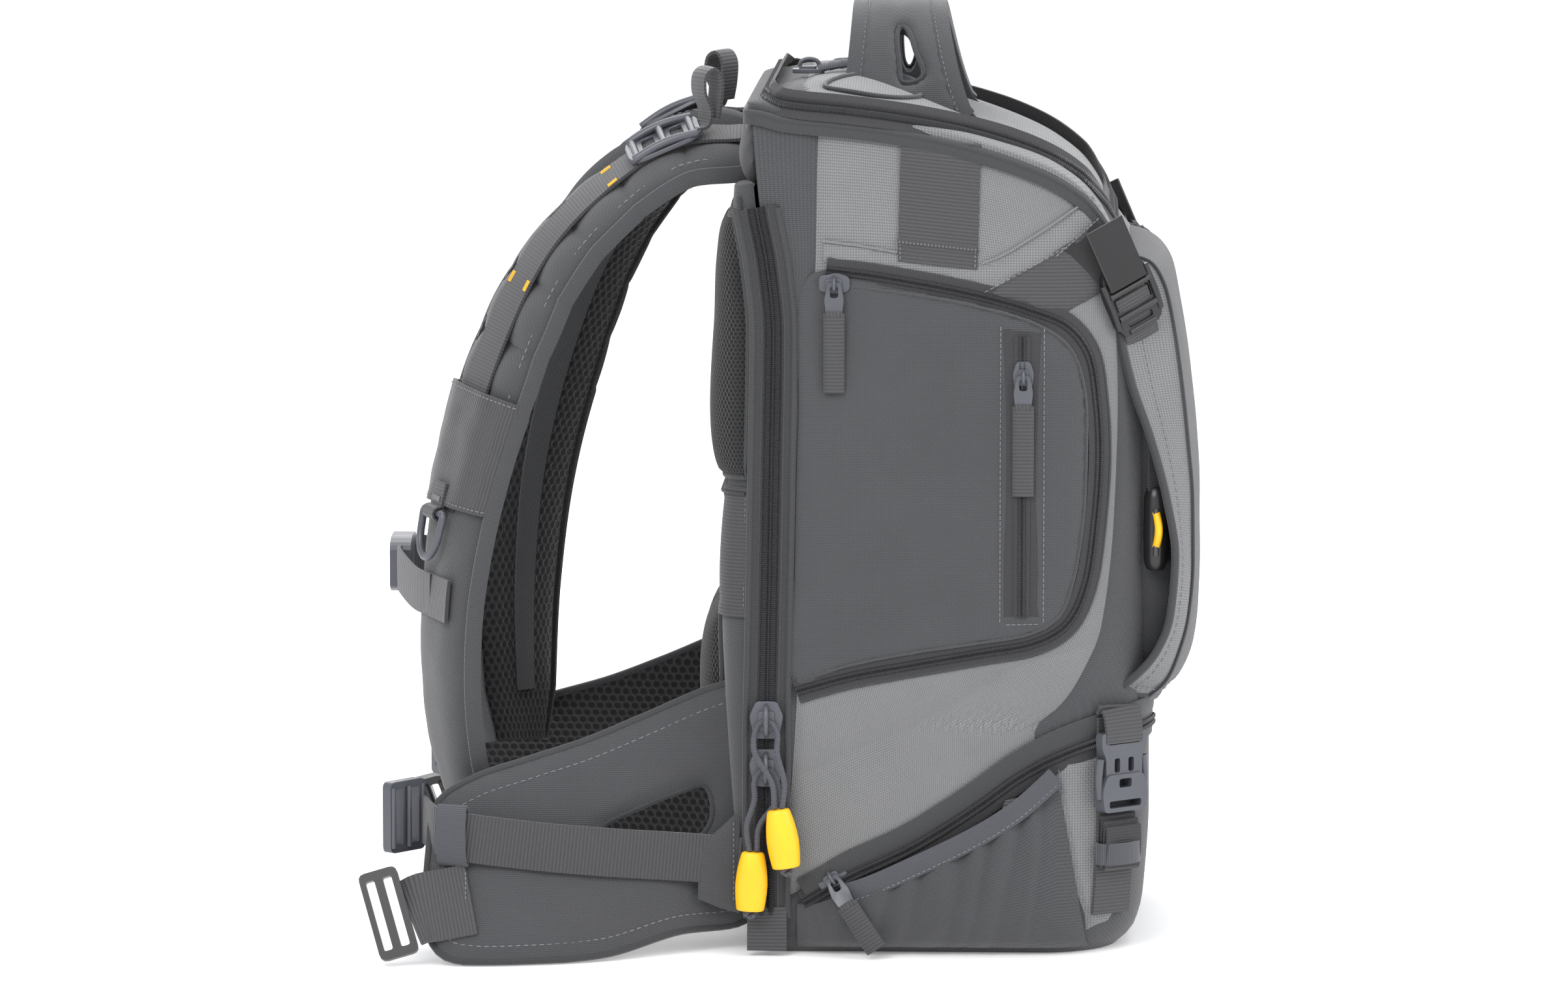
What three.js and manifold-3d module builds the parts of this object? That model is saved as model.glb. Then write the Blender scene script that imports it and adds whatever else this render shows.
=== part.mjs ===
// Camera backpack standing on its base, in millimetres, +Z up.
// +X points to the front flap, the wearer's left side is at -Y, and the floor is z = 0.
// The origin is on the floor, under the middle of the bag.
import * as THREE from 'three';
import { mergeVertices } from 'three/addons/utils/BufferGeometryUtils.js';
import Module from 'manifold-3d';

const wasm = await Module();
wasm.setup();

// Driving dimensions of the bag
const BAG_HEIGHT = 471;
const BAG_DEPTH = 209;
const BAG_WIDTH = 278;
const BAG_REAR = -92;
const FRONT_CORNER_RADIUS = 58;
const REAR_CORNER_RADIUS = 4;
const WALL = 8;
const LID_WALL = 4;
const LID_RISE = 20;
const LID_EDGE = 6;
const CLOTH = 2;
const GAP = 0.3;
const SEAM_GAP = 0.8;

// Driving dimensions of what is on the bag
const PANEL_THICKNESS = 26;
const PANEL_CORNER_RADIUS = 20;
const PANEL_TOP = 428;
const DOOR_THICKNESS = 7;
const DOOR_PROUD = 2.4;
const FLAP_CLOTH = 3;
const FLAP_INSET = 21;
const POCKET_INSET = 20;
const POCKET_CORNER_RADIUS = 18;
const STRETCH_BULGE = 9;
const HANDLE_HEIGHT = 44;
const HANDLE_HALF_SPAN = 62;
const HANDLE_WIDTH = 76;
const HANDLE_THICKNESS = 11;
const TAB_WIDTH = 43;
const TAB_LENGTH = 67;
const ZIP_TAPE_WIDTH = 24;
const ZIP_CHAIN_WIDTH = 10;
const ZIP_CHAIN_HEIGHT = 3;

// Driving dimensions of the back system and the harness
const PAD_THICKNESS = 14;
const LUMBAR_THICKNESS = 18;
const STRAP_WIDTH = 70;
const STRAP_THICKNESS = 16;
const STRAP_DOME = 4;
const STRAP_SPREAD = 74;
const WEBBING_WIDTH = 26;
const WEBBING_THICKNESS = 1.8;
const SLEEVE_CLOTH = 1.8;
const D_RING_WIDTH = 30;
const D_RING_HEIGHT = 28;
const D_RING_WIRE = 4.4;
const WING_THICKNESS = 12;
const WING_REACH = 190;
const STRAP_REACH = WING_REACH - 10;
const BELT_WEBBING_WIDTH = 40;
const PULL_WIDTH = 13;
const PULL_THICKNESS = 3.6;
const CORD_DIAMETER = 3.4;
const TOGGLE_LENGTH = 33;
const TOGGLE_DIAMETER = 18;

// Finishes
const FINISH = {
  grey_weave: new THREE.MeshStandardMaterial({ color: 0x6e6f70, roughness: 0.8, metalness: 0 }),
  charcoal: new THREE.MeshStandardMaterial({ color: 0x45464a, roughness: 0.85, metalness: 0 }),
  webbing: new THREE.MeshStandardMaterial({ color: 0x3c3c3f, roughness: 0.8, metalness: 0 }),
  mesh: new THREE.MeshStandardMaterial({ color: 0x17171a, roughness: 0.9, metalness: 0 }),
  plastic: new THREE.MeshStandardMaterial({ color: 0x4a4b55, roughness: 0.4, metalness: 0 }),
  black_plastic: new THREE.MeshStandardMaterial({ color: 0x1a1a1c, roughness: 0.45, metalness: 0 }),
  yellow: new THREE.MeshStandardMaterial({ color: 0xffb800, roughness: 0.45, metalness: 0 }),
};

// Shares of the bag's depth and height give the places of everything on it
const along = (share) => BAG_REAR + share * BAG_DEPTH;
const up = (share) => share * BAG_HEIGHT;
const HALF_WIDTH = BAG_WIDTH / 2;
const FLAP_HALF_WIDTH = HALF_WIDTH - FLAP_INSET;
const POCKET_HALF_WIDTH = FLAP_HALF_WIDTH - POCKET_INSET;
const LEFT = -1;
const RIGHT = 1;

// Plan sections of the bag: height as a share of BAG_HEIGHT, rear and front as shares of
// BAG_DEPTH, half width as a share of HALF_WIDTH, corner as a share of FRONT_CORNER_RADIUS
const BAG_SECTIONS = [
  { height: 0.0, rear: 0.03, front: 0.93, width: 0.9, corner: 0.75 },
  { height: 0.02, rear: 0.005, front: 0.975, width: 0.955, corner: 0.86 },
  { height: 0.06, rear: -0.005, front: 1.0, width: 0.985, corner: 0.95 },
  { height: 0.17, rear: -0.005, front: 1.015, width: 1.0, corner: 1.0 },
  { height: 0.28, rear: -0.004, front: 1.015, width: 1.0, corner: 1.0 },
  { height: 0.36, rear: 0.0, front: 1.0, width: 1.005, corner: 1.0 },
  { height: 0.55, rear: 0.008, front: 1.0, width: 1.01, corner: 1.0 },
  { height: 0.74, rear: 0.014, front: 1.0, width: 0.985, corner: 1.0 },
  { height: 0.82, rear: -0.004, front: 0.985, width: 0.96, corner: 1.0 },
  { height: 0.89, rear: -0.034, front: 0.96, width: 0.935, corner: 1.05 },
  { height: 1.04, rear: -0.062, front: 0.93, width: 0.91, corner: 1.1 },
];

// The lid seam, seen from the side: depth and height as shares of the bag's
const LID_SEAM = [
  { depth: -0.2, height: 1.0 },
  { depth: -0.03, height: 0.994 },
  { depth: 0.04, height: 0.986 },
  { depth: 0.2, height: 0.979 },
  { depth: 0.38, height: 0.968 },
  { depth: 0.55, height: 0.951 },
  { depth: 0.72, height: 0.924 },
  { depth: 0.82, height: 0.896 },
  { depth: 0.876, height: 0.866 },
  { depth: 0.91, height: 0.838 },
  { depth: 1.1, height: 0.75 },
];

// Rise of the lid's crown over its seam, as a share of LID_RISE
const LID_CROWN = [
  { depth: -0.08, rise: 0.25 },
  { depth: 0.0, rise: 0.6 },
  { depth: 0.1, rise: 0.95 },
  { depth: 0.22, rise: 1.0 },
  { depth: 0.38, rise: 0.72 },
  { depth: 0.55, rise: 0.42 },
  { depth: 0.75, rise: 0.34 },
  { depth: 1.0, rise: 0.34 },
];

// Reads one column of a table at a value of another, in straight steps
function lookUp(table, key, value, column) {
  if (value <= table[0][key]) return table[0][column];
  for (let i = 1; i < table.length; i += 1) {
    if (value <= table[i][key]) {
      const from = table[i - 1];
      const to = table[i];
      const share = (value - from[key]) / (to[key] - from[key]);
      return from[column] + share * (to[column] - from[column]);
    }
  }
  return table[table.length - 1][column];
}

const seamHeight = (x) => up(lookUp(LID_SEAM, 'depth', (x - BAG_REAR) / BAG_DEPTH, 'height'));
const crownRise = (x) => LID_RISE * lookUp(LID_CROWN, 'depth', (x - BAG_REAR) / BAG_DEPTH, 'rise');

// The plan section at a height, grown outwards by an offset
function sectionAt(z, offset = 0) {
  const height = z / BAG_HEIGHT;
  const read = (column) => lookUp(BAG_SECTIONS, 'height', height, column);
  return {
    rear: along(read('rear')) - offset,
    front: along(read('front')) + offset,
    half: HALF_WIDTH * read('width') + offset,
    frontRadius: FRONT_CORNER_RADIUS * read('corner') + offset,
    rearRadius: REAR_CORNER_RADIUS + offset,
  };
}

// Distance of the bag's side from the middle plane, at a depth and height
function sideAt(x, z, offset = 0) {
  const s = sectionAt(z, offset);
  const frontCentre = s.front - s.frontRadius;
  if (x > frontCentre) {
    const reach = Math.min(x - frontCentre, s.frontRadius);
    return s.half - s.frontRadius + Math.sqrt(s.frontRadius ** 2 - reach ** 2);
  }
  return s.half;
}

// A point and directions on the bag's front corner, at an angle from straight ahead
function cornerFrame(side, degrees, z, offset) {
  const s = sectionAt(z);
  const angle = THREE.MathUtils.degToRad(degrees);
  const normal = new THREE.Vector3(Math.cos(angle), side * Math.sin(angle), 0);
  const centre = new THREE.Vector3(s.front - s.frontRadius, side * (s.half - s.frontRadius), z);
  return {
    point: centre.addScaledVector(normal, s.frontRadius + offset),
    normal,
    across: new THREE.Vector3(-side * Math.sin(angle), Math.cos(angle), 0),
  };
}

// Half of a plan outline, from the rear corner round the side to the front corner
function halfOutline(section, sideSteps = 1, cornerSteps = 5) {
  const { rear, front, half, frontRadius, rearRadius } = section;
  const points = [[rear, half - rearRadius], [rear + rearRadius, half]];
  const start = rear + rearRadius;
  const end = front - frontRadius;
  for (let i = 1; i < sideSteps; i += 1) {
    points.push([start + (i / sideSteps) * (end - start), half]);
  }
  for (let i = 0; i <= cornerSteps; i += 1) {
    const a = (i / cornerSteps) * (Math.PI / 2);
    points.push([end + frontRadius * Math.sin(a), half - frontRadius * (1 - Math.cos(a))]);
  }
  return points;
}

// A whole plan outline, turning left seen from above
function planOutline(section, sideSteps, cornerSteps) {
  const half = halfOutline(section, sideSteps, cornerSteps);
  const left = half.map(([x, y]) => [x, -y]);
  return left.concat(half.reverse());
}

// A geometry from vertices and triangles, turned so that its faces point out
function closedMesh(vertices, triangles) {
  let volume = 0;
  for (const [a, b, c] of triangles) {
    volume += vertices[a].dot(new THREE.Vector3().crossVectors(vertices[b], vertices[c]));
  }
  const faces = volume < 0 ? triangles.map(([a, b, c]) => [a, c, b]) : triangles;
  const geometry = new THREE.BufferGeometry();
  geometry.setAttribute('position', new THREE.Float32BufferAttribute(
    vertices.flatMap((v) => [v.x, v.y, v.z]), 3));
  geometry.setIndex(faces.flat());
  return geometry;
}

// A solid lofted through rings of equal count, with fanned ends
function loft(rings) {
  const count = rings[0].length;
  const vertices = rings.flat().map((v) => v.clone());
  const triangles = [];
  for (let k = 0; k < rings.length - 1; k += 1) {
    for (let i = 0; i < count; i += 1) {
      const a = k * count + i;
      const b = k * count + ((i + 1) % count);
      triangles.push([a, b, b + count], [a, b + count, a + count]);
    }
  }
  for (const [ring, flip] of [[0, true], [rings.length - 1, false]]) {
    const centre = new THREE.Vector3();
    for (const v of rings[ring]) centre.addScaledVector(v, 1 / count);
    vertices.push(centre);
    const middle = vertices.length - 1;
    for (let i = 0; i < count; i += 1) {
      const a = ring * count + i;
      const b = ring * count + ((i + 1) % count);
      triangles.push(flip ? [middle, b, a] : [middle, a, b]);
    }
  }
  return closedMesh(vertices, triangles);
}

// A solid swept round a closed path, with one section at each point
function loopLoft(rings) {
  const count = rings[0].length;
  const vertices = rings.flat();
  const triangles = [];
  for (let k = 0; k < rings.length; k += 1) {
    const next = ((k + 1) % rings.length) * count;
    for (let i = 0; i < count; i += 1) {
      const j = (i + 1) % count;
      triangles.push([k * count + i, k * count + j, next + j]);
      triangles.push([k * count + i, next + j, next + i]);
    }
  }
  return closedMesh(vertices, triangles);
}

// A sheet between two surfaces over the same grid of shares u and v
function slab(stepsU, stepsV, outer, inner) {
  const vertices = [];
  const at = (face, i, j) => face * (stepsU + 1) * (stepsV + 1) + j * (stepsU + 1) + i;
  for (const surface of [outer, inner]) {
    for (let j = 0; j <= stepsV; j += 1) {
      for (let i = 0; i <= stepsU; i += 1) vertices.push(surface(i / stepsU, j / stepsV));
    }
  }
  const triangles = [];
  const quad = (a, b, c, d) => triangles.push([a, b, c], [a, c, d]);
  for (let j = 0; j < stepsV; j += 1) {
    for (let i = 0; i < stepsU; i += 1) {
      quad(at(0, i, j), at(0, i + 1, j), at(0, i + 1, j + 1), at(0, i, j + 1));
      quad(at(1, i, j), at(1, i, j + 1), at(1, i + 1, j + 1), at(1, i + 1, j));
    }
  }
  for (let i = 0; i < stepsU; i += 1) {
    quad(at(1, i, 0), at(1, i + 1, 0), at(0, i + 1, 0), at(0, i, 0));
    quad(at(0, i, stepsV), at(0, i + 1, stepsV), at(1, i + 1, stepsV), at(1, i, stepsV));
  }
  for (let j = 0; j < stepsV; j += 1) {
    quad(at(0, 0, j), at(0, 0, j + 1), at(1, 0, j + 1), at(1, 0, j));
    quad(at(1, stepsU, j), at(1, stepsU, j + 1), at(0, stepsU, j + 1), at(0, stepsU, j));
  }
  return closedMesh(vertices, triangles);
}

// Solid of a closed geometry, and geometry of a solid
function toSolid(geometry) {
  const bare = geometry.clone();
  bare.deleteAttribute('normal');
  bare.deleteAttribute('uv');
  const merged = mergeVertices(bare, 1e-4);
  return new wasm.Manifold(new wasm.Mesh({
    numProp: 3,
    vertProperties: new Float32Array(merged.attributes.position.array),
    triVerts: new Uint32Array(merged.index.array),
  }));
}

function toGeometry(solid) {
  const mesh = solid.getMesh();
  const positions = new Float32Array(mesh.numVert * 3);
  for (let i = 0; i < mesh.numVert; i += 1) {
    for (let k = 0; k < 3; k += 1) positions[3 * i + k] = mesh.vertProperties[i * mesh.numProp + k];
  }
  const geometry = new THREE.BufferGeometry();
  geometry.setAttribute('position', new THREE.BufferAttribute(positions, 3));
  geometry.setIndex(Array.from(mesh.triVerts));
  return geometry;
}

const join = (...geometries) => toGeometry(geometries.map(toSolid).reduce((a, b) => a.add(b)));
const cut = (base, ...tools) => toGeometry(
  tools.map(toSolid).reduce((a, b) => a.subtract(b), toSolid(base)));
const common = (a, b) => toGeometry(toSolid(a).intersect(toSolid(b)));

// The largest body of a geometry that a cut has left in pieces
function largest(geometry) {
  const parts = toSolid(geometry).decompose();
  return toGeometry(parts.reduce((best, part) => (part.volume() > best.volume() ? part : best)));
}

function mirrored(geometry) {
  const bare = geometry.clone();
  bare.deleteAttribute('normal');
  bare.deleteAttribute('uv');
  const copy = mergeVertices(bare, 1e-4);
  copy.scale(1, -1, 1);
  const index = Array.from(copy.index.array);
  for (let i = 0; i < index.length; i += 3) {
    [index[i + 1], index[i + 2]] = [index[i + 2], index[i + 1]];
  }
  copy.setIndex(index);
  return copy;
}

const onSide = (side, geometry) => (side === LEFT ? geometry : mirrored(geometry));

// An outline in depth and height with its corners rounded
function roundedShape(points, radius) {
  const shape = new THREE.Shape();
  const count = points.length;
  points.forEach(([x, z], i) => {
    const here = new THREE.Vector2(x, z);
    const before = new THREE.Vector2(...points[(i + count - 1) % count]);
    const after = new THREE.Vector2(...points[(i + 1) % count]);
    const reach = Math.min(radius, here.distanceTo(before) / 2.01, here.distanceTo(after) / 2.01);
    const start = here.clone().lerp(before, reach / here.distanceTo(before));
    const end = here.clone().lerp(after, reach / here.distanceTo(after));
    if (i === 0) shape.moveTo(start.x, start.y);
    else shape.lineTo(start.x, start.y);
    if (radius > 0) shape.quadraticCurveTo(here.x, here.y, end.x, end.y);
  });
  shape.closePath();
  return shape;
}

// A prism along Y of an outline in depth and height
function prism(points, nearY, farY, radius = 0, curveSegments = 3) {
  const shape = radius > 0
    ? roundedShape(points, radius)
    : new THREE.Shape(points.map(([x, z]) => new THREE.Vector2(x, z)));
  const geometry = new THREE.ExtrudeGeometry(shape, {
    depth: farY - nearY, bevelEnabled: false, curveSegments, steps: 1,
  });
  geometry.rotateX(Math.PI / 2);
  geometry.translate(0, farY, 0);
  return geometry;
}

// A box from its middle and its sizes along its own directions
function orientedBox(middle, x, y, z, sizes) {
  const geometry = new THREE.BoxGeometry(...sizes);
  geometry.applyMatrix4(new THREE.Matrix4().makeBasis(x, y, z).setPosition(middle));
  return geometry;
}

function cylinderBetween(from, to, radius, sides = 12) {
  const length = from.distanceTo(to);
  const geometry = new THREE.CylinderGeometry(radius, radius, length, sides);
  const direction = to.clone().sub(from).normalize();
  geometry.applyQuaternion(new THREE.Quaternion().setFromUnitVectors(
    new THREE.Vector3(0, 1, 0), direction));
  geometry.translate(...from.clone().lerp(to, 0.5).toArray());
  return geometry;
}

// Rings of a section swept along stations; a profile gives pairs of across and normal
function sweep(stations, profile) {
  return loft(stations.map((s, i) => profile(i / (stations.length - 1), s).map(([a, n]) => (
    s.point.clone().addScaledVector(s.across, a).addScaledVector(s.normal, n)))));
}

// Stations along a smooth curve, with the section turned about it by an angle in degrees
function stationsAlong(points, steps, turnAt, upAxis = new THREE.Vector3(0, 1, 0), from = 0, to = 1) {
  const curve = new THREE.CatmullRomCurve3(points, false, 'centripetal');
  const stations = [];
  for (let i = 0; i <= steps; i += 1) {
    const share = from + (to - from) * (i / steps);
    const point = curve.getPointAt(share);
    const tangent = curve.getTangentAt(share);
    const across = upAxis.clone().addScaledVector(tangent, -tangent.dot(upAxis)).normalize();
    across.applyAxisAngle(tangent, THREE.MathUtils.degToRad(turnAt(share)));
    const normal = new THREE.Vector3().crossVectors(across, tangent).normalize();
    stations.push({ point, tangent, across, normal, share });
  }
  return stations;
}

const flatProfile = (width, low, high) => () => [
  [-width / 2, low], [width / 2, low], [width / 2, high], [-width / 2, high],
];

// The bag as one solid, grown by an offset, up to the lid seam or above it
function bagSolid(offset, top = 'seam', drop = 0) {
  const rings = BAG_SECTIONS.map((row, i) => {
    const nominal = up(row.height);
    const height = i === 0 ? nominal - Math.max(offset, 0) - Math.min(offset, 0) : nominal;
    return planOutline(sectionAt(nominal, offset)).map(([x, y]) => new THREE.Vector3(x, y, height));
  });
  const whole = loft(rings);
  if (top !== 'seam') return whole;
  return common(whole, underSeam(drop));
}

// Everything under the lid seam, lowered by a drop
function underSeam(drop) {
  const line = LID_SEAM.map((row) => [along(row.depth), up(row.height) - drop]);
  const last = line[line.length - 1];
  const first = line[0];
  const points = [...line, [last[0], -20], [first[0], -20]];
  return prism(points, -BAG_WIDTH, BAG_WIDTH);
}

// A skin on one side of the bag, between two offsets and inside an outline
function sideSkin(side, outline, inner, outer, radius = 0, curveSegments = 3) {
  const region = prism(outline, -BAG_WIDTH, -BAG_WIDTH * 0.2, radius, curveSegments);
  const skin = cut(bagSolid(outer, 'open'), bagSolid(inner, 'open'));
  return onSide(side, largest(common(skin, region)));
}

// The side door's outline, from its lower rear corner round to its top rear corner,
// as shares of the bag's depth and height
const DOOR_OUTLINE = [
  { depth: 0.072, height: 0.318 },
  { depth: 0.38, height: 0.348 },
  { depth: 0.71, height: 0.377 },
  { depth: 0.815, height: 0.405 },
  { depth: 0.86, height: 0.52 },
  { depth: 0.875, height: 0.64 },
  { depth: 0.84, height: 0.75 },
  { depth: 0.7, height: 0.778 },
  { depth: 0.38, height: 0.803 },
  { depth: 0.115, height: 0.816 },
];
const doorPoints = () => DOOR_OUTLINE.map((row) => [along(row.depth), up(row.height)]);
const DOOR_RADIUS = 26;

// An outline shrunk towards its middle by about a distance
function shrunk(points, distance) {
  const xs = points.map((p) => p[0]);
  const zs = points.map((p) => p[1]);
  const middle = [(Math.min(...xs) + Math.max(...xs)) / 2, (Math.min(...zs) + Math.max(...zs)) / 2];
  const reach = [(Math.max(...xs) - Math.min(...xs)) / 2, (Math.max(...zs) - Math.min(...zs)) / 2];
  return points.map(([x, z]) => [
    middle[0] + (x - middle[0]) * (1 - distance / reach[0]),
    middle[1] + (z - middle[1]) * (1 - distance / reach[1]),
  ]);
}

// Padded walls of the main compartment, open to the wearer's side, the lid and the doors
function bodyShell() {
  const outer = bagSolid(0, 'seam', SEAM_GAP);
  const hollowRings = BAG_SECTIONS.map((row, i) => {
    const section = sectionAt(up(row.height), -WALL);
    section.rearRadius = 1;
    const height = i === 0 ? WALL : Math.max(up(row.height), WALL + i);
    return planOutline(section).map(([x, y]) => new THREE.Vector3(x, y, height));
  });
  const doorway = prism(doorPoints(), -BAG_WIDTH, BAG_WIDTH, DOOR_RADIUS);
  const opening = new THREE.BoxGeometry(BAG_DEPTH / 2, BAG_WIDTH - 4 * WALL, PANEL_TOP - 3 * WALL);
  opening.translate(BAG_REAR, 0, WALL + (PANEL_TOP - 3 * WALL) / 2);
  const slider = sideSlider('base', 0);
  return join(cut(outer, loft(hollowRings), opening, doorway), slider, mirrored(slider));
}

// A padded access door that fills its opening and stands slightly proud
function sideDoor(side) {
  const outline = shrunk(doorPoints(), SEAM_GAP / 2);
  const door = sideSkin(LEFT, outline, DOOR_PROUD - DOOR_THICKNESS, DOOR_PROUD, DOOR_RADIUS);
  return onSide(side, join(door, sideSlider('door', 0), sideSlider('pocket', 0)));
}

// Sliders on the side: depth and height, the turn of their length, how proud the cloth under them is,
// and their pull's length, tilt in the face and lean out over the pocket
const SIDE_SLIDERS = {
  door: { x: along(0.175), z: up(0.798), turn: 0, proud: DOOR_PROUD, length: 60, tilt: 0, lean: 1.5 },
  pocket: { x: along(0.675), z: up(0.69), turn: 90, proud: DOOR_PROUD, length: 66, tilt: 0, lean: 0 },
  base: { x: along(0.17), z: up(0.094), turn: 30, proud: 0, length: 46, tilt: 33, lean: 8 },
};
const SLIDER_LENGTH = 14;
const SLIDER_WIDTH = 11;
const SLIDER_HEIGHT = 3.4;

// The bail: a bar over the pull's rim, on two legs that stand on the slider
const BAIL_ROOM = 3.8;
const BAIL_WIRE = 1.8;
const BAIL_WIDTH = 2.4;
const PULL_RIM = 2.2;
const PULL_EYE = 5;

// A side slider on the near side with its bail, grown by an amount
function sideSlider(kind, grow) {
  const seat = SIDE_SLIDERS[kind];
  const long = SLIDER_LENGTH / 2 + grow;
  const wide = SLIDER_WIDTH / 2 + grow;
  const body = prism([[-long, -wide], [long, -wide], [long, wide], [-long, wide]],
    -SLIDER_HEIGHT - grow, 1, 4, 2);
  body.rotateY(THREE.MathUtils.degToRad(-seat.turn));
  const half = BAIL_ROOM / 2 + BAIL_WIRE + grow;
  const reach = SLIDER_HEIGHT + BAIL_ROOM + BAIL_WIRE + grow;
  const block = new THREE.BoxGeometry(BAIL_WIDTH + 2 * grow, reach, 2 * half);
  block.translate(0, -reach / 2, 0);
  const room = new THREE.BoxGeometry(4 * BAIL_WIDTH, BAIL_ROOM, BAIL_ROOM);
  room.translate(0, -SLIDER_HEIGHT - BAIL_ROOM / 2, 0);
  const bar = grow > 0 ? block : cut(block, room);
  bar.rotateY(THREE.MathUtils.degToRad(-seat.tilt));
  const slider = join(body, bar);
  slider.translate(seat.x, -sideAt(seat.x, seat.z, seat.proud), seat.z);
  return slider;
}

// The lid: a crowned cap over the seam, hollow below
const LID_MIDDLE = along(0.38);

function lidDome(inset, lift) {
  const outline = planOutline(sectionAt(up(0.96), -inset), 5, 5).map(([x, y]) => {
    const z = Math.min(seamHeight(x), up(1));
    const limit = sideAt(x, z, -inset);
    return [Math.min(x, sectionAt(z, -inset).front), THREE.MathUtils.clamp(y, -limit, limit)];
  });
  const rings = [outline.map(([x, y]) => new THREE.Vector3(x, y, seamHeight(x) - LID_RISE))];
  for (const share of [0, 0.12, 0.3, 0.55, 0.78, 0.94]) {
    const rise = Math.sin(Math.acos(1 - share));
    rings.push(outline.map(([x, y]) => {
      const px = LID_MIDDLE + (x - LID_MIDDLE) * (1 - share);
      const height = seamHeight(px) + LID_EDGE + crownRise(px) * rise - lift;
      return new THREE.Vector3(px, y * (1 - share), height);
    }));
  }
  return loft(rings);
}

function topLid() {
  return cut(lidDome(0, 0), lidDome(LID_WALL, LID_WALL), underSeam(0));
}

// Padded opening panel on the wearer's side: height as a share of PANEL_TOP, thickness as a share
// of PANEL_THICKNESS, half width as a share of the bag's at that height
const PANEL_SECTIONS = [
  { height: 0.02, thick: 0.3, width: 0.93 },
  { height: 0.07, thick: 0.45, width: 0.97 },
  { height: 0.17, thick: 0.68, width: 0.985 },
  { height: 0.34, thick: 0.9, width: 0.99 },
  { height: 0.45, thick: 1.0, width: 0.99 },
  { height: 0.63, thick: 0.92, width: 0.99 },
  { height: 0.8, thick: 0.8, width: 0.99 },
  { height: 0.93, thick: 0.6, width: 0.985 },
  { height: 1.0, thick: 0.42, width: 0.96 },
];

const PANEL_RINGS = PANEL_SECTIONS.map((row) => {
  const z = row.height * PANEL_TOP;
  const bag = sectionAt(z);
  const front = bag.rear - GAP;
  const thick = PANEL_THICKNESS * row.thick;
  return {
    z,
    front,
    rear: front - thick,
    half: bag.half * row.width,
    radius: Math.min(PANEL_CORNER_RADIUS, thick * 0.9),
  };
});

function panelAt(z) {
  const read = (column) => lookUp(PANEL_RINGS, 'z', z, column);
  return { front: read('front'), rear: read('rear'), half: read('half'), radius: read('radius') };
}

// A point on the panel's outside, by the distance round it from its front edge to the middle
function panelPoint(side, distance, z, offset) {
  const p = panelAt(z);
  const straight = p.front - (p.rear + p.radius);
  const arc = p.radius * Math.PI / 2;
  if (distance <= straight) {
    return new THREE.Vector3(p.front - distance, side * (p.half + offset), z);
  }
  if (distance <= straight + arc) {
    const a = (distance - straight) / p.radius;
    return new THREE.Vector3(
      p.rear + p.radius - (p.radius + offset) * Math.sin(a),
      side * (p.half - p.radius + (p.radius + offset) * Math.cos(a)), z);
  }
  const y = Math.max(0, p.half - p.radius - (distance - straight - arc));
  return new THREE.Vector3(p.rear - offset, side * y, z);
}

// The whole distance round the panel from its front edge to the middle
function panelReach(z) {
  const p = panelAt(z);
  return p.front - p.rear - p.radius + p.radius * Math.PI / 2 + p.half - p.radius;
}

function panelSolid(offset) {
  const rings = PANEL_SECTIONS.map((row, i) => {
    const z = row.height * PANEL_TOP;
    const p = panelAt(z);
    const straight = p.front - (p.rear + p.radius);
    const arc = p.radius * Math.PI / 2;
    const steps = [0, straight];
    for (let k = 1; k <= 3; k += 1) steps.push(straight + arc * k / 3);
    const left = steps.map((d) => panelPoint(LEFT, d, z, offset));
    const right = steps.map((d) => panelPoint(RIGHT, d, z, offset)).reverse();
    const ring = left.concat(right);
    const shift = i === 0 ? -offset : (i === PANEL_SECTIONS.length - 1 ? offset : 0);
    for (const v of ring) v.z += shift;
    return ring.reverse();
  });
  return loft(rings);
}

// What is left of a geometry outside the panel, lying on the panel's face
const onPanel = (geometry) => largest(cut(geometry, panelSolid(GAP)));

// A cushion on the panel: shares of its height, distances round the panel and its height range
function panelPad(side, from, to, low, high, thickness, edge, stepsU, stepsV) {
  const point = (u, v, offset) => {
    const z = low + v * (high - low);
    return panelPoint(side, from + u * (to - from), z, offset);
  };
  const swell = (u, v) => {
    const across = 1 - Math.abs(2 * u - 1) ** 3;
    const upward = 1 - Math.abs(2 * v - 1) ** 3;
    return edge + (thickness - edge) * Math.sqrt(Math.max(0, across * upward));
  };
  return onPanel(slab(stepsU, stepsV,
    (u, v) => point(u, v, GAP + swell(u, v)),
    (u, v) => point(u, v, -CLOTH)));
}

const PAD_LOW = 268;
const PAD_HIGH = 412;
const PAD_EDGE = 2;
const PAD_START = 13;
const PAD_WIDTH = 112;
const BAND_LOW = 192;
const BAND_HIGH = 262;
const BAND_START = 13;
const LUMBAR_LOW = 64;
const LUMBAR_HIGH = 187;
const LUMBAR_HALF_WIDTH = 104;

function lumbarPad() {
  const point = (u, v, offset) => {
    const z = LUMBAR_LOW + v * (LUMBAR_HIGH - LUMBAR_LOW);
    const y = (2 * u - 1) * LUMBAR_HALF_WIDTH * (0.82 + 0.18 * Math.sin(Math.PI * v));
    return new THREE.Vector3(panelAt(z).rear - offset, y, z);
  };
  const swell = (u, v) => {
    const across = 1 - Math.abs(2 * u - 1) ** 4;
    const upward = 1 - Math.abs(2 * v - 1) ** 3;
    const channel = 1 - 0.35 * Math.exp(-(((u - 0.5) / 0.06) ** 2));
    return PAD_EDGE + (LUMBAR_THICKNESS - PAD_EDGE) * Math.sqrt(Math.max(0, across * upward)) * channel;
  };
  return onPanel(slab(10, 5,
    (u, v) => point(u, v, GAP + swell(u, v)),
    (u, v) => point(u, v, -CLOTH)));
}

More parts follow.
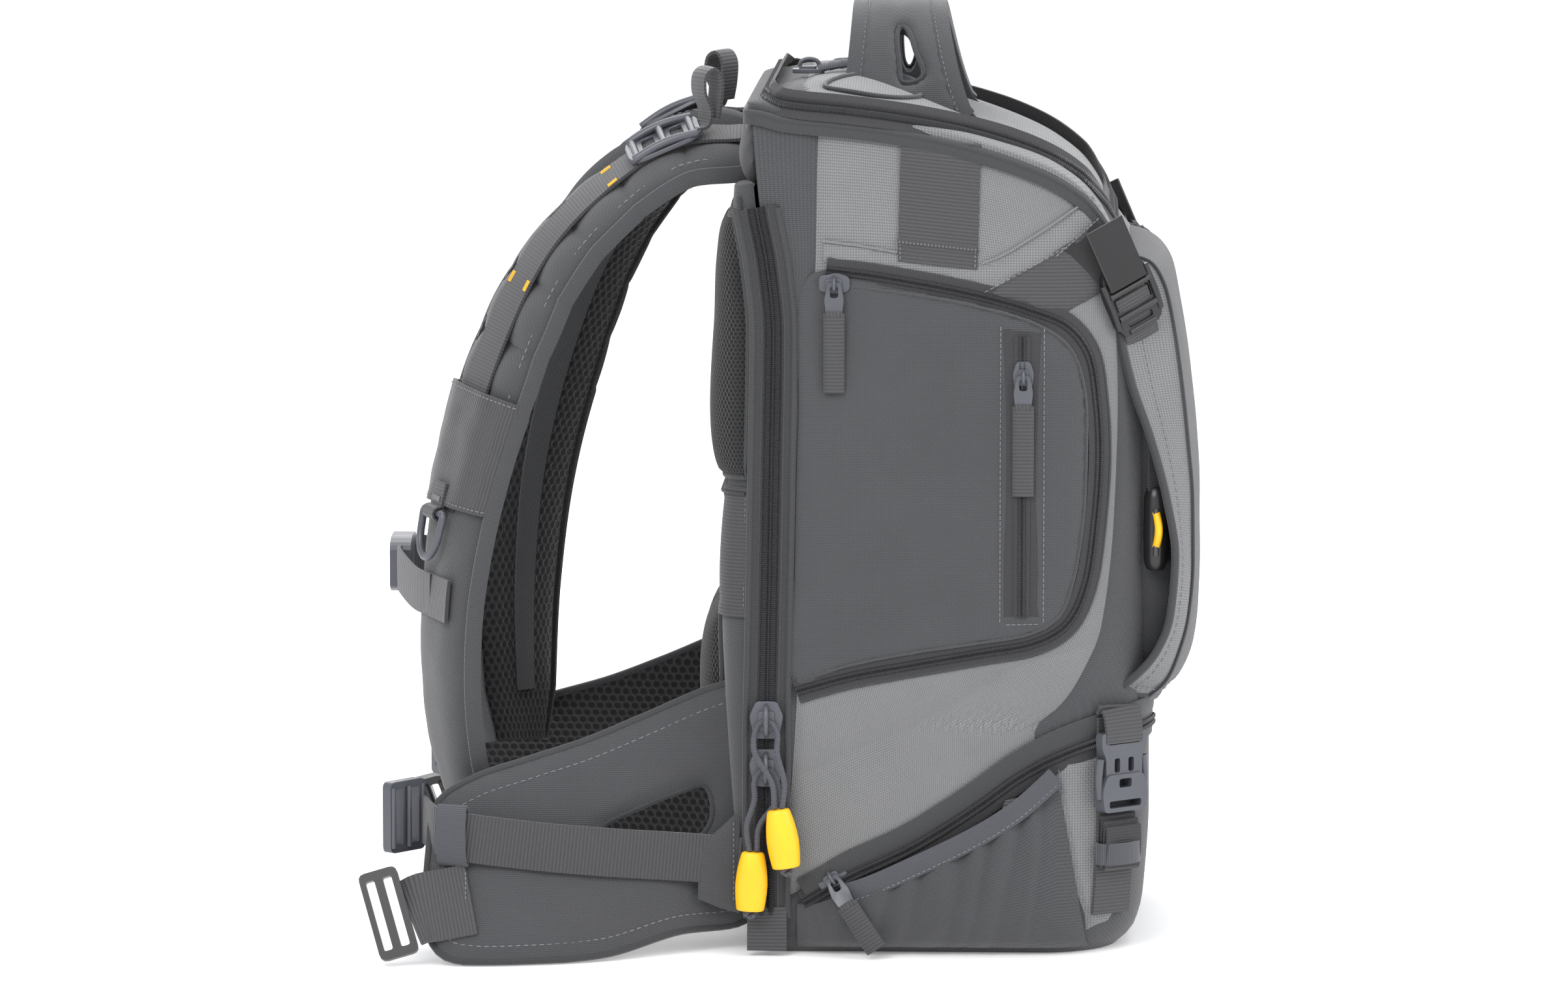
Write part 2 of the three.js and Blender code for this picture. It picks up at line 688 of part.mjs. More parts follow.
function trolleyBand() {
  const point = (u, v, offset) => {
    const z = BAND_LOW + v * (BAND_HIGH - BAND_LOW);
    const side = u < 0.5 ? LEFT : RIGHT;
    const share = 1 - Math.abs(2 * u - 1);
    const reach = panelReach(z) - BAND_START;
    return panelPoint(side, BAND_START + share * reach, z, offset);
  };
  return onPanel(slab(24, 1, (u, v) => point(u, v, GAP + CLOTH), (u, v) => point(u, v, -CLOTH)));
}

// Front pocket, open at its top: height as a share of BAG_HEIGHT, reach of its front from the bag's
const POCKET_SECTIONS = [
  { height: 0.335, reach: 6 },
  { height: 0.36, reach: 15 },
  { height: 0.41, reach: 20 },
  { height: 0.48, reach: 23 },
  { height: 0.6, reach: 22 },
  { height: 0.72, reach: 15 },
  { height: 0.79, reach: 9 },
];

function pocketSolid(inset) {
  const rings = POCKET_SECTIONS.map((row, i) => {
    const last = i === POCKET_SECTIONS.length - 1;
    const z = up(row.height) + (i === 0 ? inset : 0) + (last && inset > 0 ? 5 : 0);
    const front = sectionAt(up(row.height)).front + row.reach - inset;
    const half = POCKET_HALF_WIDTH - inset;
    const radius = POCKET_CORNER_RADIUS - inset;
    const back = along(0.72) - inset;
    const ring = [];
    for (const side of [LEFT, RIGHT]) {
      const arc = [];
      for (let k = 0; k <= 3; k += 1) {
        const a = (k / 3) * Math.PI / 2;
        arc.push(new THREE.Vector3(
          front - radius + radius * Math.sin(a), side * (half - radius + radius * Math.cos(a)), z));
      }
      const line = [new THREE.Vector3(back, side * half, z), ...arc];
      ring.push(...(side === LEFT ? line : line.reverse()));
    }
    return ring;
  });
  return loft(rings);
}

function frontPocket() {
  return largest(cut(pocketSolid(0), pocketSolid(CLOTH), bagSolid(GAP, 'open')));
}

// Front flap: a curved cloth with its middle, side seam and bound edge in each row, as shares of the
// bag's depth and height
const FLAP_ROWS = [
  { middle: 0.965, middleHeight: 0.83, seam: 0.94, seamHeight: 0.828, edge: 0.9, edgeHeight: 0.828 },
  { middle: 1.034, middleHeight: 0.823, seam: 1.01, seamHeight: 0.818, edge: 0.912, edgeHeight: 0.81 },
  { middle: 1.077, middleHeight: 0.8, seam: 1.05, seamHeight: 0.79, edge: 0.922, edgeHeight: 0.785 },
  { middle: 1.1, middleHeight: 0.752, seam: 1.077, seamHeight: 0.737, edge: 0.935, edgeHeight: 0.738 },
  { middle: 1.124, middleHeight: 0.688, seam: 1.095, seamHeight: 0.684, edge: 0.965, edgeHeight: 0.68 },
  { middle: 1.144, middleHeight: 0.605, seam: 1.115, seamHeight: 0.605, edge: 1.02, edgeHeight: 0.61 },
  { middle: 1.153, middleHeight: 0.53, seam: 1.128, seamHeight: 0.535, edge: 1.062, edgeHeight: 0.54 },
  { middle: 1.155, middleHeight: 0.456, seam: 1.13, seamHeight: 0.46, edge: 1.086, edgeHeight: 0.472 },
  { middle: 1.153, middleHeight: 0.393, seam: 1.118, seamHeight: 0.396, edge: 1.073, edgeHeight: 0.4 },
  { middle: 1.14, middleHeight: 0.346, seam: 1.093, seamHeight: 0.352, edge: 1.04, edgeHeight: 0.36 },
  { middle: 1.105, middleHeight: 0.31, seam: 1.062, seamHeight: 0.32, edge: 0.985, edgeHeight: 0.33 },
  { middle: 1.05, middleHeight: 0.286, seam: 1.01, seamHeight: 0.298, edge: 0.925, edgeHeight: 0.31 },
];
const FLAP_SEAM_SHARE = 0.85;

function flapPoint(u, v, inset) {
  const row = v * (FLAP_ROWS.length - 1);
  const read = (column) => {
    const low = Math.min(Math.floor(row), FLAP_ROWS.length - 2);
    return FLAP_ROWS[low][column] + (row - low) * (FLAP_ROWS[low + 1][column] - FLAP_ROWS[low][column]);
  };
  const reach = Math.abs(2 * u - 1);
  const y = Math.sign(2 * u - 1) * reach * FLAP_HALF_WIDTH;
  let x;
  let z;
  if (reach <= FLAP_SEAM_SHARE) {
    const share = (reach / FLAP_SEAM_SHARE) ** 2.5;
    x = read('middle') + share * (read('seam') - read('middle'));
    z = read('middleHeight') + share * (read('seamHeight') - read('middleHeight'));
  } else {
    const share = (reach - FLAP_SEAM_SHARE) / (1 - FLAP_SEAM_SHARE);
    x = read('seam') + share * (read('edge') - read('seam'));
    z = read('seamHeight') + share * (read('edgeHeight') - read('seamHeight'));
  }
  const centre = new THREE.Vector3(along(0.6), 0, up(0.5));
  const point = new THREE.Vector3(along(x), y, up(z));
  const inward = new THREE.Vector3(centre.x - point.x, -0.55 * y, (centre.z - point.z) * 0.35).normalize();
  return point.addScaledVector(inward, inset);
}

const FLAP_COLUMNS = [0, 0.05, 0.075, 0.25, 0.5, 0.75, 0.925, 0.95, 1];

function frontFlap() {
  const columns = FLAP_COLUMNS.length - 1;
  const column = (u) => FLAP_COLUMNS[Math.round(u * columns)];
  const sheet = slab(columns, FLAP_ROWS.length - 1,
    (u, v) => flapPoint(column(u), v, 0),
    (u, v) => flapPoint(column(u), v, FLAP_CLOTH));
  return largest(cut(sheet, bagSolid(GAP, 'open'), lidBlock()));
}

const lidBlock = () => lidDome(-GAP, -GAP);

// Stretch pocket on the base: its gathered cloth hangs from a slanting trim
const POCKET_TRIM = [
  { depth: 0.03, height: 0.06 },
  { depth: 0.12, height: 0.075 },
  { depth: 0.21, height: 0.092 },
  { depth: 0.26, height: 0.092 },
  { depth: 0.38, height: 0.112 },
  { depth: 0.55, height: 0.151 },
  { depth: 0.72, height: 0.205 },
  { depth: 0.765, height: 0.228 },
];
const STRETCH_FROM = 0.06;
const STRETCH_TO = 0.79;
const STRETCH_FOOT = 0.012;
const STRETCH_FOLDS = 7;

function stretchPocket(side) {
  const place = (u, v) => {
    const depth = STRETCH_FROM + u * (STRETCH_TO - STRETCH_FROM);
    const top = lookUp(POCKET_TRIM, 'depth', depth, 'height');
    return [along(depth), up(STRETCH_FOOT + v * (top - STRETCH_FOOT))];
  };
  const bulge = (u, v) => {
    const edges = Math.sqrt(Math.max(0, 1 - Math.abs(2 * u - 1) ** 4));
    const mouth = v > 0.5 ? 0.97 : 1;
    const rise = 1 - mouth * Math.abs(2 * v - 1) ** 3;
    const depth = 0.22 * Math.sin(Math.PI * Math.min(1, v * 1.15));
    const fold = 1 + depth * Math.cos(2 * Math.PI * STRETCH_FOLDS * u);
    return CLOTH + STRETCH_BULGE * edges * Math.sqrt(rise) * fold;
  };
  const point = (u, v, offset) => {
    const [x, z] = place(u, v);
    return new THREE.Vector3(x, -sideAt(x, z, offset), z);
  };
  const cloth = slab(21, 4,
    (u, v) => point(u, v, GAP + bulge(u, v)),
    (u, v) => point(u, v, GAP + Math.max(0, bulge(u, v) - CLOTH)));
  return onSide(side, largest(cut(cloth, bagSolid(GAP, 'open'), sideSlider('base', GAP))));
}

// Side panels of webbing that lie on the bag
const TAB_FRONT = along(0.535);
const TAB_TOP = up(0.955);

function sideTab(side) {
  const outline = [
    [TAB_FRONT - TAB_WIDTH, TAB_TOP - TAB_LENGTH], [TAB_FRONT, TAB_TOP - TAB_LENGTH],
    [TAB_FRONT, TAB_TOP - 2], [TAB_FRONT - TAB_WIDTH, TAB_TOP],
  ];
  return sideSkin(side, outline, GAP, GAP + CLOTH);
}

// Compression strap over the front corner, with its patch, up to the flap's buckle
const FLAP_STRAP_OUTLINE = [
  { depth: 0.55, height: 0.775 },
  { depth: 0.715, height: 0.762 },
  { depth: 0.845, height: 0.783 },
  { depth: 0.89, height: 0.812 },
  { depth: 0.845, height: 0.858 },
  { depth: 0.775, height: 0.834 },
];

function flapStrap(side) {
  const outline = FLAP_STRAP_OUTLINE.map((row) => [along(row.depth), up(row.height)]);
  const strap = sideSkin(LEFT, outline, GAP, GAP + CLOTH);
  const door = prism(shrunk(doorPoints(), -SEAM_GAP), -BAG_WIDTH, 0, DOOR_RADIUS);
  return onSide(side, largest(cut(strap, door)));
}

// The buckle that holds the flap: a hooked frame lying on the flap's side
const FLAP_BUCKLE_WIDTH = 34;
const FLAP_BUCKLE_HEIGHT = 42;
const FLAP_BUCKLE_THICKNESS = 7;

function flapBuckle(side) {
  const edge = flapPoint(0, 3 / (FLAP_ROWS.length - 1), 0);
  const seam = flapPoint(0.075, 3 / (FLAP_ROWS.length - 1), 0);
  const across = new THREE.Vector3(seam.x - edge.x, seam.y - edge.y, 0).normalize();
  const normal = new THREE.Vector3(across.y, -across.x, 0);
  const upward = new THREE.Vector3(0, 0, 1);
  const middle = edge.clone().addScaledVector(across, 3)
    .addScaledVector(normal, FLAP_BUCKLE_THICKNESS / 2 + 0.4);
  middle.z = up(0.781);
  const box = (a, z, width, height, depth) => orientedBox(
    middle.clone().addScaledVector(across, a).addScaledVector(upward, z),
    across, upward, normal, [width, height, depth]);
  const body = box(0, 0, FLAP_BUCKLE_WIDTH, FLAP_BUCKLE_HEIGHT, FLAP_BUCKLE_THICKNESS);
  const window = box(2, -11, FLAP_BUCKLE_WIDTH - 12, 5, 30);
  const second = box(2, -2, FLAP_BUCKLE_WIDTH - 12, 5, 30);
  const notch = box(-FLAP_BUCKLE_WIDTH / 2, -16, 14, 16, 30);
  const corner = box(FLAP_BUCKLE_WIDTH / 2, 20, 12, 10, 30);
  const buckle = cut(body, window, second, notch, corner, bagSolid(GAP + CLOTH + GAP, 'open'));
  return onSide(side, largest(buckle));
}

// The handle: a padded band that arches from side to side over the lid
function handle() {
  const steps = 14;
  const middle = along(0.335);
  const foot = seamHeight(middle) + LID_EDGE + crownRise(middle) * 0.8;
  const stations = [];
  for (let i = 0; i <= steps; i += 1) {
    const share = i / steps;
    const angle = Math.PI * share;
    const drop = 1 - Math.abs(Math.cos(angle)) ** 2.6;
    const point = new THREE.Vector3(
      middle + 6 * (1 - Math.sin(angle)), -HANDLE_HALF_SPAN * Math.cos(angle) * (1 + 0.08 * Math.sin(angle)),
      foot - 14 + (HANDLE_HEIGHT + 14) * drop);
    stations.push({ point, share });
  }
  stations.forEach((s, i) => {
    const before = stations[Math.max(0, i - 1)].point;
    const after = stations[Math.min(steps, i + 1)].point;
    s.tangent = after.clone().sub(before).normalize();
    s.across = new THREE.Vector3(1, 0, 0);
    s.normal = new THREE.Vector3().crossVectors(s.across, s.tangent).normalize();
    if (i === 0) s.normal.set(0, -1, 0);
    if (i === steps) s.normal.set(0, 1, 0);
  });
  const band = sweep(stations, (share) => {
    const raised = Math.sin(Math.PI * share) ** 0.7;
    const half = (HANDLE_WIDTH * (1 - 0.32 * raised)) / 2;
    const thick = HANDLE_THICKNESS * (0.45 + 0.55 * raised) / 2;
    return [
      [-half, -thick * 0.5], [-half * 0.6, -thick], [half * 0.6, -thick], [half, -thick * 0.5],
      [half, thick * 0.5], [half * 0.5, thick], [0, thick * 0.8], [-half * 0.5, thick],
      [-half, thick * 0.5],
    ];
  });
  const slotLow = seamHeight(along(0.35)) + 4;
  const slot = prism([
    [along(0.335), slotLow], [along(0.4), slotLow],
    [along(0.385), foot + 22], [along(0.345), foot + 22],
  ], -BAG_WIDTH, BAG_WIDTH, 4);
  return largest(cut(band, slot, lidBlock()));
}

// Main zip on one side: tape and chain along the panel's edge, with a webbing loop at its foot
const ZIP_FOOT = up(0.045);
const ZIP_HEAD = up(0.885);

function mainZip(side, withSliders) {
  const steps = 8;
  const stations = [];
  for (let i = 0; i <= steps; i += 1) {
    const z = ZIP_FOOT + (i / steps) * (ZIP_HEAD - ZIP_FOOT);
    const s = sectionAt(z);
    stations.push({
      point: new THREE.Vector3(s.rear, -s.half, z),
      across: new THREE.Vector3(1, 0, 0),
      normal: new THREE.Vector3(0, -1, 0),
    });
  }
  const half = ZIP_TAPE_WIDTH / 2;
  const chain = ZIP_CHAIN_WIDTH / 2;
  const low = GAP + 0.2;
  const strip = sweep(stations, () => [
    [-half, low], [half, low], [half, low + 1], [chain, low + 1],
    [chain, low + ZIP_CHAIN_HEIGHT], [-chain, low + ZIP_CHAIN_HEIGHT], [-chain, low + 1], [-half, low + 1],
  ]);
  const foot = sectionAt(ZIP_FOOT);
  const loop = prism([
    [foot.rear - 11, 1.2], [foot.rear + 11, 1.2],
    [foot.rear + 11, ZIP_FOOT + 3], [foot.rear - 11, ZIP_FOOT + 3],
  ], -foot.half - low - 4.2, -foot.half - low - 0.4, 1.5, 1);
  const parts = [strip, loop];
  if (withSliders) {
    for (const seat of zipSliderSeats()) {
      const body = sliderShape(19, 21, 5);
      body.translate(seat.x, -seat.distance, seat.z);
      parts.push(body, bail(seat));
    }
  }
  return onSide(side, cut(join(...parts), bagSolid(GAP, 'open')));
}

function zipSliderSeats() {
  return [0.283, 0.226].map((height) => {
    const z = up(height);
    const s = sectionAt(z);
    return { x: s.rear, z, distance: s.half + GAP + ZIP_CHAIN_HEIGHT - 0.6 };
  });
}

// A shouldered slider plate, lying against the near side
function sliderShape(width, height, thickness) {
  return prism([
    [-width * 0.5, -height * 0.1], [-width * 0.32, -height * 0.5], [width * 0.32, -height * 0.5],
    [width * 0.5, -height * 0.1], [width * 0.34, height * 0.5], [-width * 0.34, height * 0.5],
  ], -thickness, 0.5, 2, 1);
}

function bail(seat) {
  const reach = seat.distance + 5;
  const outer = prism([
    [-2.4, 7], [-2.4, -8], [2.4, -8], [2.4, 7],
  ], -10.2, -4.5, 1, 1);
  const eye = new THREE.BoxGeometry(12, 3.8, 9);
  eye.translate(0, -7.1, -1);
  const ring = cut(outer, eye);
  ring.translate(seat.x, -(reach - 5), seat.z);
  return ring;
}

// Pull cords of the opening panel: a loop through the slider's bail, down to the toggle
const CORD_LOOPS = [
  { name: 'upper', seat: 0, drop: 47, drift: 7, out: 13.5, spread: 4 },
  { name: 'lower', seat: 1, drop: 45, drift: -7, out: 8.2, spread: 4 },
];

function cordPoints(row) {
  const seat = zipSliderSeats()[row.seat];
  const y = -(seat.distance + 7.1);
  const out = -(seat.distance + row.out);
  const top = seat.z - 1;
  const end = top - row.drop;
  const x = seat.x;
  return [
    [x + row.drift - 2.1, out, end], [x + row.drift - 3.4, out, end + 14],
    [x - row.spread - 2.2, (out + y) / 2, top - 16], [x - row.spread - 2.2, y, top - 6],
    [x - row.spread + 0.6, y, top - 0.6], [x, y, top + 0.7],
    [x + row.spread - 0.6, y, top - 0.6], [x + row.spread + 2.2, y, top - 6],
    [x + row.spread + 2.2, (out + y) / 2, top - 16],
    [x + row.drift + 3.4, out, end + 14], [x + row.drift + 2.1, out, end],
  ].map((p) => new THREE.Vector3(...p));
}

function pullCord(row) {
  const path = new THREE.CatmullRomCurve3(cordPoints(row), false, 'centripetal');
  const section = new THREE.Shape();
  section.absarc(0, 0, CORD_DIAMETER / 2 * 0.94, 0, 2 * Math.PI, false);
  return new THREE.ExtrudeGeometry(section, {
    steps: 18, curveSegments: 4, bevelEnabled: false, extrudePath: path,
  });
}

function toggle(row) {
  const points = cordPoints(row);
  const top = points[0].clone().add(points[points.length - 1]).multiplyScalar(0.5);
  const r = TOGGLE_DIAMETER / 2;
  const profile = [
    [0, 0], [0.62, 0], [0.72, 0.04], [0.92, 0.3], [1.0, 0.55], [0.96, 0.8], [0.86, 0.97], [0.8, 1], [0, 1],
  ].map(([radius, height]) => new THREE.Vector2(radius * r, height * TOGGLE_LENGTH));
  const body = new THREE.LatheGeometry(profile, 10);
  body.rotateX(Math.PI / 2);
  body.rotateX(Math.PI);
  body.scale(1, 0.72, 1);
  body.rotateY(THREE.MathUtils.degToRad(row.drift > 0 ? -8 : 3));
  body.computeBoundingBox();
  body.translate(top.x, top.y, top.z - GAP - body.boundingBox.max.z);
  return body;
}

// Shoulder strap, from the yoke to its foot: reach behind the bag as a share of STRAP_REACH, height as
// a share of the bag's, spread as a share of STRAP_SPREAD, turn in degrees, and for the right strap its
// own turn and how far it hangs nearer to the bag
const STRAP_ROWS = [
  { reach: 0.07, height: 0.936, spread: 0.92, turn: 12, farTurn: 14, farDrift: 0 },
  { reach: 0.28, height: 0.932, spread: 1.0, turn: 18, farTurn: 30, farDrift: 2 },
  { reach: 0.52, height: 0.873, spread: 1.03, turn: 24, farTurn: 42, farDrift: 8 },
  { reach: 0.68, height: 0.805, spread: 1.07, turn: 30, farTurn: 48, farDrift: 14 },
  { reach: 0.83, height: 0.686, spread: 1.12, turn: 32, farTurn: 50, farDrift: 18 },
  { reach: 0.945, height: 0.531, spread: 1.18, turn: 28, farTurn: 46, farDrift: 20 },
  { reach: 0.995, height: 0.382, spread: 1.2, turn: 24, farTurn: 40, farDrift: 22 },
  { reach: 0.985, height: 0.255, spread: 1.18, turn: 22, farTurn: 34, farDrift: 20 },
  { reach: 0.945, height: 0.183, spread: 1.12, turn: 20, farTurn: 28, farDrift: 14 },
];
const STRAP_PUFFS = 6;
const PUFF_END = 0.5;

function strapStations(side, steps, from = 0, to = 1) {
  const far = side === RIGHT;
  const points = STRAP_ROWS.map((row) => new THREE.Vector3(
    BAG_REAR - STRAP_REACH * row.reach + (far ? row.farDrift : 0),
    side * STRAP_SPREAD * row.spread, up(row.height)));
  const turn = (share) => {
    const at = share * (STRAP_ROWS.length - 1);
    const low = Math.min(Math.floor(at), STRAP_ROWS.length - 2);
    const column = far ? 'farTurn' : 'turn';
    const before = STRAP_ROWS[low][column];
    return side * (before + (at - low) * (STRAP_ROWS[low + 1][column] - before));
  };
  return stationsAlong(points, steps, turn, new THREE.Vector3(0, 1, 0), from, to);
}

// Swell of the strap's outer face between its stitched seams
function strapPuff(share) {
  if (share >= PUFF_END) return 1;
  const phase = (share / PUFF_END) * STRAP_PUFFS;
  return 0.25 + 0.75 * Math.sqrt(Math.abs(Math.sin(Math.PI * phase)));
}

// The strap's width narrows a little towards the yoke and more towards its foot
function strapWidthAt(share) {
  const yoke = share < 0.08 ? 0.9 + 1.25 * share : 1;
  const foot = share > 0.93 ? 1 - 3 * (share - 0.93) : 1;
  return STRAP_WIDTH * yoke * foot;
}

function strapProfile(grow, puffed) {
  return (unused, station) => {
    const half = strapWidthAt(station.share) / 2 + grow;
    const low = -STRAP_THICKNESS / 2 - grow;
    const dome = STRAP_DOME * (puffed ? strapPuff(station.share) : 1);
    const edge = STRAP_THICKNESS * 0.22 + grow;
    return [
      [-half, low * 0.35], [-half * 0.86, low * 0.85], [0, low],
      [half * 0.86, low * 0.85], [half, low * 0.35],
      [half, edge], [half * 0.75, edge + dome * 0.75], [0, STRAP_THICKNESS / 2 + dome + grow],
      [-half * 0.75, edge + dome * 0.75], [-half, edge],
    ];
  };
}

function shoulderStrap(side) {
  const strap = sweep(strapStations(side, 24), strapProfile(0, true));
  const foot = ladderSeat(side);
  const end = strapStations(side, 8)[8];
  const start = end.point.clone().addScaledVector(end.tangent, -6);
  const finish = foot.point.clone().addScaledVector(foot.inward, -LADDER_LENGTH * 0.4);
  finish.z += LADDER_HEIGHT * 0.2;
  const tab = webbingBetween([start, start.clone().lerp(finish, 0.5), finish], 22, 2.2, end.across, 4);
  return largest(cut(join(strap, tab), bagSolid(GAP, 'open'), panelSolid(GAP), ladderBlock(side),
    hipBeltPlate(side)));
}

// A flat band along points, with its width along a given direction
function webbingBetween(points, width, thickness, widthAxis, steps) {
  const stations = stationsAlong(points, steps, () => 0, widthAxis.clone().normalize());
  return sweep(stations, flatProfile(width, -thickness / 2, thickness / 2));
}

const WEBBING_LIFT = STRAP_THICKNESS / 2 + STRAP_DOME + GAP + 0.3;

// Webbing on the strap, tight over its swellings, from the bag to inside the sleeve
function strapWebbing(side) {
  const stations = strapStations(side, 18, 0.03, SLEEVE_TO - 0.01);
  const profile = flatProfile(WEBBING_WIDTH, WEBBING_LIFT, WEBBING_LIFT + WEBBING_THICKNESS);
  const band = sweep(stations, profile);
  const first = stations[0];
  const start = first.point.clone().addScaledVector(first.normal, WEBBING_LIFT + WEBBING_THICKNESS / 2)
    .addScaledVector(first.tangent, 2);
  const anchor = new THREE.Vector3(sectionAt(start.z).rear - GAP - 0.3, start.y, start.z + 0.6);
  const lead = webbingBetween([anchor, start.clone().lerp(anchor, 0.5), start], WEBBING_WIDTH,
    WEBBING_THICKNESS, first.across, 2);
  return cut(join(band, lead), bagSolid(GAP, 'open'));
}

const SLEEVE_FROM = 0.485;
const SLEEVE_TO = 0.635;

function strapSleeve(side) {
  const stations = strapStations(side, 3, SLEEVE_FROM, SLEEVE_TO);
  const ring = (grow) => (unused, station) => {
    const half = strapWidthAt(station.share) / 2 + GAP + grow;
    const low = -STRAP_THICKNESS / 2 - GAP - grow;
    const top = WEBBING_LIFT + WEBBING_THICKNESS + 3 * GAP + grow;
    const edge = STRAP_THICKNESS * 0.22 + STRAP_DOME * 0.5 + grow;
    return [
      [-half, low * 0.4], [-half * 0.86, low], [0, low * 1.01], [half * 0.86, low], [half, low * 0.4],
      [half, edge], [half * 0.72, edge + 6], [WEBBING_WIDTH / 2 + 2 + grow, top],
      [-WEBBING_WIDTH / 2 - 2 - grow, top], [-half * 0.72, edge + 6], [-half, edge],
    ];
  };
  const longer = strapStations(side, 4, SLEEVE_FROM - 0.02, SLEEVE_TO + 0.02);
  return cut(sweep(stations, ring(SLEEVE_CLOTH)), sweep(longer, ring(0)));
}

// D-ring under the sleeve, lying on the strap, its straight bar up
function dRingSeat(side) {
  const station = strapStations(side, 2, SLEEVE_TO - 0.02, SLEEVE_TO + 0.02)[1];
  const lift = WEBBING_LIFT + WEBBING_THICKNESS + D_RING_WIRE / 2 + GAP + 2.4;
  return { ...station, bar: station.point.clone().addScaledVector(station.normal, lift)
    .addScaledVector(station.tangent, 5) };
}

function dRing(side) {
  const seat = dRingSeat(side);
  const half = D_RING_WIDTH / 2 - D_RING_WIRE / 2;
  const path = [[-half, 0], [0, 0], [half, 0]];
  for (let k = 0; k <= 7; k += 1) {
    const a = (k / 7) * Math.PI;
    path.push([half * Math.cos(a), D_RING_HEIGHT * 0.3 + D_RING_HEIGHT * 0.62 * Math.sin(a)]);
  }
  const points = path.map(([a, t]) => seat.bar.clone()
    .addScaledVector(seat.across, a).addScaledVector(seat.tangent, t));
  const rings = points.map((point, i) => {
    const before = points[(i + points.length - 1) % points.length];
    const after = points[(i + 1) % points.length];
    const tangent = after.clone().sub(before).normalize();
    const outward = new THREE.Vector3().crossVectors(tangent, seat.normal).normalize();
    const ring = [];
    for (let k = 0; k < 8; k += 1) {
      const a = (k / 8) * 2 * Math.PI;
      ring.push(point.clone().addScaledVector(outward, D_RING_WIRE / 2 * Math.cos(a))
        .addScaledVector(seat.normal, D_RING_WIRE / 2 * Math.sin(a)));
    }
    return ring;
  });
  return loopLoft(rings);
}

// The keeper that holds the ring's bar, sewn to the sleeve
function ringKeeper(side) {
  const seat = dRingSeat(side);
  const width = D_RING_WIDTH * 0.5;
  const from = seat.bar.clone().addScaledVector(seat.across, -width / 2);
  const to = seat.bar.clone().addScaledVector(seat.across, width / 2);
  const outer = cylinderBetween(from, to, D_RING_WIRE / 2 + GAP + 1.6, 8);
  const foot = orientedBox(seat.bar.clone().addScaledVector(seat.tangent, -9)
    .addScaledVector(seat.normal, -D_RING_WIRE / 2 - 0.2), seat.across, seat.tangent,
  seat.normal, [width, 18, 2.6]);
  const hole = cylinderBetween(from.clone().addScaledVector(seat.across, -3),
    to.clone().addScaledVector(seat.across, 3), D_RING_WIRE / 2 + GAP + 0.2, 8);
  return { solid: join(outer, foot), hole };
}

// Load lifter buckle over the webbing near the bag
const LIFTER_LENGTH = 44;
const LIFTER_WIDTH = 34;

function lifterBuckle(side) {
  const station = strapStations(side, 2, 0.06, 0.14)[1];
  const lift = WEBBING_LIFT + WEBBING_THICKNESS + GAP + 0.3;
  const half = LIFTER_LENGTH / 2;
  const line = [
    [-half, 0.6], [-half * 0.5, 0], [half * 0.5, 0], [half, 0.6],
    [half, 4.2], [half * 0.55, 6.4], [0, 5.2], [-half * 0.5, 6.6], [-half, 3.8],
  ];
  const shape = new THREE.Shape(line.map(([a, b]) => new THREE.Vector2(a, b)));
  const block = new THREE.ExtrudeGeometry(shape, { depth: LIFTER_WIDTH, bevelEnabled: false });
  block.translate(0, 0, -LIFTER_WIDTH / 2);
  const slot = new THREE.BoxGeometry(7, 30, LIFTER_WIDTH - 9);
  slot.translate(-half * 0.45, 0, 0);
  const second = slot.clone();
  second.translate(half * 0.95, 0, 0);
  const buckle = cut(block, slot, second);
  const tangent = station.tangent.clone();
  const across = new THREE.Vector3().crossVectors(tangent, station.normal).normalize();
  buckle.applyMatrix4(new THREE.Matrix4().makeBasis(tangent, station.normal, across));
  buckle.translate(...station.point.clone().addScaledVector(station.normal, lift).toArray());
  return buckle;
}

// Sternum strap between the shoulder straps, with its side-release buckle in the middle
const STERNUM_SHARE = 0.75;
const STERNUM_BUCKLE = { length: 44, height: 32, thickness: 12 };

function sternumMiddle() {
  const left = strapStations(LEFT, 2, STERNUM_SHARE - 0.01, STERNUM_SHARE + 0.01)[1];
  return new THREE.Vector3(left.point.x - 36, 0, left.point.z + 8);
}

function sternumStrap(side) {
  const station = strapStations(side, 2, STERNUM_SHARE - 0.01, STERNUM_SHARE + 0.01)[1];
  const lift = STRAP_THICKNESS / 2 + STRAP_DOME + GAP + 1.3;
  const inward = station.across.clone().multiplyScalar(-side);
  const root = station.point.clone().addScaledVector(station.normal, lift);
  const edge = root.clone().addScaledVector(inward, STRAP_WIDTH * 0.42)
    .addScaledVector(station.normal, -0.4);
  const middle = sternumMiddle();
  const end = new THREE.Vector3(middle.x, side * (STERNUM_BUCKLE.length / 2 + GAP), middle.z);
  const near = end.clone().add(new THREE.Vector3(0, side * 8, 0));
  const band = webbingBetween([root, edge, near, end], WEBBING_WIDTH - 2, WEBBING_THICKNESS,
    new THREE.Vector3(0, 0, 1), 9);
  const stop = new THREE.BoxGeometry(40, STERNUM_BUCKLE.length + 2 * GAP, 60);
  stop.translate(middle.x, 0, middle.z);
  return largest(cut(band, stop));
}

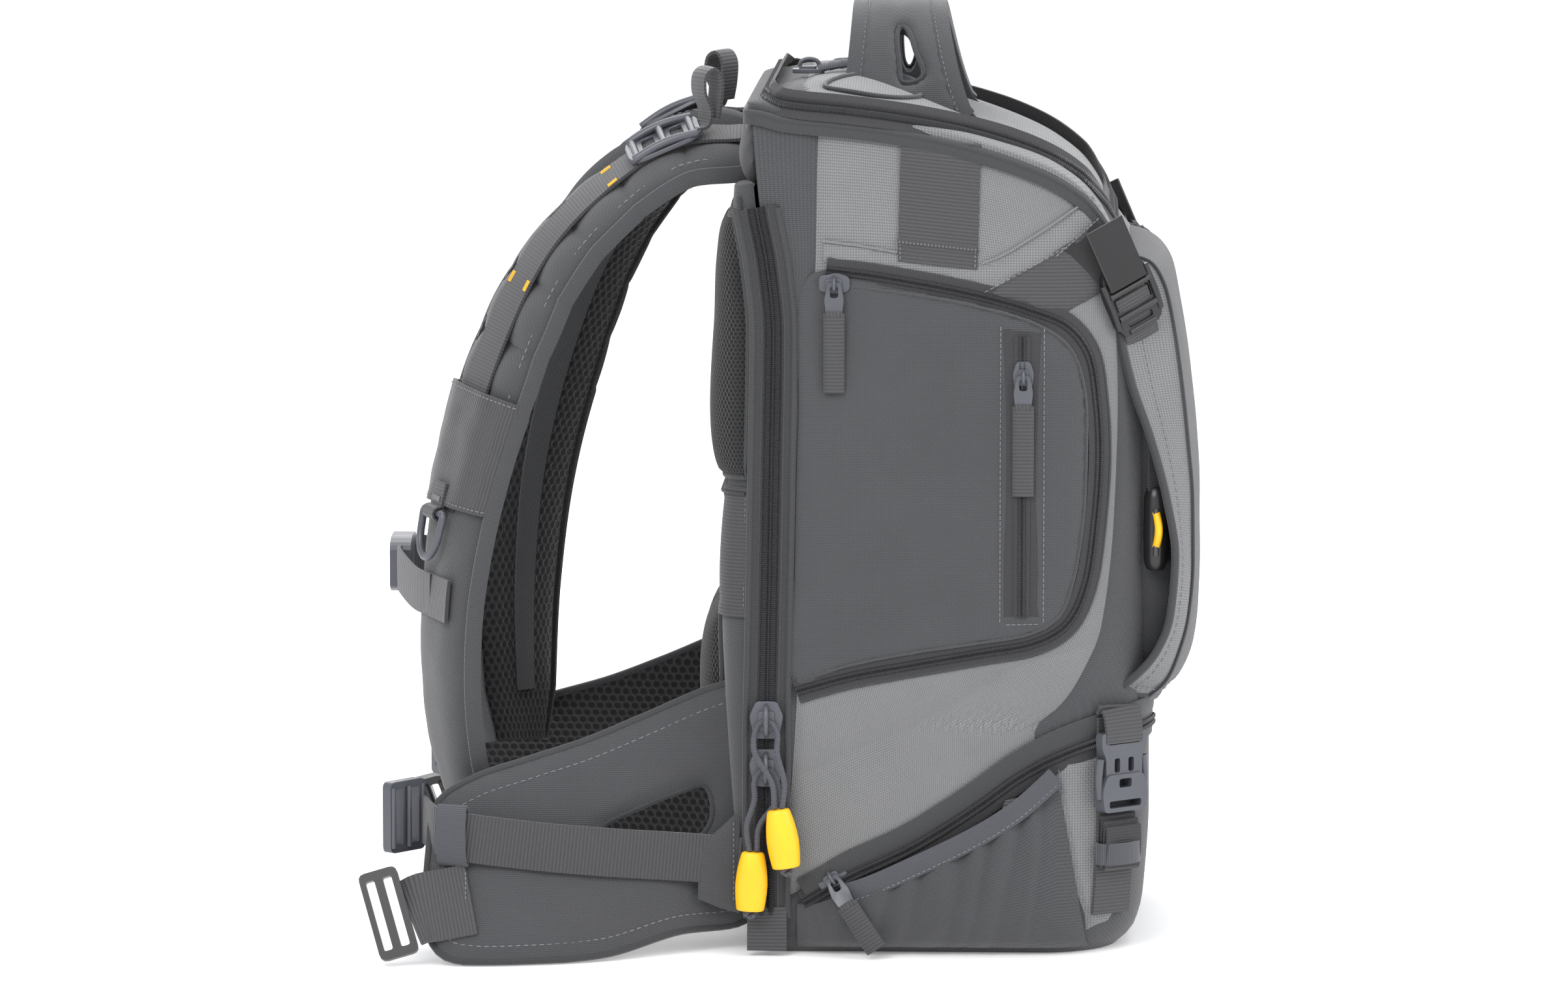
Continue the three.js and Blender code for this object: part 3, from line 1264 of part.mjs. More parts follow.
function sternumBuckle() {
  const { length, height, thickness } = STERNUM_BUCKLE;
  const half = length / 2;
  const line = [
    [-half, -height * 0.38], [-half * 0.5, -height * 0.5],
    [half * 0.5, -height * 0.5], [half, -height * 0.38],
    [half, height * 0.38], [half * 0.5, height * 0.5],
    [-half * 0.5, height * 0.5], [-half, height * 0.38],
  ];
  const body = prism(line, -thickness / 2, thickness / 2, 3, 2);
  body.rotateZ(Math.PI / 2);
  const slot = new THREE.BoxGeometry(40, 6, height * 0.5);
  slot.translate(0, -half * 0.62, 0);
  const second = slot.clone();
  second.translate(0, half * 1.24, 0);
  const buckle = cut(body, slot, second);
  buckle.translate(...sternumMiddle().toArray());
  return buckle;
}

// Ladder buckle at the strap's foot, upright, at the end of the lower strap
const LADDER_HEIGHT = 40;
const LADDER_LENGTH = 28;
const LADDER_THICKNESS = 8;

function ladderSeat(side) {
  const foot = STRAP_ROWS[STRAP_ROWS.length - 1];
  const x = BAG_REAR - STRAP_REACH * foot.reach - 33 + (side === RIGHT ? foot.farDrift * 0.3 : 0);
  const z = up(foot.height) - 9;
  const distance = wingSurface(x + 30, z, -1);
  const inward = new THREE.Vector3(0.62, side * -0.78, 0).normalize();
  return { point: new THREE.Vector3(x, side * distance, z), inward };
}

function ladderBlock(side) {
  const seat = ladderSeat(side);
  return orientedBox(seat.point, seat.inward, new THREE.Vector3(0, 0, 1), ladderFace(seat),
    [LADDER_LENGTH + 2 * GAP, LADDER_HEIGHT + 2 * GAP, LADDER_THICKNESS + 2 * GAP]);
}

const ladderFace = (seat) => new THREE.Vector3().crossVectors(seat.inward, new THREE.Vector3(0, 0, 1));

function ladderBuckle(side) {
  const seat = ladderSeat(side);
  const upward = new THREE.Vector3(0, 0, 1);
  const face = ladderFace(seat);
  const box = (a, sizes) => orientedBox(
    seat.point.clone().addScaledVector(seat.inward, a), seat.inward, upward, face, sizes);
  const body = box(0, [LADDER_LENGTH, LADDER_HEIGHT, LADDER_THICKNESS]);
  return cut(body,
    box(-LADDER_LENGTH * 0.24, [6, LADDER_HEIGHT - 9, 40]),
    box(LADDER_LENGTH * 0.2, [7, LADDER_HEIGHT - 9, 40]));
}

// Hip belt wing: where it lies, by depth behind the bag as a share of WING_REACH, with its distance from
// the middle plane as a share of HALF_WIDTH and its outward lean
const WING_MIDDLE = 75;
const WING_ROWS = [
  { reach: 0.0, distance: 0.84, lean: 0.03 },
  { reach: 0.12, distance: 0.85, lean: 0.06 },
  { reach: 0.3, distance: 0.92, lean: 0.25 },
  { reach: 0.57, distance: 0.99, lean: 0.42 },
  { reach: 0.83, distance: 1.02, lean: 0.5 },
  { reach: 1.1, distance: 1.02, lean: 0.52 },
];

// Distance of the wing's outer (1), middle (0) or inner (-1) face from the middle plane
function wingSurface(x, z, face) {
  const share = (BAG_REAR - x) / WING_REACH;
  const lean = lookUp(WING_ROWS, 'reach', share, 'lean');
  return HALF_WIDTH * lookUp(WING_ROWS, 'reach', share, 'distance')
    + lean * (WING_MIDDLE - z) + face * WING_THICKNESS / 2;
}

// Outlines of the wing and of its fork, as depth behind the bag as a share of WING_REACH and height
const WING_OUTLINE = [
  { reach: 0.05, height: 20 },
  { reach: 0.28, height: 13 },
  { reach: 0.45, height: 4 },
  { reach: 0.58, height: 2.2 },
  { reach: 0.72, height: 1.4 },
  { reach: 0.84, height: 1.4 },
  { reach: 0.94, height: 5 },
  { reach: 0.985, height: 18 },
  { reach: 0.99, height: 60 },
  { reach: 0.97, height: 84 },
  { reach: 0.87, height: 97 },
  { reach: 0.71, height: 107 },
  { reach: 0.54, height: 117 },
  { reach: 0.37, height: 130 },
  { reach: 0.14, height: 148 },
  { reach: 0.05, height: 150 },
];
const FORK_OUTLINE = [
  { reach: 0.49, height: 71 },
  { reach: 0.25, height: 62 },
  { reach: 0.19, height: 66 },
  { reach: 0.17, height: 78 },
  { reach: 0.19, height: 93 },
  { reach: 0.33, height: 86 },
];

const wingPoints = (outline) => outline.map((row) => [BAG_REAR - WING_REACH * row.reach, row.height]);

// The wing's plate before it is cut to its outline, thickened by an amount on each face
function wingPlate(grow) {
  const point = (u, v, face) => {
    const x = BAG_REAR + 4 - u * (WING_REACH + 12);
    const z = v * (WING_MIDDLE * 2 + 10) - 2;
    return new THREE.Vector3(x, -wingSurface(x, z, face * (1 + 2 * grow / WING_THICKNESS)), z);
  };
  return slab(9, 3, (u, v) => point(u, v, 1), (u, v) => point(u, v, -1));
}

const hipBeltPlate = (side) => onSide(side, wingPlate(GAP));

function hipBelt(side) {
  const outline = prism(wingPoints(WING_OUTLINE), -BAG_WIDTH, 0);
  const fork = prism(wingPoints(FORK_OUTLINE), -BAG_WIDTH, 0, 6, 2);
  const wing = cut(common(wingPlate(0), outline), fork, panelSolid(GAP + 0.2), bagSolid(GAP + 4, 'open'));
  return onSide(side, largest(wing));
}

// Lower strap: webbing from the bag's rear edge, outside the wing, to the ladder buckle
const LOWER_WEBBING_WIDTH = 27;

function lowerStrap(side) {
  const seat = ladderSeat(side);
  const rootHeight = up(0.11);
  const root = sectionAt(rootHeight);
  const line = [
    [root.rear - 14, rootHeight + 1, 0], [root.rear - 36, rootHeight + 3, 1],
    [root.rear - 95, rootHeight + 9, 1], [root.rear - 140, rootHeight + 14, 1],
    [root.rear - 178, seat.point.z - 6, 1],
  ].map(([x, z, free]) => {
    const clear = free ? wingSurface(x, z - LOWER_WEBBING_WIDTH / 2, 1) + 2.6 : 0;
    return new THREE.Vector3(x, side * Math.max(root.half + 1.6, clear), z);
  });
  const end = seat.point.clone().addScaledVector(seat.inward, LADDER_LENGTH / 2 + GAP);
  end.z = seat.point.z - 3;
  const band = webbingBetween([...line, end], LOWER_WEBBING_WIDTH, WEBBING_THICKNESS,
    new THREE.Vector3(0, 0, 1), 16);
  const tab = prism([
    [root.rear - 15, rootHeight + 30], [root.rear - 15, rootHeight - 28],
    [root.rear - 38, rootHeight - 20], [root.rear - 38, rootHeight + 8],
  ], -root.half - 3.4, -root.half - 0.9);
  return largest(cut(join(band, onSide(side, tab)), onSide(side, panelSolid(GAP)), ladderBlock(side),
    hipBeltPlate(side)));
}

// Belt webbing on the wing's tip and the buckle frame that it runs through
const BELT_BUCKLE = { height: 50, width: 22, thickness: 8 };

function beltSeat(side) {
  const x = BAG_REAR - WING_REACH * 1.1;
  const z = 28;
  return new THREE.Vector3(x, side * (wingSurface(x + 20, z, 1) + 1), z);
}

function beltWebbing(side) {
  const seat = beltSeat(side);
  const startX = BAG_REAR - WING_REACH * 0.86;
  const row = (x, z, extra) => new THREE.Vector3(x, side * (wingSurface(x, z, 1) + 2 + extra), z);
  const line = [row(startX, 36, 0.6), row(startX - 14, 33.5, 0.6), row(startX - 28, 31, 0.4)];
  const end = seat.clone().add(new THREE.Vector3(BELT_BUCKLE.width / 2 + GAP, 0, 0));
  const lean = new THREE.Vector3(0.18, side * -0.42, 0.9);
  const band = webbingBetween([...line, end], BELT_WEBBING_WIDTH, 2.4, lean, 7);
  return largest(cut(band, beltBlock(side, GAP), hipBeltPlate(side)));
}

function beltDirections(side) {
  const upward = new THREE.Vector3(-0.29, side * -0.3, 0.92).normalize();
  const forward = new THREE.Vector3(-1, 0, 0).addScaledVector(upward, upward.x).normalize();
  return { upward, forward, face: new THREE.Vector3().crossVectors(forward, upward) };
}

function beltBlock(side, grow) {
  const { upward, forward, face } = beltDirections(side);
  return orientedBox(beltSeat(side), forward, upward, face, [BELT_BUCKLE.width + 2 * grow,
    BELT_BUCKLE.height + 2 * grow, BELT_BUCKLE.thickness + 2 * grow]);
}

function beltBuckle(side) {
  const { upward, forward, face } = beltDirections(side);
  const slot = (a) => orientedBox(beltSeat(side).addScaledVector(forward, a), forward, upward, face,
    [5, BELT_BUCKLE.height - 9, 40]);
  return cut(beltBlock(side, 0), slot(-BELT_BUCKLE.width * 0.2), slot(BELT_BUCKLE.width * 0.24));
}

// Base strap on the front corner: webbing, side-release buckle and the rolled end
const BASE_STRAP_ANGLE = 50;
const BASE_STRAP_TOP = up(0.288);
const BASE_STRAP_FOOT = up(0.05);

function baseStrap(side) {
  const steps = 8;
  const stations = [];
  for (let i = 0; i <= steps; i += 1) {
    const z = BASE_STRAP_FOOT + (i / steps) * (BASE_STRAP_TOP - BASE_STRAP_FOOT);
    const frame = cornerFrame(side, BASE_STRAP_ANGLE, z, 0);
    stations.push({ ...frame, across: frame.across });
  }
  const band = sweep(stations, () => [
    [-WEBBING_WIDTH / 2, GAP + 2.2], [0, GAP + 0.9], [WEBBING_WIDTH / 2, GAP + 2.2],
    [WEBBING_WIDTH / 2, GAP + 4], [0, GAP + 2.9], [-WEBBING_WIDTH / 2, GAP + 4],
  ].map(([a, n]) => [a, n - 1.6]));
  const roll = cornerFrame(side, BASE_STRAP_ANGLE, up(0.137), 8);
  const rolled = orientedBox(roll.point, roll.across, new THREE.Vector3(0, 0, 1), roll.normal,
    [WEBBING_WIDTH, 26, 10]);
  return largest(cut(join(band, rolled), bagSolid(GAP, 'open')));
}

function baseBuckle(side) {
  const frame = cornerFrame(side, BASE_STRAP_ANGLE, up(0.22), 7.6);
  const upward = new THREE.Vector3(0, 0, 1);
  const box = (z, sizes) => orientedBox(
    frame.point.clone().addScaledVector(upward, z), frame.across, upward, frame.normal, sizes);
  const body = box(0, [33, 45, 9]);
  const neck = (shift) => orientedBox(
    frame.point.clone().addScaledVector(frame.across, shift * 17), frame.across, upward,
    frame.normal, [7, 12, 30]);
  return cut(body, neck(1), neck(-1), box(17, [22, 4, 30]), box(-17, [22, 4, 30]));
}

// Pulls: a puller and its webbing tab, hanging from a slider's bail by the rim over its eye
const PULLER_LENGTH = 17;
const PULLER_THICKNESS = 2.4;

function sidePull(kind, side) {
  const seat = SIDE_SLIDERS[kind];
  const rim = PULL_RIM / 2;
  const half = PULL_WIDTH / 2;
  const tab = prism([
    [-half, -seat.length], [half, -seat.length], [half, 1 - PULLER_LENGTH], [-half, 1 - PULLER_LENGTH],
  ], -PULL_THICKNESS / 2, PULL_THICKNESS / 2);
  const puller = prism([
    [-half * 0.7, -PULLER_LENGTH], [half * 0.7, -PULLER_LENGTH], [half * 0.85, -PULLER_LENGTH / 2],
    [half * 0.52, rim], [-half * 0.52, rim], [-half * 0.85, -PULLER_LENGTH / 2],
  ], -PULLER_THICKNESS / 2, PULLER_THICKNESS / 2, 1.5, 1);
  const eye = new THREE.BoxGeometry(BAIL_WIDTH + 1.6, 3 * PULLER_THICKNESS, PULL_EYE);
  eye.translate(0, 0, -rim - PULL_EYE / 2);
  const pull = join(tab, cut(puller, eye));
  const position = pull.attributes.position;
  for (let i = 0; i < position.count; i += 1) {
    const share = THREE.MathUtils.clamp((-position.getZ(i) - rim) / (PULLER_LENGTH - rim - 1), 0, 1);
    position.setY(i, position.getY(i) - seat.lean * share);
  }
  pull.rotateY(THREE.MathUtils.degToRad(-seat.tilt));
  const lift = SLIDER_HEIGHT + BAIL_ROOM / 2;
  pull.translate(seat.x, -sideAt(seat.x, seat.z, seat.proud) - lift, seat.z);
  return onSide(side, pull);
}

// The lid's pull, lying on the crown
const LID_SLIDER = { depth: 0.12, y: -34 };
const LID_PULL_LENGTH = 54;

function lidHeight(x, y) {
  const half = sideAt(x, Math.min(seamHeight(x), up(1)));
  const reach = Math.min(1, Math.abs(y) / half);
  return seamHeight(x) + LID_EDGE + crownRise(x) * Math.sqrt(Math.max(0, 1 - reach ** 2));
}

function lidPull() {
  const x = along(LID_SLIDER.depth);
  const points = [0, 0.35, 0.7, 1].map((share) => {
    const px = x + share * LID_PULL_LENGTH;
    const py = LID_SLIDER.y - 12 * share;
    return new THREE.Vector3(px, py, lidHeight(px, py) + 3.4 + 0.6 * Math.sin(Math.PI * share));
  });
  return cut(webbingBetween(points, 9, PULL_THICKNESS, new THREE.Vector3(0, 1, 0), 8), lidBlock());
}

const group = new THREE.Group();
function add(name, geometry, finish) {
  const mesh = new THREE.Mesh(geometry, FINISH[finish]);
  mesh.name = name;
  group.add(mesh);
}

add('body_shell', bodyShell(), 'grey_weave');
add('back_panel', cut(panelSolid(0), bagSolid(GAP, 'open')), 'charcoal');
add('top_lid', topLid(), 'grey_weave');
add('front_pocket', frontPocket(), 'charcoal');
add('front_flap', frontFlap(), 'grey_weave');
add('handle', handle(), 'grey_weave');
add('lumbar_pad', lumbarPad(), 'mesh');
add('trolley_band', trolleyBand(), 'webbing');
add('lid_pull', lidPull(), 'webbing');
add('sternum_buckle', sternumBuckle(), 'plastic');

for (const [side, word] of [[LEFT, 'left'], [RIGHT, 'right']]) {
  add(`side_door_${word}`, sideDoor(side), 'charcoal');
  add(`side_pocket_${word}`, stretchPocket(side), 'charcoal');
  add(`side_tab_${word}`, sideTab(side), 'webbing');
  add(`flap_strap_${word}`, flapStrap(side), 'webbing');
  add(`flap_buckle_${word}`, flapBuckle(side), 'black_plastic');
  add(`base_strap_${word}`, baseStrap(side), 'webbing');
  add(`base_buckle_${word}`, baseBuckle(side), 'plastic');
  add(`main_zip_${word}`, mainZip(side, side === LEFT), 'charcoal');
  add(`back_pad_${word}`, panelPad(side, PAD_START, PAD_START + PAD_WIDTH, PAD_LOW, PAD_HIGH,
    PAD_THICKNESS, PAD_EDGE, 8, 5), 'mesh');
  add(`shoulder_strap_${word}`, shoulderStrap(side), 'charcoal');
  add(`strap_webbing_${word}`, strapWebbing(side), 'webbing');
  const keeper = ringKeeper(side);
  add(`strap_sleeve_${word}`, cut(join(strapSleeve(side), keeper.solid), keeper.hole), 'webbing');
  add(`d_ring_${word}`, dRing(side), 'plastic');
  add(`lifter_buckle_${word}`, lifterBuckle(side), 'plastic');
  add(`sternum_strap_${word}`, sternumStrap(side), 'webbing');
  add(`hip_belt_${word}`, hipBelt(side), 'charcoal');
  add(`lower_strap_${word}`, lowerStrap(side), 'webbing');
  add(`ladder_buckle_${word}`, ladderBuckle(side), 'plastic');
  add(`belt_webbing_${word}`, beltWebbing(side), 'webbing');
  add(`belt_buckle_${word}`, beltBuckle(side), 'black_plastic');
  for (const kind of ['door', 'pocket', 'base']) {
    add(`${kind}_pull_${word}`, sidePull(kind, side), 'webbing');
  }
}

for (const row of CORD_LOOPS) {
  add(`pull_cord_${row.name}`, pullCord(row), 'charcoal');
  add(`toggle_${row.name}`, toggle(row), 'yellow');
}

export default group;
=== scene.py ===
# Camera backpack standing on its base. Everything below is worked in millimetres and built in metres.
import math

import bpy
import numpy as np
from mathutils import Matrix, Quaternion, Vector, noise
from mathutils.bvhtree import BVHTree
from mathutils.geometry import delaunay_2d_cdt


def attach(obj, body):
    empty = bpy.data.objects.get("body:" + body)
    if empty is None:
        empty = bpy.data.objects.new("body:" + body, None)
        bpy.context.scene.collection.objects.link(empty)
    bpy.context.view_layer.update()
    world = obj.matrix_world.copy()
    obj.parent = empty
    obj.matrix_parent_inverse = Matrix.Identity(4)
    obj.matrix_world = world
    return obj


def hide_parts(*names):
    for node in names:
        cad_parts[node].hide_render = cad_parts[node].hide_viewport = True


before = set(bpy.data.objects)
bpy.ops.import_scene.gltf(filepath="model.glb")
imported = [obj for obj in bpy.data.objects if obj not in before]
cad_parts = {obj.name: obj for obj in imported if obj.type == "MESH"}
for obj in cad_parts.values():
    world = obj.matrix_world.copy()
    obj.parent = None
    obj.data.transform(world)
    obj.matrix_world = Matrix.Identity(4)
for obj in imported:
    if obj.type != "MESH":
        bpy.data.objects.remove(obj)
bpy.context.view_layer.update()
ROOT = "bag"
MM = 0.001

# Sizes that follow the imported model
BAG_HEIGHT = 471.0
BAG_DEPTH = 209.0
HALF_WIDTH = 139.0
BAG_REAR = -92.0
CORNER = 58.0
PANEL_TOP = 428.0
LID_RISE = 20.0
LID_EDGE = 6.0
GAP = 0.3
SHARP_DEGREES = 50
BEVEL_DEGREES = 35
NEAR_WAY = Vector((0, -1, 0))
TOP_WAY = Vector((0, 0, 1))
FRONT_WAY = Vector((1, 0, 0))


def along(share):
    return BAG_REAR + share * BAG_DEPTH


def up(share):
    return share * BAG_HEIGHT


def read(table, key):
    """The columns of a table at a key, in smooth steps between its rows."""
    rows = len(table)
    if key <= table[0][0]:
        return table[0][1:]
    if key >= table[-1][0]:
        return table[-1][1:]
    i = next(k for k in range(rows - 1) if key <= table[k + 1][0])
    before, low, high, after = (table[max(i - 1, 0)], table[i], table[i + 1], table[min(i + 2, rows - 1)])
    span = high[0] - low[0]
    t = (key - low[0]) / span
    out = []
    for c in range(1, len(low)):
        chord = (high[c] - low[c]) / span
        slopes = []
        for a, b in ((before, low), (high, after)):
            other = (b[c] - a[c]) / (b[0] - a[0]) if b[0] > a[0] else chord
            slopes.append(0 if other * chord <= 0 else 2 * other * chord / (other + chord))
        h00 = (1 + 2 * t) * (1 - t) ** 2
        h10 = t * (1 - t) ** 2
        h01 = t * t * (3 - 2 * t)
        h11 = t * t * (t - 1)
        out.append(h00 * low[c] + h10 * span * slopes[0] + h01 * high[c] + h11 * span * slopes[1])
    return out


# Plan sections of the bag: height, rear, front, half width, front corner, as shares
SECTIONS = [
    (0.0, 0.03, 0.93, 0.9, 0.75), (0.02, 0.005, 0.975, 0.955, 0.86), (0.06, -0.005, 1.0, 0.985, 0.95),
    (0.17, -0.005, 1.015, 1.0, 1.0), (0.28, -0.004, 1.015, 1.0, 1.0), (0.36, 0.0, 1.0, 1.005, 1.0),
    (0.55, 0.008, 1.0, 1.01, 1.0), (0.74, 0.014, 1.0, 0.985, 1.0), (0.82, -0.004, 0.985, 0.96, 1.0),
    (0.89, -0.034, 0.96, 0.935, 1.05), (1.04, -0.062, 0.93, 0.91, 1.1),
]
LID_SEAM = [
    (-0.2, 1.0), (-0.03, 0.994), (0.04, 0.986), (0.2, 0.979), (0.38, 0.968), (0.55, 0.951), (0.72, 0.924),
    (0.82, 0.896), (0.876, 0.866), (0.91, 0.838), (1.1, 0.75),
]
LID_CROWN = [
    (-0.08, 0.25), (0.0, 0.6), (0.1, 0.95), (0.22, 1.0), (0.38, 0.72), (0.55, 0.42), (0.75, 0.34),
    (1.0, 0.34),
]


def section(z):
    rear, front, width, corner = read(SECTIONS, z / BAG_HEIGHT)
    return along(rear), along(front), HALF_WIDTH * width, CORNER * corner


def seam_height(x):
    return up(read(LID_SEAM, (x - BAG_REAR) / BAG_DEPTH)[0])


def crown_rise(x):
    return LID_RISE * read(LID_CROWN, (x - BAG_REAR) / BAG_DEPTH)[0]


def flat(x, z, off=0.0):
    """A point on the near side as it is seen at a depth and height, lifted off the cloth."""
    _, front, half, r = section(z)
    c = front - r
    if x <= c:
        return Vector((x, -half - off, z))
    a = math.asin(min((x - c) / r, 0.999))
    return Vector((c + (r + off) * math.sin(a), -(half - r + (r + off) * math.cos(a)), z))


def wrap(s, z, off=0.0):
    """A point round the bag: s is depth on the side, then goes on round the corner to the middle."""
    _, front, half, r = section(z)
    c = front - r
    if s <= c:
        return Vector((s, -half - off, z))
    a = (s - c) / r
    if a <= math.pi / 2:
        return Vector((c + (r + off) * math.sin(a), -(half - r + (r + off) * math.cos(a)), z))
    return Vector((front + off, -(half - r - (a - math.pi / 2) * r), z))


def wrap_end(z):
    _, front, half, r = section(z)
    return front - r + r * math.pi / 2 + half - r


def smooth_path(points, step, closed=False):
    """A centripetal curve through points, resampled at about a step."""
    pts = [Vector(p).to_3d() if len(p) == 2 else Vector(p) for p in points]
    if closed:
        padded = [pts[-1]] + pts + [pts[0], pts[1]]
    else:
        padded = [pts[0] * 2 - pts[1]] + pts + [pts[-1] * 2 - pts[-2]]
    fine = []
    for i in range(1, len(padded) - 2):
        p0, p1, p2, p3 = padded[i - 1:i + 3]
        t0 = 0.0
        t1 = t0 + max((p1 - p0).length, 1e-6) ** 0.5
        t2 = t1 + max((p2 - p1).length, 1e-6) ** 0.5
        t3 = t2 + max((p3 - p2).length, 1e-6) ** 0.5
        for k in range(16):
            t = t1 + (t2 - t1) * k / 16
            a1 = p0 * ((t1 - t) / (t1 - t0)) + p1 * ((t - t0) / (t1 - t0))
            a2 = p1 * ((t2 - t) / (t2 - t1)) + p2 * ((t - t1) / (t2 - t1))
            a3 = p2 * ((t3 - t) / (t3 - t2)) + p3 * ((t - t2) / (t3 - t2))
            b1 = a1 * ((t2 - t) / (t2 - t0)) + a2 * ((t - t0) / (t2 - t0))
            b2 = a2 * ((t3 - t) / (t3 - t1)) + a3 * ((t - t1) / (t3 - t1))
            fine.append(b1 * ((t2 - t) / (t2 - t1)) + b2 * ((t - t1) / (t2 - t1)))
    fine.append(pts[0].copy() if closed else pts[-1].copy())
    return resample(fine, step, closed)


def resample(fine, step, closed=False):
    lengths = [0.0]
    for a, b in zip(fine, fine[1:]):
        lengths.append(lengths[-1] + (b - a).length)
    count = max(2, round(lengths[-1] / step))
    out = []
    j = 0
    for k in range(count if closed else count + 1):
        want = lengths[-1] * k / count
        while j < len(fine) - 2 and lengths[j + 1] < want:
            j += 1
        span = lengths[j + 1] - lengths[j]
        out.append(fine[j].lerp(fine[j + 1], (want - lengths[j]) / span if span > 0 else 0))
    return out


def directions(points):
    """The way that a path runs at each of its points."""
    last = len(points) - 1
    return [(points[min(last, i + 1)] - points[max(0, i - 1)]).normalized() for i in range(last + 1)]


def circle(count):
    """Cosine and sine of evenly spaced turns."""
    turns = [2 * math.pi * k / count for k in range(count)]
    return [(math.cos(a), math.sin(a)) for a in turns]


# Geometry helpers. A shape is (vertices, faces, uvs of each face corner); all in millimetres.
def grid(nu, nv, fn, around=False, size=None):
    """A surface over shares u and v; around joins the last u to the first."""
    pts = [[fn(i / nu, j / nv) for i in range(nu + (0 if around else 1))] for j in range(nv + 1)]
    row = len(pts[0])
    mid = pts[nv // 2]
    us = [0.0]
    for i in range(nu):
        us.append(us[-1] + (mid[(i + 1) % row] - mid[i]).length)
    vs = [0.0]
    for j in range(nv):
        vs.append(vs[-1] + (pts[j + 1][row // 2] - pts[j][row // 2]).length)
    if size:
        us = [size[0] * i / nu for i in range(nu + 1)]
        vs = [size[1] * j / nv for j in range(nv + 1)]
    faces = []
    uvs = []
    for j in range(nv):
        for i in range(nu):
            k = (i + 1) % row
            faces.append((j * row + i, j * row + k, (j + 1) * row + k, (j + 1) * row + i))
            uvs.append([(us[i], vs[j]), (us[i + 1], vs[j]), (us[i + 1], vs[j + 1]), (us[i], vs[j + 1])])
    return [p for r in pts for p in r], faces, uvs


def thick(nu, nv, outer, inner):
    """A closed sheet between two surfaces over the same shares."""
    a = grid(nu, nv, outer)
    b = grid(nu, nv, inner)
    n = len(a[0])
    row = nu + 1
    faces = a[1] + [tuple(reversed([v + n for v in f])) for f in b[1]]
    uvs = a[2] + [list(reversed(u)) for u in b[2]]
    edge = list(range(row)) + [(j + 1) * row - 1 for j in range(1, nv + 1)]
    edge += [nv * row + i for i in range(nu - 1, -1, -1)] + [j * row for j in range(nv - 1, 0, -1)]
    for p, q in zip(edge, edge[1:] + edge[:1]):
        faces.append((q, p, p + n, q + n))
        uvs.append([(0, 0), (4, 0), (4, 2), (0, 2)])
    return a[0] + b[0], faces, uvs


def reverse(shape):
    verts, faces, uvs = shape
    return verts, [tuple(reversed(f)) for f in faces], [list(reversed(t)) for t in uvs]


def frames(points, upward, closed=False):
    """Tangent, across and normal at each point of a path; the normals are given or one for all."""
    n = len(points)
    out = []
    for i, p in enumerate(points):
        a = points[(i - 1) % n] if closed or i > 0 else p
        b = points[(i + 1) % n] if closed or i < n - 1 else p
        t = (b - a).normalized()
        normal = upward[i] if isinstance(upward, list) else upward
        across = t.cross(normal).normalized()
        out.append((p, t, across, across.cross(t).normalized()))
    return out


def swept(points, upward, profile, closed=False, caps=True):
    """A band or bar along a path; profile(i, share) gives its (across, normal) corners in order."""
    fs = frames(points, upward, closed)
    n = len(fs)
    rings = []
    for i, (p, _, across, normal) in enumerate(fs):
        rings.append([p + across * a + normal * b for a, b in profile(i, i / max(1, n - 1))])
    m = len(rings[0])
    dist = [0.0]
    for i in range(n):
        dist.append(dist[-1] + (points[(i + 1) % n] - points[i]).length)
    girth = [0.0]
    for k in range(m):
        girth.append(girth[-1] + (rings[0][(k + 1) % m] - rings[0][k]).length)
    verts = [v for r in rings for v in r]
    faces = []
    uvs = []
    for i in range(n if closed else n - 1):
        j = (i + 1) % n
        for k in range(m):
            q = (k + 1) % m
            faces.append((i * m + k, j * m + k, j * m + q, i * m + q))
            uvs.append([(girth[k], dist[i]), (girth[k], dist[i + 1]),
                        (girth[k + 1], dist[i + 1]), (girth[k + 1], dist[i])])
    if caps and not closed:
        for start, turn in ((0, False), ((n - 1) * m, True)):
            ring = [start + k for k in range(m)]
            faces.append(tuple(reversed(ring)) if turn else tuple(ring))
            uvs.append([(0, 0)] * m)
    return verts, faces, uvs


def tube(points, radius, sides=8, closed=False):
    """A round bar; radius is a number or a function of the point's index."""
    upward = Vector((0.31, 0.17, 0.93)).normalized()
    t = (points[1] - points[0]).normalized()
    if abs(t.dot(upward)) > 0.9:
        upward = Vector((0.93, 0.31, 0.17)).normalized()
    ups = [upward]
    for a, b in zip(points, points[1:]):
        d = (b - a).normalized()
        last = ups[-1]
        turned = last - d * last.dot(d)
        ups.append(turned.normalized() if turned.length > 1e-4 else last)
    size = radius if callable(radius) else (lambda i: radius)
    ring = circle(sides)
    return swept(points, ups, lambda i, share: [(size(i) * c, size(i) * s) for c, s in ring], closed)


def band_profile(width, low, high, crown=0.0, steps=2):
    """Corners of a flat band: straight below, crowned on top."""
    top = [(width / 2 - width * k / steps, high + crown * (1 - (2 * k / steps - 1) ** 2))
           for k in range(steps + 1)]
    return [(-width / 2, low), (width / 2, low)] + top


def band(points, upward, width, thickness, lift=0.0, crown=0.0, closed=False):
    corners = band_profile(width, lift, lift + thickness, crown, 4 if crown else 1)
    return swept(points, upward, lambda i, share: corners, closed)


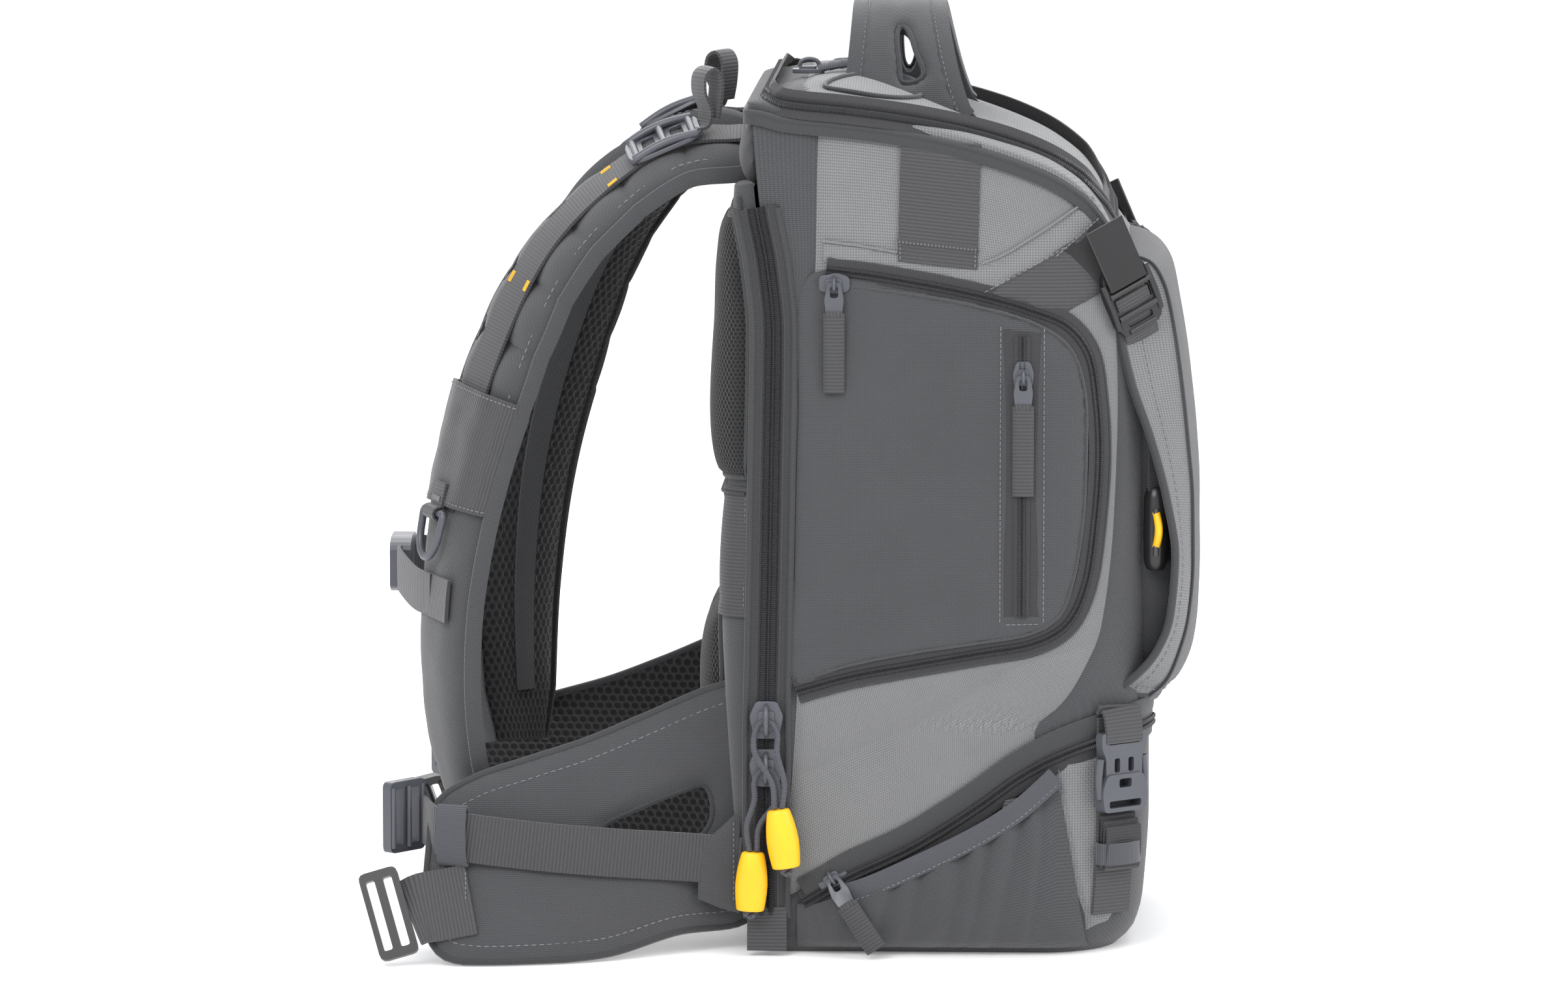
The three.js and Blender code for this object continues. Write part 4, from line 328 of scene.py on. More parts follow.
def panel(outline, place, height, step=5.0, edge=0.3, roll=5.0, holes=(), back=None, extra=None):
    """A piece of cloth inside an outline in depth and height, rolled down at its edges."""
    rims = [[(p[0], p[1]) for p in loop] for loop in (outline, *holes)]
    seeds = [Vector(p) for loop in rims for p in loop]
    edges = []
    start = 0
    for loop in rims:
        edges += [(start + k, start + (k + 1) % len(loop)) for k in range(len(loop))]
        start += len(loop)
    xs = [p[0] for p in rims[0]]
    zs = [p[1] for p in rims[0]]
    rim_a = np.array([seeds[a] for a, b in edges])
    rim_b = np.array([seeds[b] for a, b in edges])

    def rim_distance(x, z):
        d = rim_b - rim_a
        t = np.clip(((x - rim_a[:, 0]) * d[:, 0] + (z - rim_a[:, 1]) * d[:, 1])
                    / np.maximum((d ** 2).sum(axis=1), 1e-9), 0, 1)
        gap = np.hypot(rim_a[:, 0] + t * d[:, 0] - x, rim_a[:, 1] + t * d[:, 1] - z)
        return float(gap.min())

    def inside(x, z):
        hit = False
        for (ax, az), (bx, bz) in zip(rim_a, rim_b):
            if (az > z) != (bz > z) and x < (bx - ax) * (z - az) / (bz - az) + ax:
                hit = not hit
        return hit

    rows = int((max(zs) - min(zs)) / step) + 1
    for j in range(rows + 1):
        z = min(zs) + j * step
        x = min(xs) + (step / 2 if j % 2 else 0)
        while x < max(xs):
            if inside(x, z) and rim_distance(x, z) > step * 0.45:
                seeds.append(Vector((x, z)))
            x += step
    flat_pts, _, tris, _, _, _ = delaunay_2d_cdt(seeds, edges, [], 0, 1e-5)
    keep = [t for t in tris if inside(sum(flat_pts[k][0] for k in t) / 3, sum(flat_pts[k][1] for k in t) / 3)]
    front = []
    for p in flat_pts:
        d = rim_distance(p[0], p[1])
        rise = edge + (height - edge) * math.sin(math.pi / 2 * min(1.0, d / roll)) ** 0.7
        front.append(place(p[0], p[1], rise + (extra(p[0], p[1], d) if extra else 0.0)))
    faces = []
    for t in keep:
        a, b, c = (flat_pts[k] for k in t)
        ccw = (b[0] - a[0]) * (c[1] - a[1]) - (b[1] - a[1]) * (c[0] - a[0]) > 0
        faces.append(tuple(t) if ccw else tuple(reversed(t)))
    uvs = [[(flat_pts[k][0], flat_pts[k][1]) for k in f] for f in faces]
    verts = front
    if back is not None:
        n = len(front)
        verts = front + [place(p[0], p[1], back) for p in flat_pts]
        borders = {}
        for f in faces:
            for a, b in zip(f, f[1:] + f[:1]):
                borders[(a, b)] = True
        open_edges = [(a, b) for a, b in borders if (b, a) not in borders]
        backs = [tuple(reversed([k + n for k in f])) for f in faces]
        uvs = uvs + [[(flat_pts[k - n][0], flat_pts[k - n][1]) for k in f] for f in backs]
        faces = faces + backs
        for a, b in open_edges:
            faces.append((b, a, a + n, b + n))
            uvs.append([(0, 0), (4, 0), (4, 2), (0, 2)])
    return verts, faces, uvs


def stitches(points, upward, pitch=4.2, length=2.6, width=0.55, height=0.35, lift=0.0):
    """A dashed line of thread along a path."""
    step = resample(points, pitch)
    normals = upward if not isinstance(upward, list) else None
    verts, faces, uvs = [], [], []
    for i in range(len(step) - 1):
        t = (step[i + 1] - step[i]).normalized()
        if normals is not None:
            n = normals
        else:
            n = upward[min(len(upward) - 1, round(i / (len(step) - 1) * (len(upward) - 1)))]
        across = t.cross(n).normalized()
        n = across.cross(t).normalized()
        middle = step[i].lerp(step[i + 1], 0.5) + n * lift
        base = len(verts)
        for a, b, h in ((-1, 0, 0), (-0.7, 1, 0), (0.7, 1, 0), (1, 0, 0), (0.7, -1, 0), (-0.7, -1, 0),
                        (-0.6, 0, 1), (0.6, 0, 1)):
            verts.append(middle + t * (a * length / 2) + across * (b * width / 2) + n * (h * height))
        for f in ((0, 1, 6), (1, 2, 7, 6), (2, 3, 7), (3, 4, 7), (4, 5, 6, 7), (5, 0, 6)):
            faces.append(tuple(base + k for k in reversed(f)))
            uvs.append([(0, 0)] * len(f))
    return verts, faces, uvs


def make(name, shapes, materials, side=-1, body=ROOT, node=None, slot=None, bevel=0.0):
    """One object from shapes, each with its own material; side 1 mirrors them to the far side."""
    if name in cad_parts:
        name = f"{name}_cover"
    mesh = bpy.data.meshes.new(name)
    verts, faces, marks, uvs = [], [], [], []
    for index, (v, f, u) in enumerate(shapes):
        base = len(verts)
        verts += [(p[0] * MM, p[1] * MM * -side, p[2] * MM) for p in v]
        for face, uv in zip(f, u):
            ids = [base + k for k in face]
            corner = list(uv)
            if side == 1:
                ids.reverse()
                corner.reverse()
            faces.append(ids)
            uvs += corner
            marks.append(min(index, len(materials) - 1))
    mesh.from_pydata(verts, [], faces)
    layer = mesh.uv_layers.new(name="cloth")
    data = np.array(uvs, dtype=np.float32) * MM
    layer.data.foreach_set("uv", data.ravel())
    for m in materials:
        mesh.materials.append(m)
    mesh.polygons.foreach_set("material_index", marks)
    mesh.polygons.foreach_set("use_smooth", [True] * len(faces))
    mesh.update()
    mesh.set_sharp_from_angle(angle=math.radians(SHARP_DEGREES))
    obj = bpy.data.objects.new(name, mesh)
    bpy.context.scene.collection.objects.link(obj)
    if bevel:
        mod = obj.modifiers.new("soft_edges", "BEVEL")
        mod.width = bevel * MM
        mod.segments = 2
        mod.limit_method = "ANGLE"
        mod.angle_limit = math.radians(BEVEL_DEGREES)
        mod.harden_normals = False
    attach(obj, body)
    if node:
        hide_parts(*([node] if isinstance(node, str) else node))
    return obj


def both(name, builder, materials, **options):
    """A piece on each side of the bag."""
    made = []
    for side, word in ((-1, "left"), (1, "right")):
        extra = dict(options)
        node = extra.pop("node", None)
        body = extra.pop("body", None)
        if node:
            names = [node] if isinstance(node, str) else node
            extra["node"] = [f"{n}_{word}" for n in names]
        if body:
            extra["body"] = f"{body}_{word}"
        made.append(make(f"{name}_{word}", builder(side), materials, side=side, **extra))
    return made


# Materials
def nodes_of(name, roughness, specular=0.5, sheen=0.0):
    material = bpy.data.materials.new(name)
    material.use_nodes = True
    tree = material.node_tree
    shader = tree.nodes["Principled BSDF"]
    shader.inputs["Roughness"].default_value = roughness
    shader.inputs["Specular IOR Level"].default_value = specular
    shader.inputs["Sheen Weight"].default_value = sheen
    shader.inputs["Sheen Roughness"].default_value = 0.5
    return material, tree, shader


def maths(tree, kind, a, b=None, c=None):
    node = tree.nodes.new("ShaderNodeMath")
    node.operation = kind
    for socket, value in zip(node.inputs, (a, b, c)):
        if value is None:
            continue
        if isinstance(value, (int, float)):
            socket.default_value = value
        else:
            tree.links.new(value, socket)
    return node.outputs[0]


def mix(tree, factor, low, high):
    node = tree.nodes.new("ShaderNodeMix")
    node.data_type = "RGBA"
    tree.links.new(factor, node.inputs[0])
    for socket, value in ((node.inputs[6], low), (node.inputs[7], high)):
        if isinstance(value, tuple):
            socket.default_value = (*value, 1.0)
        else:
            tree.links.new(value, socket)
    return node.outputs[2]


def bump(tree, shader, height, distance, strength=1.0, before=None):
    node = tree.nodes.new("ShaderNodeBump")
    node.inputs["Strength"].default_value = strength
    node.inputs["Distance"].default_value = distance * MM
    tree.links.new(height, node.inputs["Height"])
    if before is not None:
        tree.links.new(before, node.inputs["Normal"])
    tree.links.new(node.outputs[0], shader.inputs["Normal"])
    return node.outputs[0]


def noise_at(tree, vector, scale, detail=3.0, roughness=0.55):
    node = tree.nodes.new("ShaderNodeTexNoise")
    node.inputs["Scale"].default_value = scale
    node.inputs["Detail"].default_value = detail
    node.inputs["Roughness"].default_value = roughness
    tree.links.new(vector, node.inputs["Vector"])
    return node.outputs["Fac"]


def uv_axes(tree, turn=0.0):
    coords = tree.nodes.new("ShaderNodeTexCoord")
    mapping = tree.nodes.new("ShaderNodeMapping")
    mapping.inputs["Rotation"].default_value[2] = math.radians(turn)
    tree.links.new(coords.outputs["UV"], mapping.inputs["Vector"])
    split = tree.nodes.new("ShaderNodeSeparateXYZ")
    tree.links.new(mapping.outputs[0], split.inputs[0])
    return coords, split.outputs[0], split.outputs[1]


def cloth(name, color, pitch, over=1, depth=0.25, turn=0.0, light=1.35, dark=0.6, roughness=0.85,
          sheen=0.25, fuzz=0.10):
    """Woven cloth: yarns of a pitch in mm cross over and under, over by a count of yarns."""
    material, tree, shader = nodes_of(name, roughness, specular=0.25, sheen=sheen)
    coords, u, v = uv_axes(tree, turn)
    per_metre = 1000.0 / pitch
    su = maths(tree, "MULTIPLY", u, per_metre)
    sv = maths(tree, "MULTIPLY", v, per_metre)
    across = maths(tree, "PINGPONG", su, 0.5)
    along_v = maths(tree, "PINGPONG", sv, 0.5)
    cell = maths(tree, "ADD", maths(tree, "FLOOR", su), maths(tree, "FLOOR", sv))
    face = maths(tree, "LESS_THAN", maths(tree, "FLOORED_MODULO", cell, over + 1.0), 0.5)
    warp = maths(tree, "MULTIPLY", across, maths(tree, "ADD", along_v, 0.6))
    weft = maths(tree, "MULTIPLY", along_v, maths(tree, "ADD", across, 0.6))
    picked = maths(tree, "ADD", maths(tree, "MULTIPLY", warp, face),
                   maths(tree, "MULTIPLY", weft, maths(tree, "SUBTRACT", 1.0, face)))
    height = maths(tree, "POWER", maths(tree, "MULTIPLY", picked, 1.8), 0.6)
    patchy = noise_at(tree, coords.outputs["Object"], 38.0)
    fine = noise_at(tree, coords.outputs["Object"], 900.0, 2.0)
    # Painted highlight on the yarn crowns and painted shade in the dips between them, plus random tone from
    # noise.
    painted_light_and_tone = maths(tree, "ADD", maths(tree, "MULTIPLY", height, 0.72),
                 maths(tree, "MULTIPLY", maths(tree, "ADD", patchy, fine), 0.14))
    low = tuple(c * dark for c in color)
    high = tuple(min(1.0, c * light) for c in color)
    tree.links.new(mix(tree, painted_light_and_tone, low, high), shader.inputs["Base Color"])
    wrinkle = noise_at(tree, coords.outputs["Object"], 55.0, 4.0)
    first = bump(tree, shader, wrinkle, 1.2, fuzz)
    bump(tree, shader, height, depth, 0.9, first)
    return material


def webbing(name, color, rib=1.9, light=1.4, dark=0.5, depth=0.35, vertical=False):
    """Ribbed webbing: ribs across the band, split by fine rows along it."""
    material, tree, shader = nodes_of(name, 0.62, specular=0.35, sheen=0.2)
    coords, u, v = uv_axes(tree)
    if vertical:
        u, v = v, u
    ribs = maths(tree, "PINGPONG", maths(tree, "MULTIPLY", v, 1000.0 / rib), 0.5)
    rib_number = maths(tree, "FLOOR", maths(tree, "MULTIPLY", v, 1000.0 / rib))
    staggered = maths(tree, "ADD", maths(tree, "MULTIPLY", u, 1000.0 / 1.5),
                      maths(tree, "MULTIPLY", rib_number, 0.5))
    rows = maths(tree, "PINGPONG", staggered, 0.5)
    height = maths(tree, "POWER", maths(tree, "MULTIPLY", maths(tree, "MULTIPLY", ribs, 2.0),
                                        maths(tree, "ADD", maths(tree, "MULTIPLY", rows, 0.8), 0.6)), 0.7)
    fine = noise_at(tree, coords.outputs["Object"], 500.0, 2.0)
    # Painted highlight on the ribs and painted shade in the grooves between them, plus random tone from
    # noise.
    painted_light_and_tone = maths(tree, "ADD", maths(tree, "MULTIPLY", height, 0.8), maths(tree, "MULTIPLY", fine, 0.2))
    low = tuple(c * dark for c in color)
    high = tuple(min(1.0, c * light) for c in color)
    tree.links.new(mix(tree, painted_light_and_tone, low, high), shader.inputs["Base Color"])
    bump(tree, shader, height, depth, 0.9)
    return material


def spacer_mesh(name, color, pitch, hole, deep=0.9):
    """Knitted mesh with rows of round holes, each row shifted by half a pitch."""
    material, tree, shader = nodes_of(name, 0.8, specular=0.3, sheen=0.15)
    coords, u, v = uv_axes(tree)
    row = maths(tree, "MULTIPLY", v, 1000.0 / (pitch * 0.87))
    shift = maths(tree, "MULTIPLY", maths(tree, "FLOORED_MODULO", maths(tree, "FLOOR", row), 2.0), 0.5)
    x = maths(tree, "SUBTRACT", maths(tree, "FRACT", maths(tree, "ADD", maths(
        tree, "MULTIPLY", u, 1000.0 / pitch), shift)), 0.5)
    y = maths(tree, "MULTIPLY", maths(tree, "SUBTRACT", maths(tree, "FRACT", row), 0.5), 0.87)
    squares = [maths(tree, "MULTIPLY", value, value) for value in (x, y)]
    radius = maths(tree, "SQRT", maths(tree, "ADD", *squares))
    edge = maths(tree, "SMOOTH_MIN", maths(tree, "MULTIPLY", maths(
        tree, "SUBTRACT", radius, hole * 0.75), 6.0), 1.0, 0.2)
    height = maths(tree, "MAXIMUM", edge, 0.0)
    knit = noise_at(tree, coords.outputs["Object"], 700.0, 2.0)
    # The holes are painted near-black as painted shade; the knit noise adds random tone.
    painted_light_and_tone = maths(tree, "MULTIPLY", height, maths(tree, "ADD", maths(tree, "MULTIPLY", knit, 0.8), 0.5))
    low = tuple(c * 0.12 for c in color)
    tree.links.new(mix(tree, painted_light_and_tone, low, color), shader.inputs["Base Color"])
    bump(tree, shader, maths(tree, "ADD", height, maths(tree, "MULTIPLY", knit, 0.15)), deep, 1.0)
    return material


def moulded(name, color, roughness, grain=0.06):
    """Hard material with a fine grain, also used for thread and zip coils."""
    material, tree, shader = nodes_of(name, roughness)
    coords = tree.nodes.new("ShaderNodeTexCoord")
    fine = noise_at(tree, coords.outputs["Object"], 1400.0, 2.0)
    broad = noise_at(tree, coords.outputs["Object"], 60.0)
    low = tuple(c * 0.86 for c in color)
    high = tuple(min(1.0, c * 1.12) for c in color)
    tree.links.new(mix(tree, broad, low, high), shader.inputs["Base Color"])
    tree.links.new(maths(tree, "ADD", maths(tree, "MULTIPLY", broad, 0.12), roughness - 0.06),
                   shader.inputs["Roughness"])
    bump(tree, shader, fine, grain, 0.6)
    return material


# light and dark set the strength of the painted highlight on crowns and the painted shade in dips.
GREY = cloth("grey_weave", (0.140, 0.142, 0.143), 1.5, over=1, depth=0.35, light=1.75, dark=0.42)
TWILL = cloth("charcoal_twill", (0.045, 0.046, 0.049), 1.1, over=2, depth=0.25, light=1.7, dark=0.45)
TWILL_DARK = cloth("dark_twill", (0.036, 0.037, 0.041), 0.9, over=2, depth=0.18)
BINDING = webbing("edge_binding", (0.030, 0.031, 0.033), rib=1.1, depth=0.2)
TAPE = webbing("zip_tape", (0.022, 0.022, 0.024), rib=1.2, depth=0.25)
WEB = webbing("ribbed_webbing", (0.042, 0.042, 0.045), rib=2.0)
WEB_TURNED = webbing("turned_webbing", (0.042, 0.042, 0.045), rib=2.0, vertical=True)
WEB_DARK = webbing("black_webbing", (0.020, 0.020, 0.022), rib=1.6)
ELASTIC = webbing("blue_grey_elastic", (0.052, 0.054, 0.064), rib=1.0, depth=0.15)
MESH = spacer_mesh("spacer_mesh", (0.030, 0.030, 0.032), 5.2, 0.36)
NET = spacer_mesh("open_net", (0.026, 0.026, 0.027), 2.6, 0.42, 0.6)
TEETH = moulded("zip_coil", (0.040, 0.040, 0.043), 0.28)
PLASTIC = moulded("grey_plastic", (0.064, 0.067, 0.080), 0.36)
BLACK = moulded("black_plastic", (0.012, 0.012, 0.013), 0.32)
YELLOW = moulded("yellow_plastic", (0.90, 0.46, 0.005), 0.42, grain=0.04)
THREAD = moulded("light_thread", (0.17, 0.17, 0.18), 0.7)
THREAD_YELLOW = moulded("yellow_thread", (0.80, 0.42, 0.02), 0.6)
CORD = webbing("braided_cord", (0.060, 0.062, 0.075), rib=1.3, depth=0.3)
PATCH = cloth("bare_patch", (0.020, 0.020, 0.021), 0.7, over=1, depth=0.06)


# Stage, light and camera
def stage():
    floor, _, shader = nodes_of("pale_floor", 0.6, specular=0.2)
    shader.inputs["Base Color"].default_value = (0.92, 0.92, 0.92, 1)
    shader.inputs["Emission Color"].default_value = (1, 1, 1, 1)
    shader.inputs["Emission Strength"].default_value = 0.12
    bpy.ops.mesh.primitive_plane_add(size=14, location=(0, 0, -0.0002))
    ground = bpy.context.object
    ground.name = "stage_floor"
    ground.data.materials.append(floor)
    world = bpy.data.worlds.new("studio")
    world.use_nodes = True
    world.node_tree.nodes["Background"].inputs[0].default_value = (0.97, 0.975, 1.0, 1)
    world.node_tree.nodes["Background"].inputs[1].default_value = 1.06
    bpy.context.scene.world = world
    bpy.context.scene.view_settings.view_transform = "Standard"
    for name, place, size, power in (
            ("key_light", (-1.1, -2.6, 2.3), 1.6, 62.0), ("fill_light", (2.2, -1.6, 1.6), 1.8, 34.0),
            ("top_light", (0.1, 0.3, 2.6), 1.8, 30.0), ("back_light", (-0.6, 2.4, 1.8), 1.6, 24.0)):
        light = bpy.data.lights.new(name, "AREA")
        light.size = size
        light.energy = power
        lamp = bpy.data.objects.new(name, light)
        lamp.location = place
        lamp.rotation_euler = (Vector((0, 0, 0.25)) - Vector(place)).to_track_quat("-Z", "Y").to_euler()
        bpy.context.scene.collection.objects.link(lamp)


CAMERA_DISTANCE = 4500
PHOTO_WIDTH = 2408
MM_PER_PIXEL = 0.372
SENSOR_WIDTH = 36


def camera():
    """The photograph's view: the focal length follows from the bag's size in it."""
    azimuth, elevation = math.radians(2), math.radians(7)
    target = Vector((-0.088, 0, 0.2422))
    data = bpy.data.cameras.new("camera")
    data.sensor_width = SENSOR_WIDTH
    data.lens = CAMERA_DISTANCE / MM_PER_PIXEL * SENSOR_WIDTH / PHOTO_WIDTH
    data.clip_end = 60
    eye = bpy.data.objects.new("camera", data)
    away = Vector((math.sin(azimuth) * math.cos(elevation), -math.cos(azimuth) * math.cos(elevation),
                   math.sin(elevation)))
    eye.location = target + away * (CAMERA_DISTANCE * MM)
    eye.rotation_euler = (-away).to_track_quat("-Z", "Y").to_euler()
    bpy.context.scene.collection.objects.link(eye)
    bpy.context.scene.camera = eye


stage()
camera()


# Pull cords: a loop through the slider's bail, both ends into the toggle
def section_linear(z):
    """The straight-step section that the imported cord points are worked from."""
    h = z / BAG_HEIGHT
    for low, high in zip(SECTIONS, SECTIONS[1:]):
        if h <= high[0]:
            t = (h - low[0]) / (high[0] - low[0])
            row = [a + (b - a) * t for a, b in zip(low[1:], high[1:])]
            return along(row[0]), HALF_WIDTH * row[2]
    return along(SECTIONS[-1][1]), HALF_WIDTH * SECTIONS[-1][3]


ZIP_SEATS = []
for share in (0.283, 0.226):
    rear, half = section_linear(up(share))
    ZIP_SEATS.append((rear, half + GAP + 3 - 0.6, up(share)))
CORD_LOOPS = [("upper", 0, 47, 7, 13.5, 4), ("lower", 1, 45, -7, 8.2, 4)]


def cord_points(seat, drop, drift, out, spread):
    x, distance, z = ZIP_SEATS[seat]
    y = -(distance + 7.1)
    low = -(distance + out)
    top = z - 1
    end = top - drop
    return [Vector(p) for p in (
        (x + drift - 2.1, low, end), (x + drift - 3.4, low, end + 14),
        (x - spread - 2.2, (low + y) / 2, top - 16), (x - spread - 2.2, y, top - 6),
        (x - spread + 0.6, y, top - 0.6), (x, y, top + 0.7),
        (x + spread - 0.6, y, top - 0.6), (x + spread + 2.2, y, top - 6),
        (x + spread + 2.2, (low + y) / 2, top - 16), (x + drift + 3.4, low, end + 14),
        (x + drift + 2.1, low, end))]


TOGGLE_LENGTH = 33
TOGGLE_RADIUS = 9


def toggle_shape(top, tilt):
    """A barrel that swells below its middle, with a rounded top and foot."""
    profile = [(0.0, 0.0), (0.56, 0.0), (0.66, 0.012), (0.72, 0.04), (0.80, 0.13), (0.90, 0.27),
               (0.97, 0.42), (1.0, 0.55), (0.985, 0.68), (0.94, 0.82), (0.89, 0.93), (0.86, 0.98),
               (0.80, 0.997), (0.0, 1.0)]
    turn = math.radians(tilt)

    def point(u, v):
        k = v * (len(profile) - 1)
        i = min(int(k), len(profile) - 2)
        r = profile[i][0] + (k - i) * (profile[i + 1][0] - profile[i][0])
        h = profile[i][1] + (k - i) * (profile[i + 1][1] - profile[i][1])
        a = 2 * math.pi * u
        x = TOGGLE_RADIUS * r * math.cos(a)
        y = TOGGLE_RADIUS * 0.72 * r * math.sin(a)
        z = -TOGGLE_LENGTH * h
        return Vector((top.x + x * math.cos(turn) + z * math.sin(turn), top.y + y,
                       top.z + z * math.cos(turn) - x * math.sin(turn)))
    return grid(36, (len(profile) - 1) * 2, point, around=True)


for name, seat, drop, drift, out, spread in CORD_LOOPS:
    route = cord_points(seat, drop, drift, out, spread)
    path = smooth_path(route, 1.2)
    top = (route[0] + route[-1]) / 2 - Vector((0, 0, 0.35))
    cord = make(f"cord_{name}", [tube(path, lambda i: 1.55 + 0.12 * math.sin(i * 2.6), 10)], [CORD],
                node=f"pull_cord_{name}", slot="charcoal")
    tilt = -8 if drift > 0 else 3
    barrel = make(f"barrel_{name}", [toggle_shape(top, tilt)], [YELLOW], node=f"toggle_{name}", slot="yellow")
    foot = top + Vector((-TOGGLE_LENGTH * math.sin(math.radians(tilt)), 0, -34.2))
    knot_line = [foot + Vector((2.2 * math.cos(a), 1.2 * math.sin(2 * a), -0.6 + 1.5 * math.sin(a)))
                 for a in [k * 0.52 for k in range(12)]]
    knot = make(f"knot_{name}", [tube(knot_line, 1.5, 8, closed=True)], [CORD], slot="charcoal")
    length = sum((b - a).length for a, b in zip(path, path[1:]))


# Outlines on the near side, in depth and height
GUSSET = [(0, -87), (43, -85), (98, -79), (170, -75), (345, -70), (389, -66), (457, -65), (480, -64)]
LIGHT_EDGE = [(130, 56), (142, 71), (158, 82), (184, 93), (242, 100), (315, 102), (369, 101), (396, 94),
              (440, 82)]
BASE_ZIP = [(-92, 27), (-70, 39), (-48, 52), (-12, 71), (24, 97), (49, 115), (74, 126), (96, 133), (140, 137),
            (420, 138)]
DOOR = [(-77, 151), (-48, 160), (-12, 167.5), (24, 173), (56, 179), (71, 188), (79, 208), (84.5, 245),
        (86, 281), (85, 317), (77, 342), (59, 356), (23, 367), (-13, 373.5), (-69, 380)]
DOOR_ZIP = [(-60, 383), (-38, 380.5), (-13, 376.5), (23, 369.5), (52, 361.5), (72, 353), (83.5, 338),
            (88.5, 310), (90, 281), (88, 245), (82.5, 207), (73, 187), (57, 177), (24, 170.5), (-12, 164),
            (-48, 157), (-76, 149)]
DOOR_PIPING = [(-66, 376), (-13, 370), (23, 363.5), (58, 353), (74.5, 340), (82, 317), (83, 281),
               (81.5, 246), (76, 210), (69, 192), (55, 182.5), (24, 176.5), (-12, 171), (-48, 163.5),
               (-72, 156)]


def front_edge(z):
    return read(GUSSET, z)[0]


def light_edge(z):
    return read(LIGHT_EDGE, z)[0]


def base_zip_height(s):
    return read(BASE_ZIP, s)[0]


def dip(d, depth=1.3, reach=3.0):
    """How far cloth sinks towards a seam at a distance."""
    return -depth * math.exp(-(max(d, 0.0) / reach) ** 2)


def fold_noise(x, z, size, amount):
    return amount * noise.noise(Vector((x / size, z / size, 0.7)))


def gusset(side):
    def point(u, v):
        z = v * seam_height(BAG_REAR)
        x0 = section(z)[0] + 2.0
        x1 = front_edge(z)
        x = x0 + u * (x1 - x0)
        return flat(x, z, dip((1 - u) * (x1 - x0)) + 0.5 * math.sin(math.pi * u) + fold_noise(x, z, 30, 0.3))
    return [grid(10, 110, point)]


def arc_of(x, z):
    """The distance round the bag of a near-side point seen at a depth."""
    _, front, _, r = section(z)
    c = front - r
    return x if x <= c else c + r * math.asin(min((x - c) / r, 0.999))


def top_of(s):
    """Height of the lid seam at a distance round the bag."""
    z = 430.0
    for _ in range(6):
        z = seam_height(wrap(s, z).x)
    return z


def column(u, z):
    """Distance round the bag: u is 0 at the gusset, 1 at the light panel's edge and 2 at the middle."""
    edge = arc_of(light_edge(z), z)
    if u <= 1:
        return front_edge(z) + u * (edge - front_edge(z))
    return edge + (u - 1) * (wrap_end(z) - edge)


def upper_cloth(u, v, folds):
    z = 250.0
    for _ in range(5):
        s = column(u, z)
        low, high = base_zip_height(s), top_of(s)
        z = low + v * (high - low)
    s = column(u, z)
    d = min(s - front_edge(z), (z - low) * 1.2, high - z, abs(s - column(1.0, z)) + 1)
    return wrap(s, z, dip(d) + 0.7 * (1 - math.exp(-max(d, 0) / 18)) + fold_noise(s, z, 55, folds))


def side_cloth(side):
    return [grid(70, 80, lambda u, v: upper_cloth(u, v, 1.1))]


def front_cloth(side):
    return [grid(44, 80, lambda u, v: upper_cloth(1 + u, v, 1.1))]


def base_cloth(side):
    def point(u, v):
        s = -84 + u * (wrap_end(80) + 84)
        high = base_zip_height(s)
        z = high * v
        return wrap(s, z, dip(high - z) + fold_noise(s, z, 40, 0.5) * min(1, z / 12))

    def under(u, v):
        s = -92 + u * (wrap_end(0.5) + 92)
        p = wrap(s, 0.0)
        return Vector((p.x, p.y * (1 - v), 0.05))
    return [grid(70, 26, point), grid(50, 6, under)]


def on_side(points, lift, place=flat):
    return [place(p[0], p[1], lift) for p in points]


def side_normals(points, place=flat):
    return [(place(p[0], p[1], 1.0) - place(p[0], p[1], 0.0)).normalized() for p in points]


def toothed(path, normals, offset, radius, pitch):
    """One row of a coil: a bar that swells at each turn of the coil."""
    fine = resample(path, pitch / 4)
    n = len(fine)
    ups = [normals[min(len(normals) - 1, round(i / n * (len(normals) - 1)))] for i in range(n)]
    line = [p + across * offset for p, _, across, _ in frames(fine, ups)]
    ring = circle(6)

    def profile(i, share):
        swell = radius * (0.62 + 0.38 * math.cos(i * math.pi / 2) ** 2)
        return [(swell * c, swell * s) for c, s in ring]
    return swept(line, ups, profile)


def zip_on_side(outline, width, radius, pitch, lift=0.2, step=3.0, place=flat):
    """Tape with two rows of coil along a line on the near side."""
    flat_path = smooth_path(outline, step)
    path = on_side(flat_path, lift, place)
    normals = side_normals(flat_path, place)
    tape = band(path, normals, width, 0.9, 0.0, 0.5)
    raised = [p + n * (0.9 + radius * 0.45) for p, n in zip(path, normals)]
    gap = radius * 1.02
    groove = band(path, normals, radius * 1.2, 1.1, 0.2)
    return [tape, groove] + [toothed(raised, normals, offset, radius, pitch) for offset in (gap, -gap)]


def seam_stitch(outline, lift, pitch=4.2, place=flat):
    flat_path = smooth_path(outline, 3.0)
    return stitches(on_side(flat_path, lift, place), side_normals(flat_path, place), pitch)


def piping(outline, radius, lift=0.0, closed=False, place=flat):
    flat_path = smooth_path(outline, 3.0, closed)
    return tube(on_side(flat_path, lift, place), radius, 8, closed)


def shifted(points, dx, dz):
    return [(p[0] + dx, p[1] + dz) for p in points]


def door(side):
    outline = smooth_path(DOOR + [(-75, 300), (-77, 220)], 4.0, closed=True)
    return [panel(outline, flat, 3.1, 5.0, edge=0.6, roll=9.0, back=-4.0,
                  extra=lambda x, z, d: fold_noise(x, z, 60, 0.8) * min(1, d / 20))]


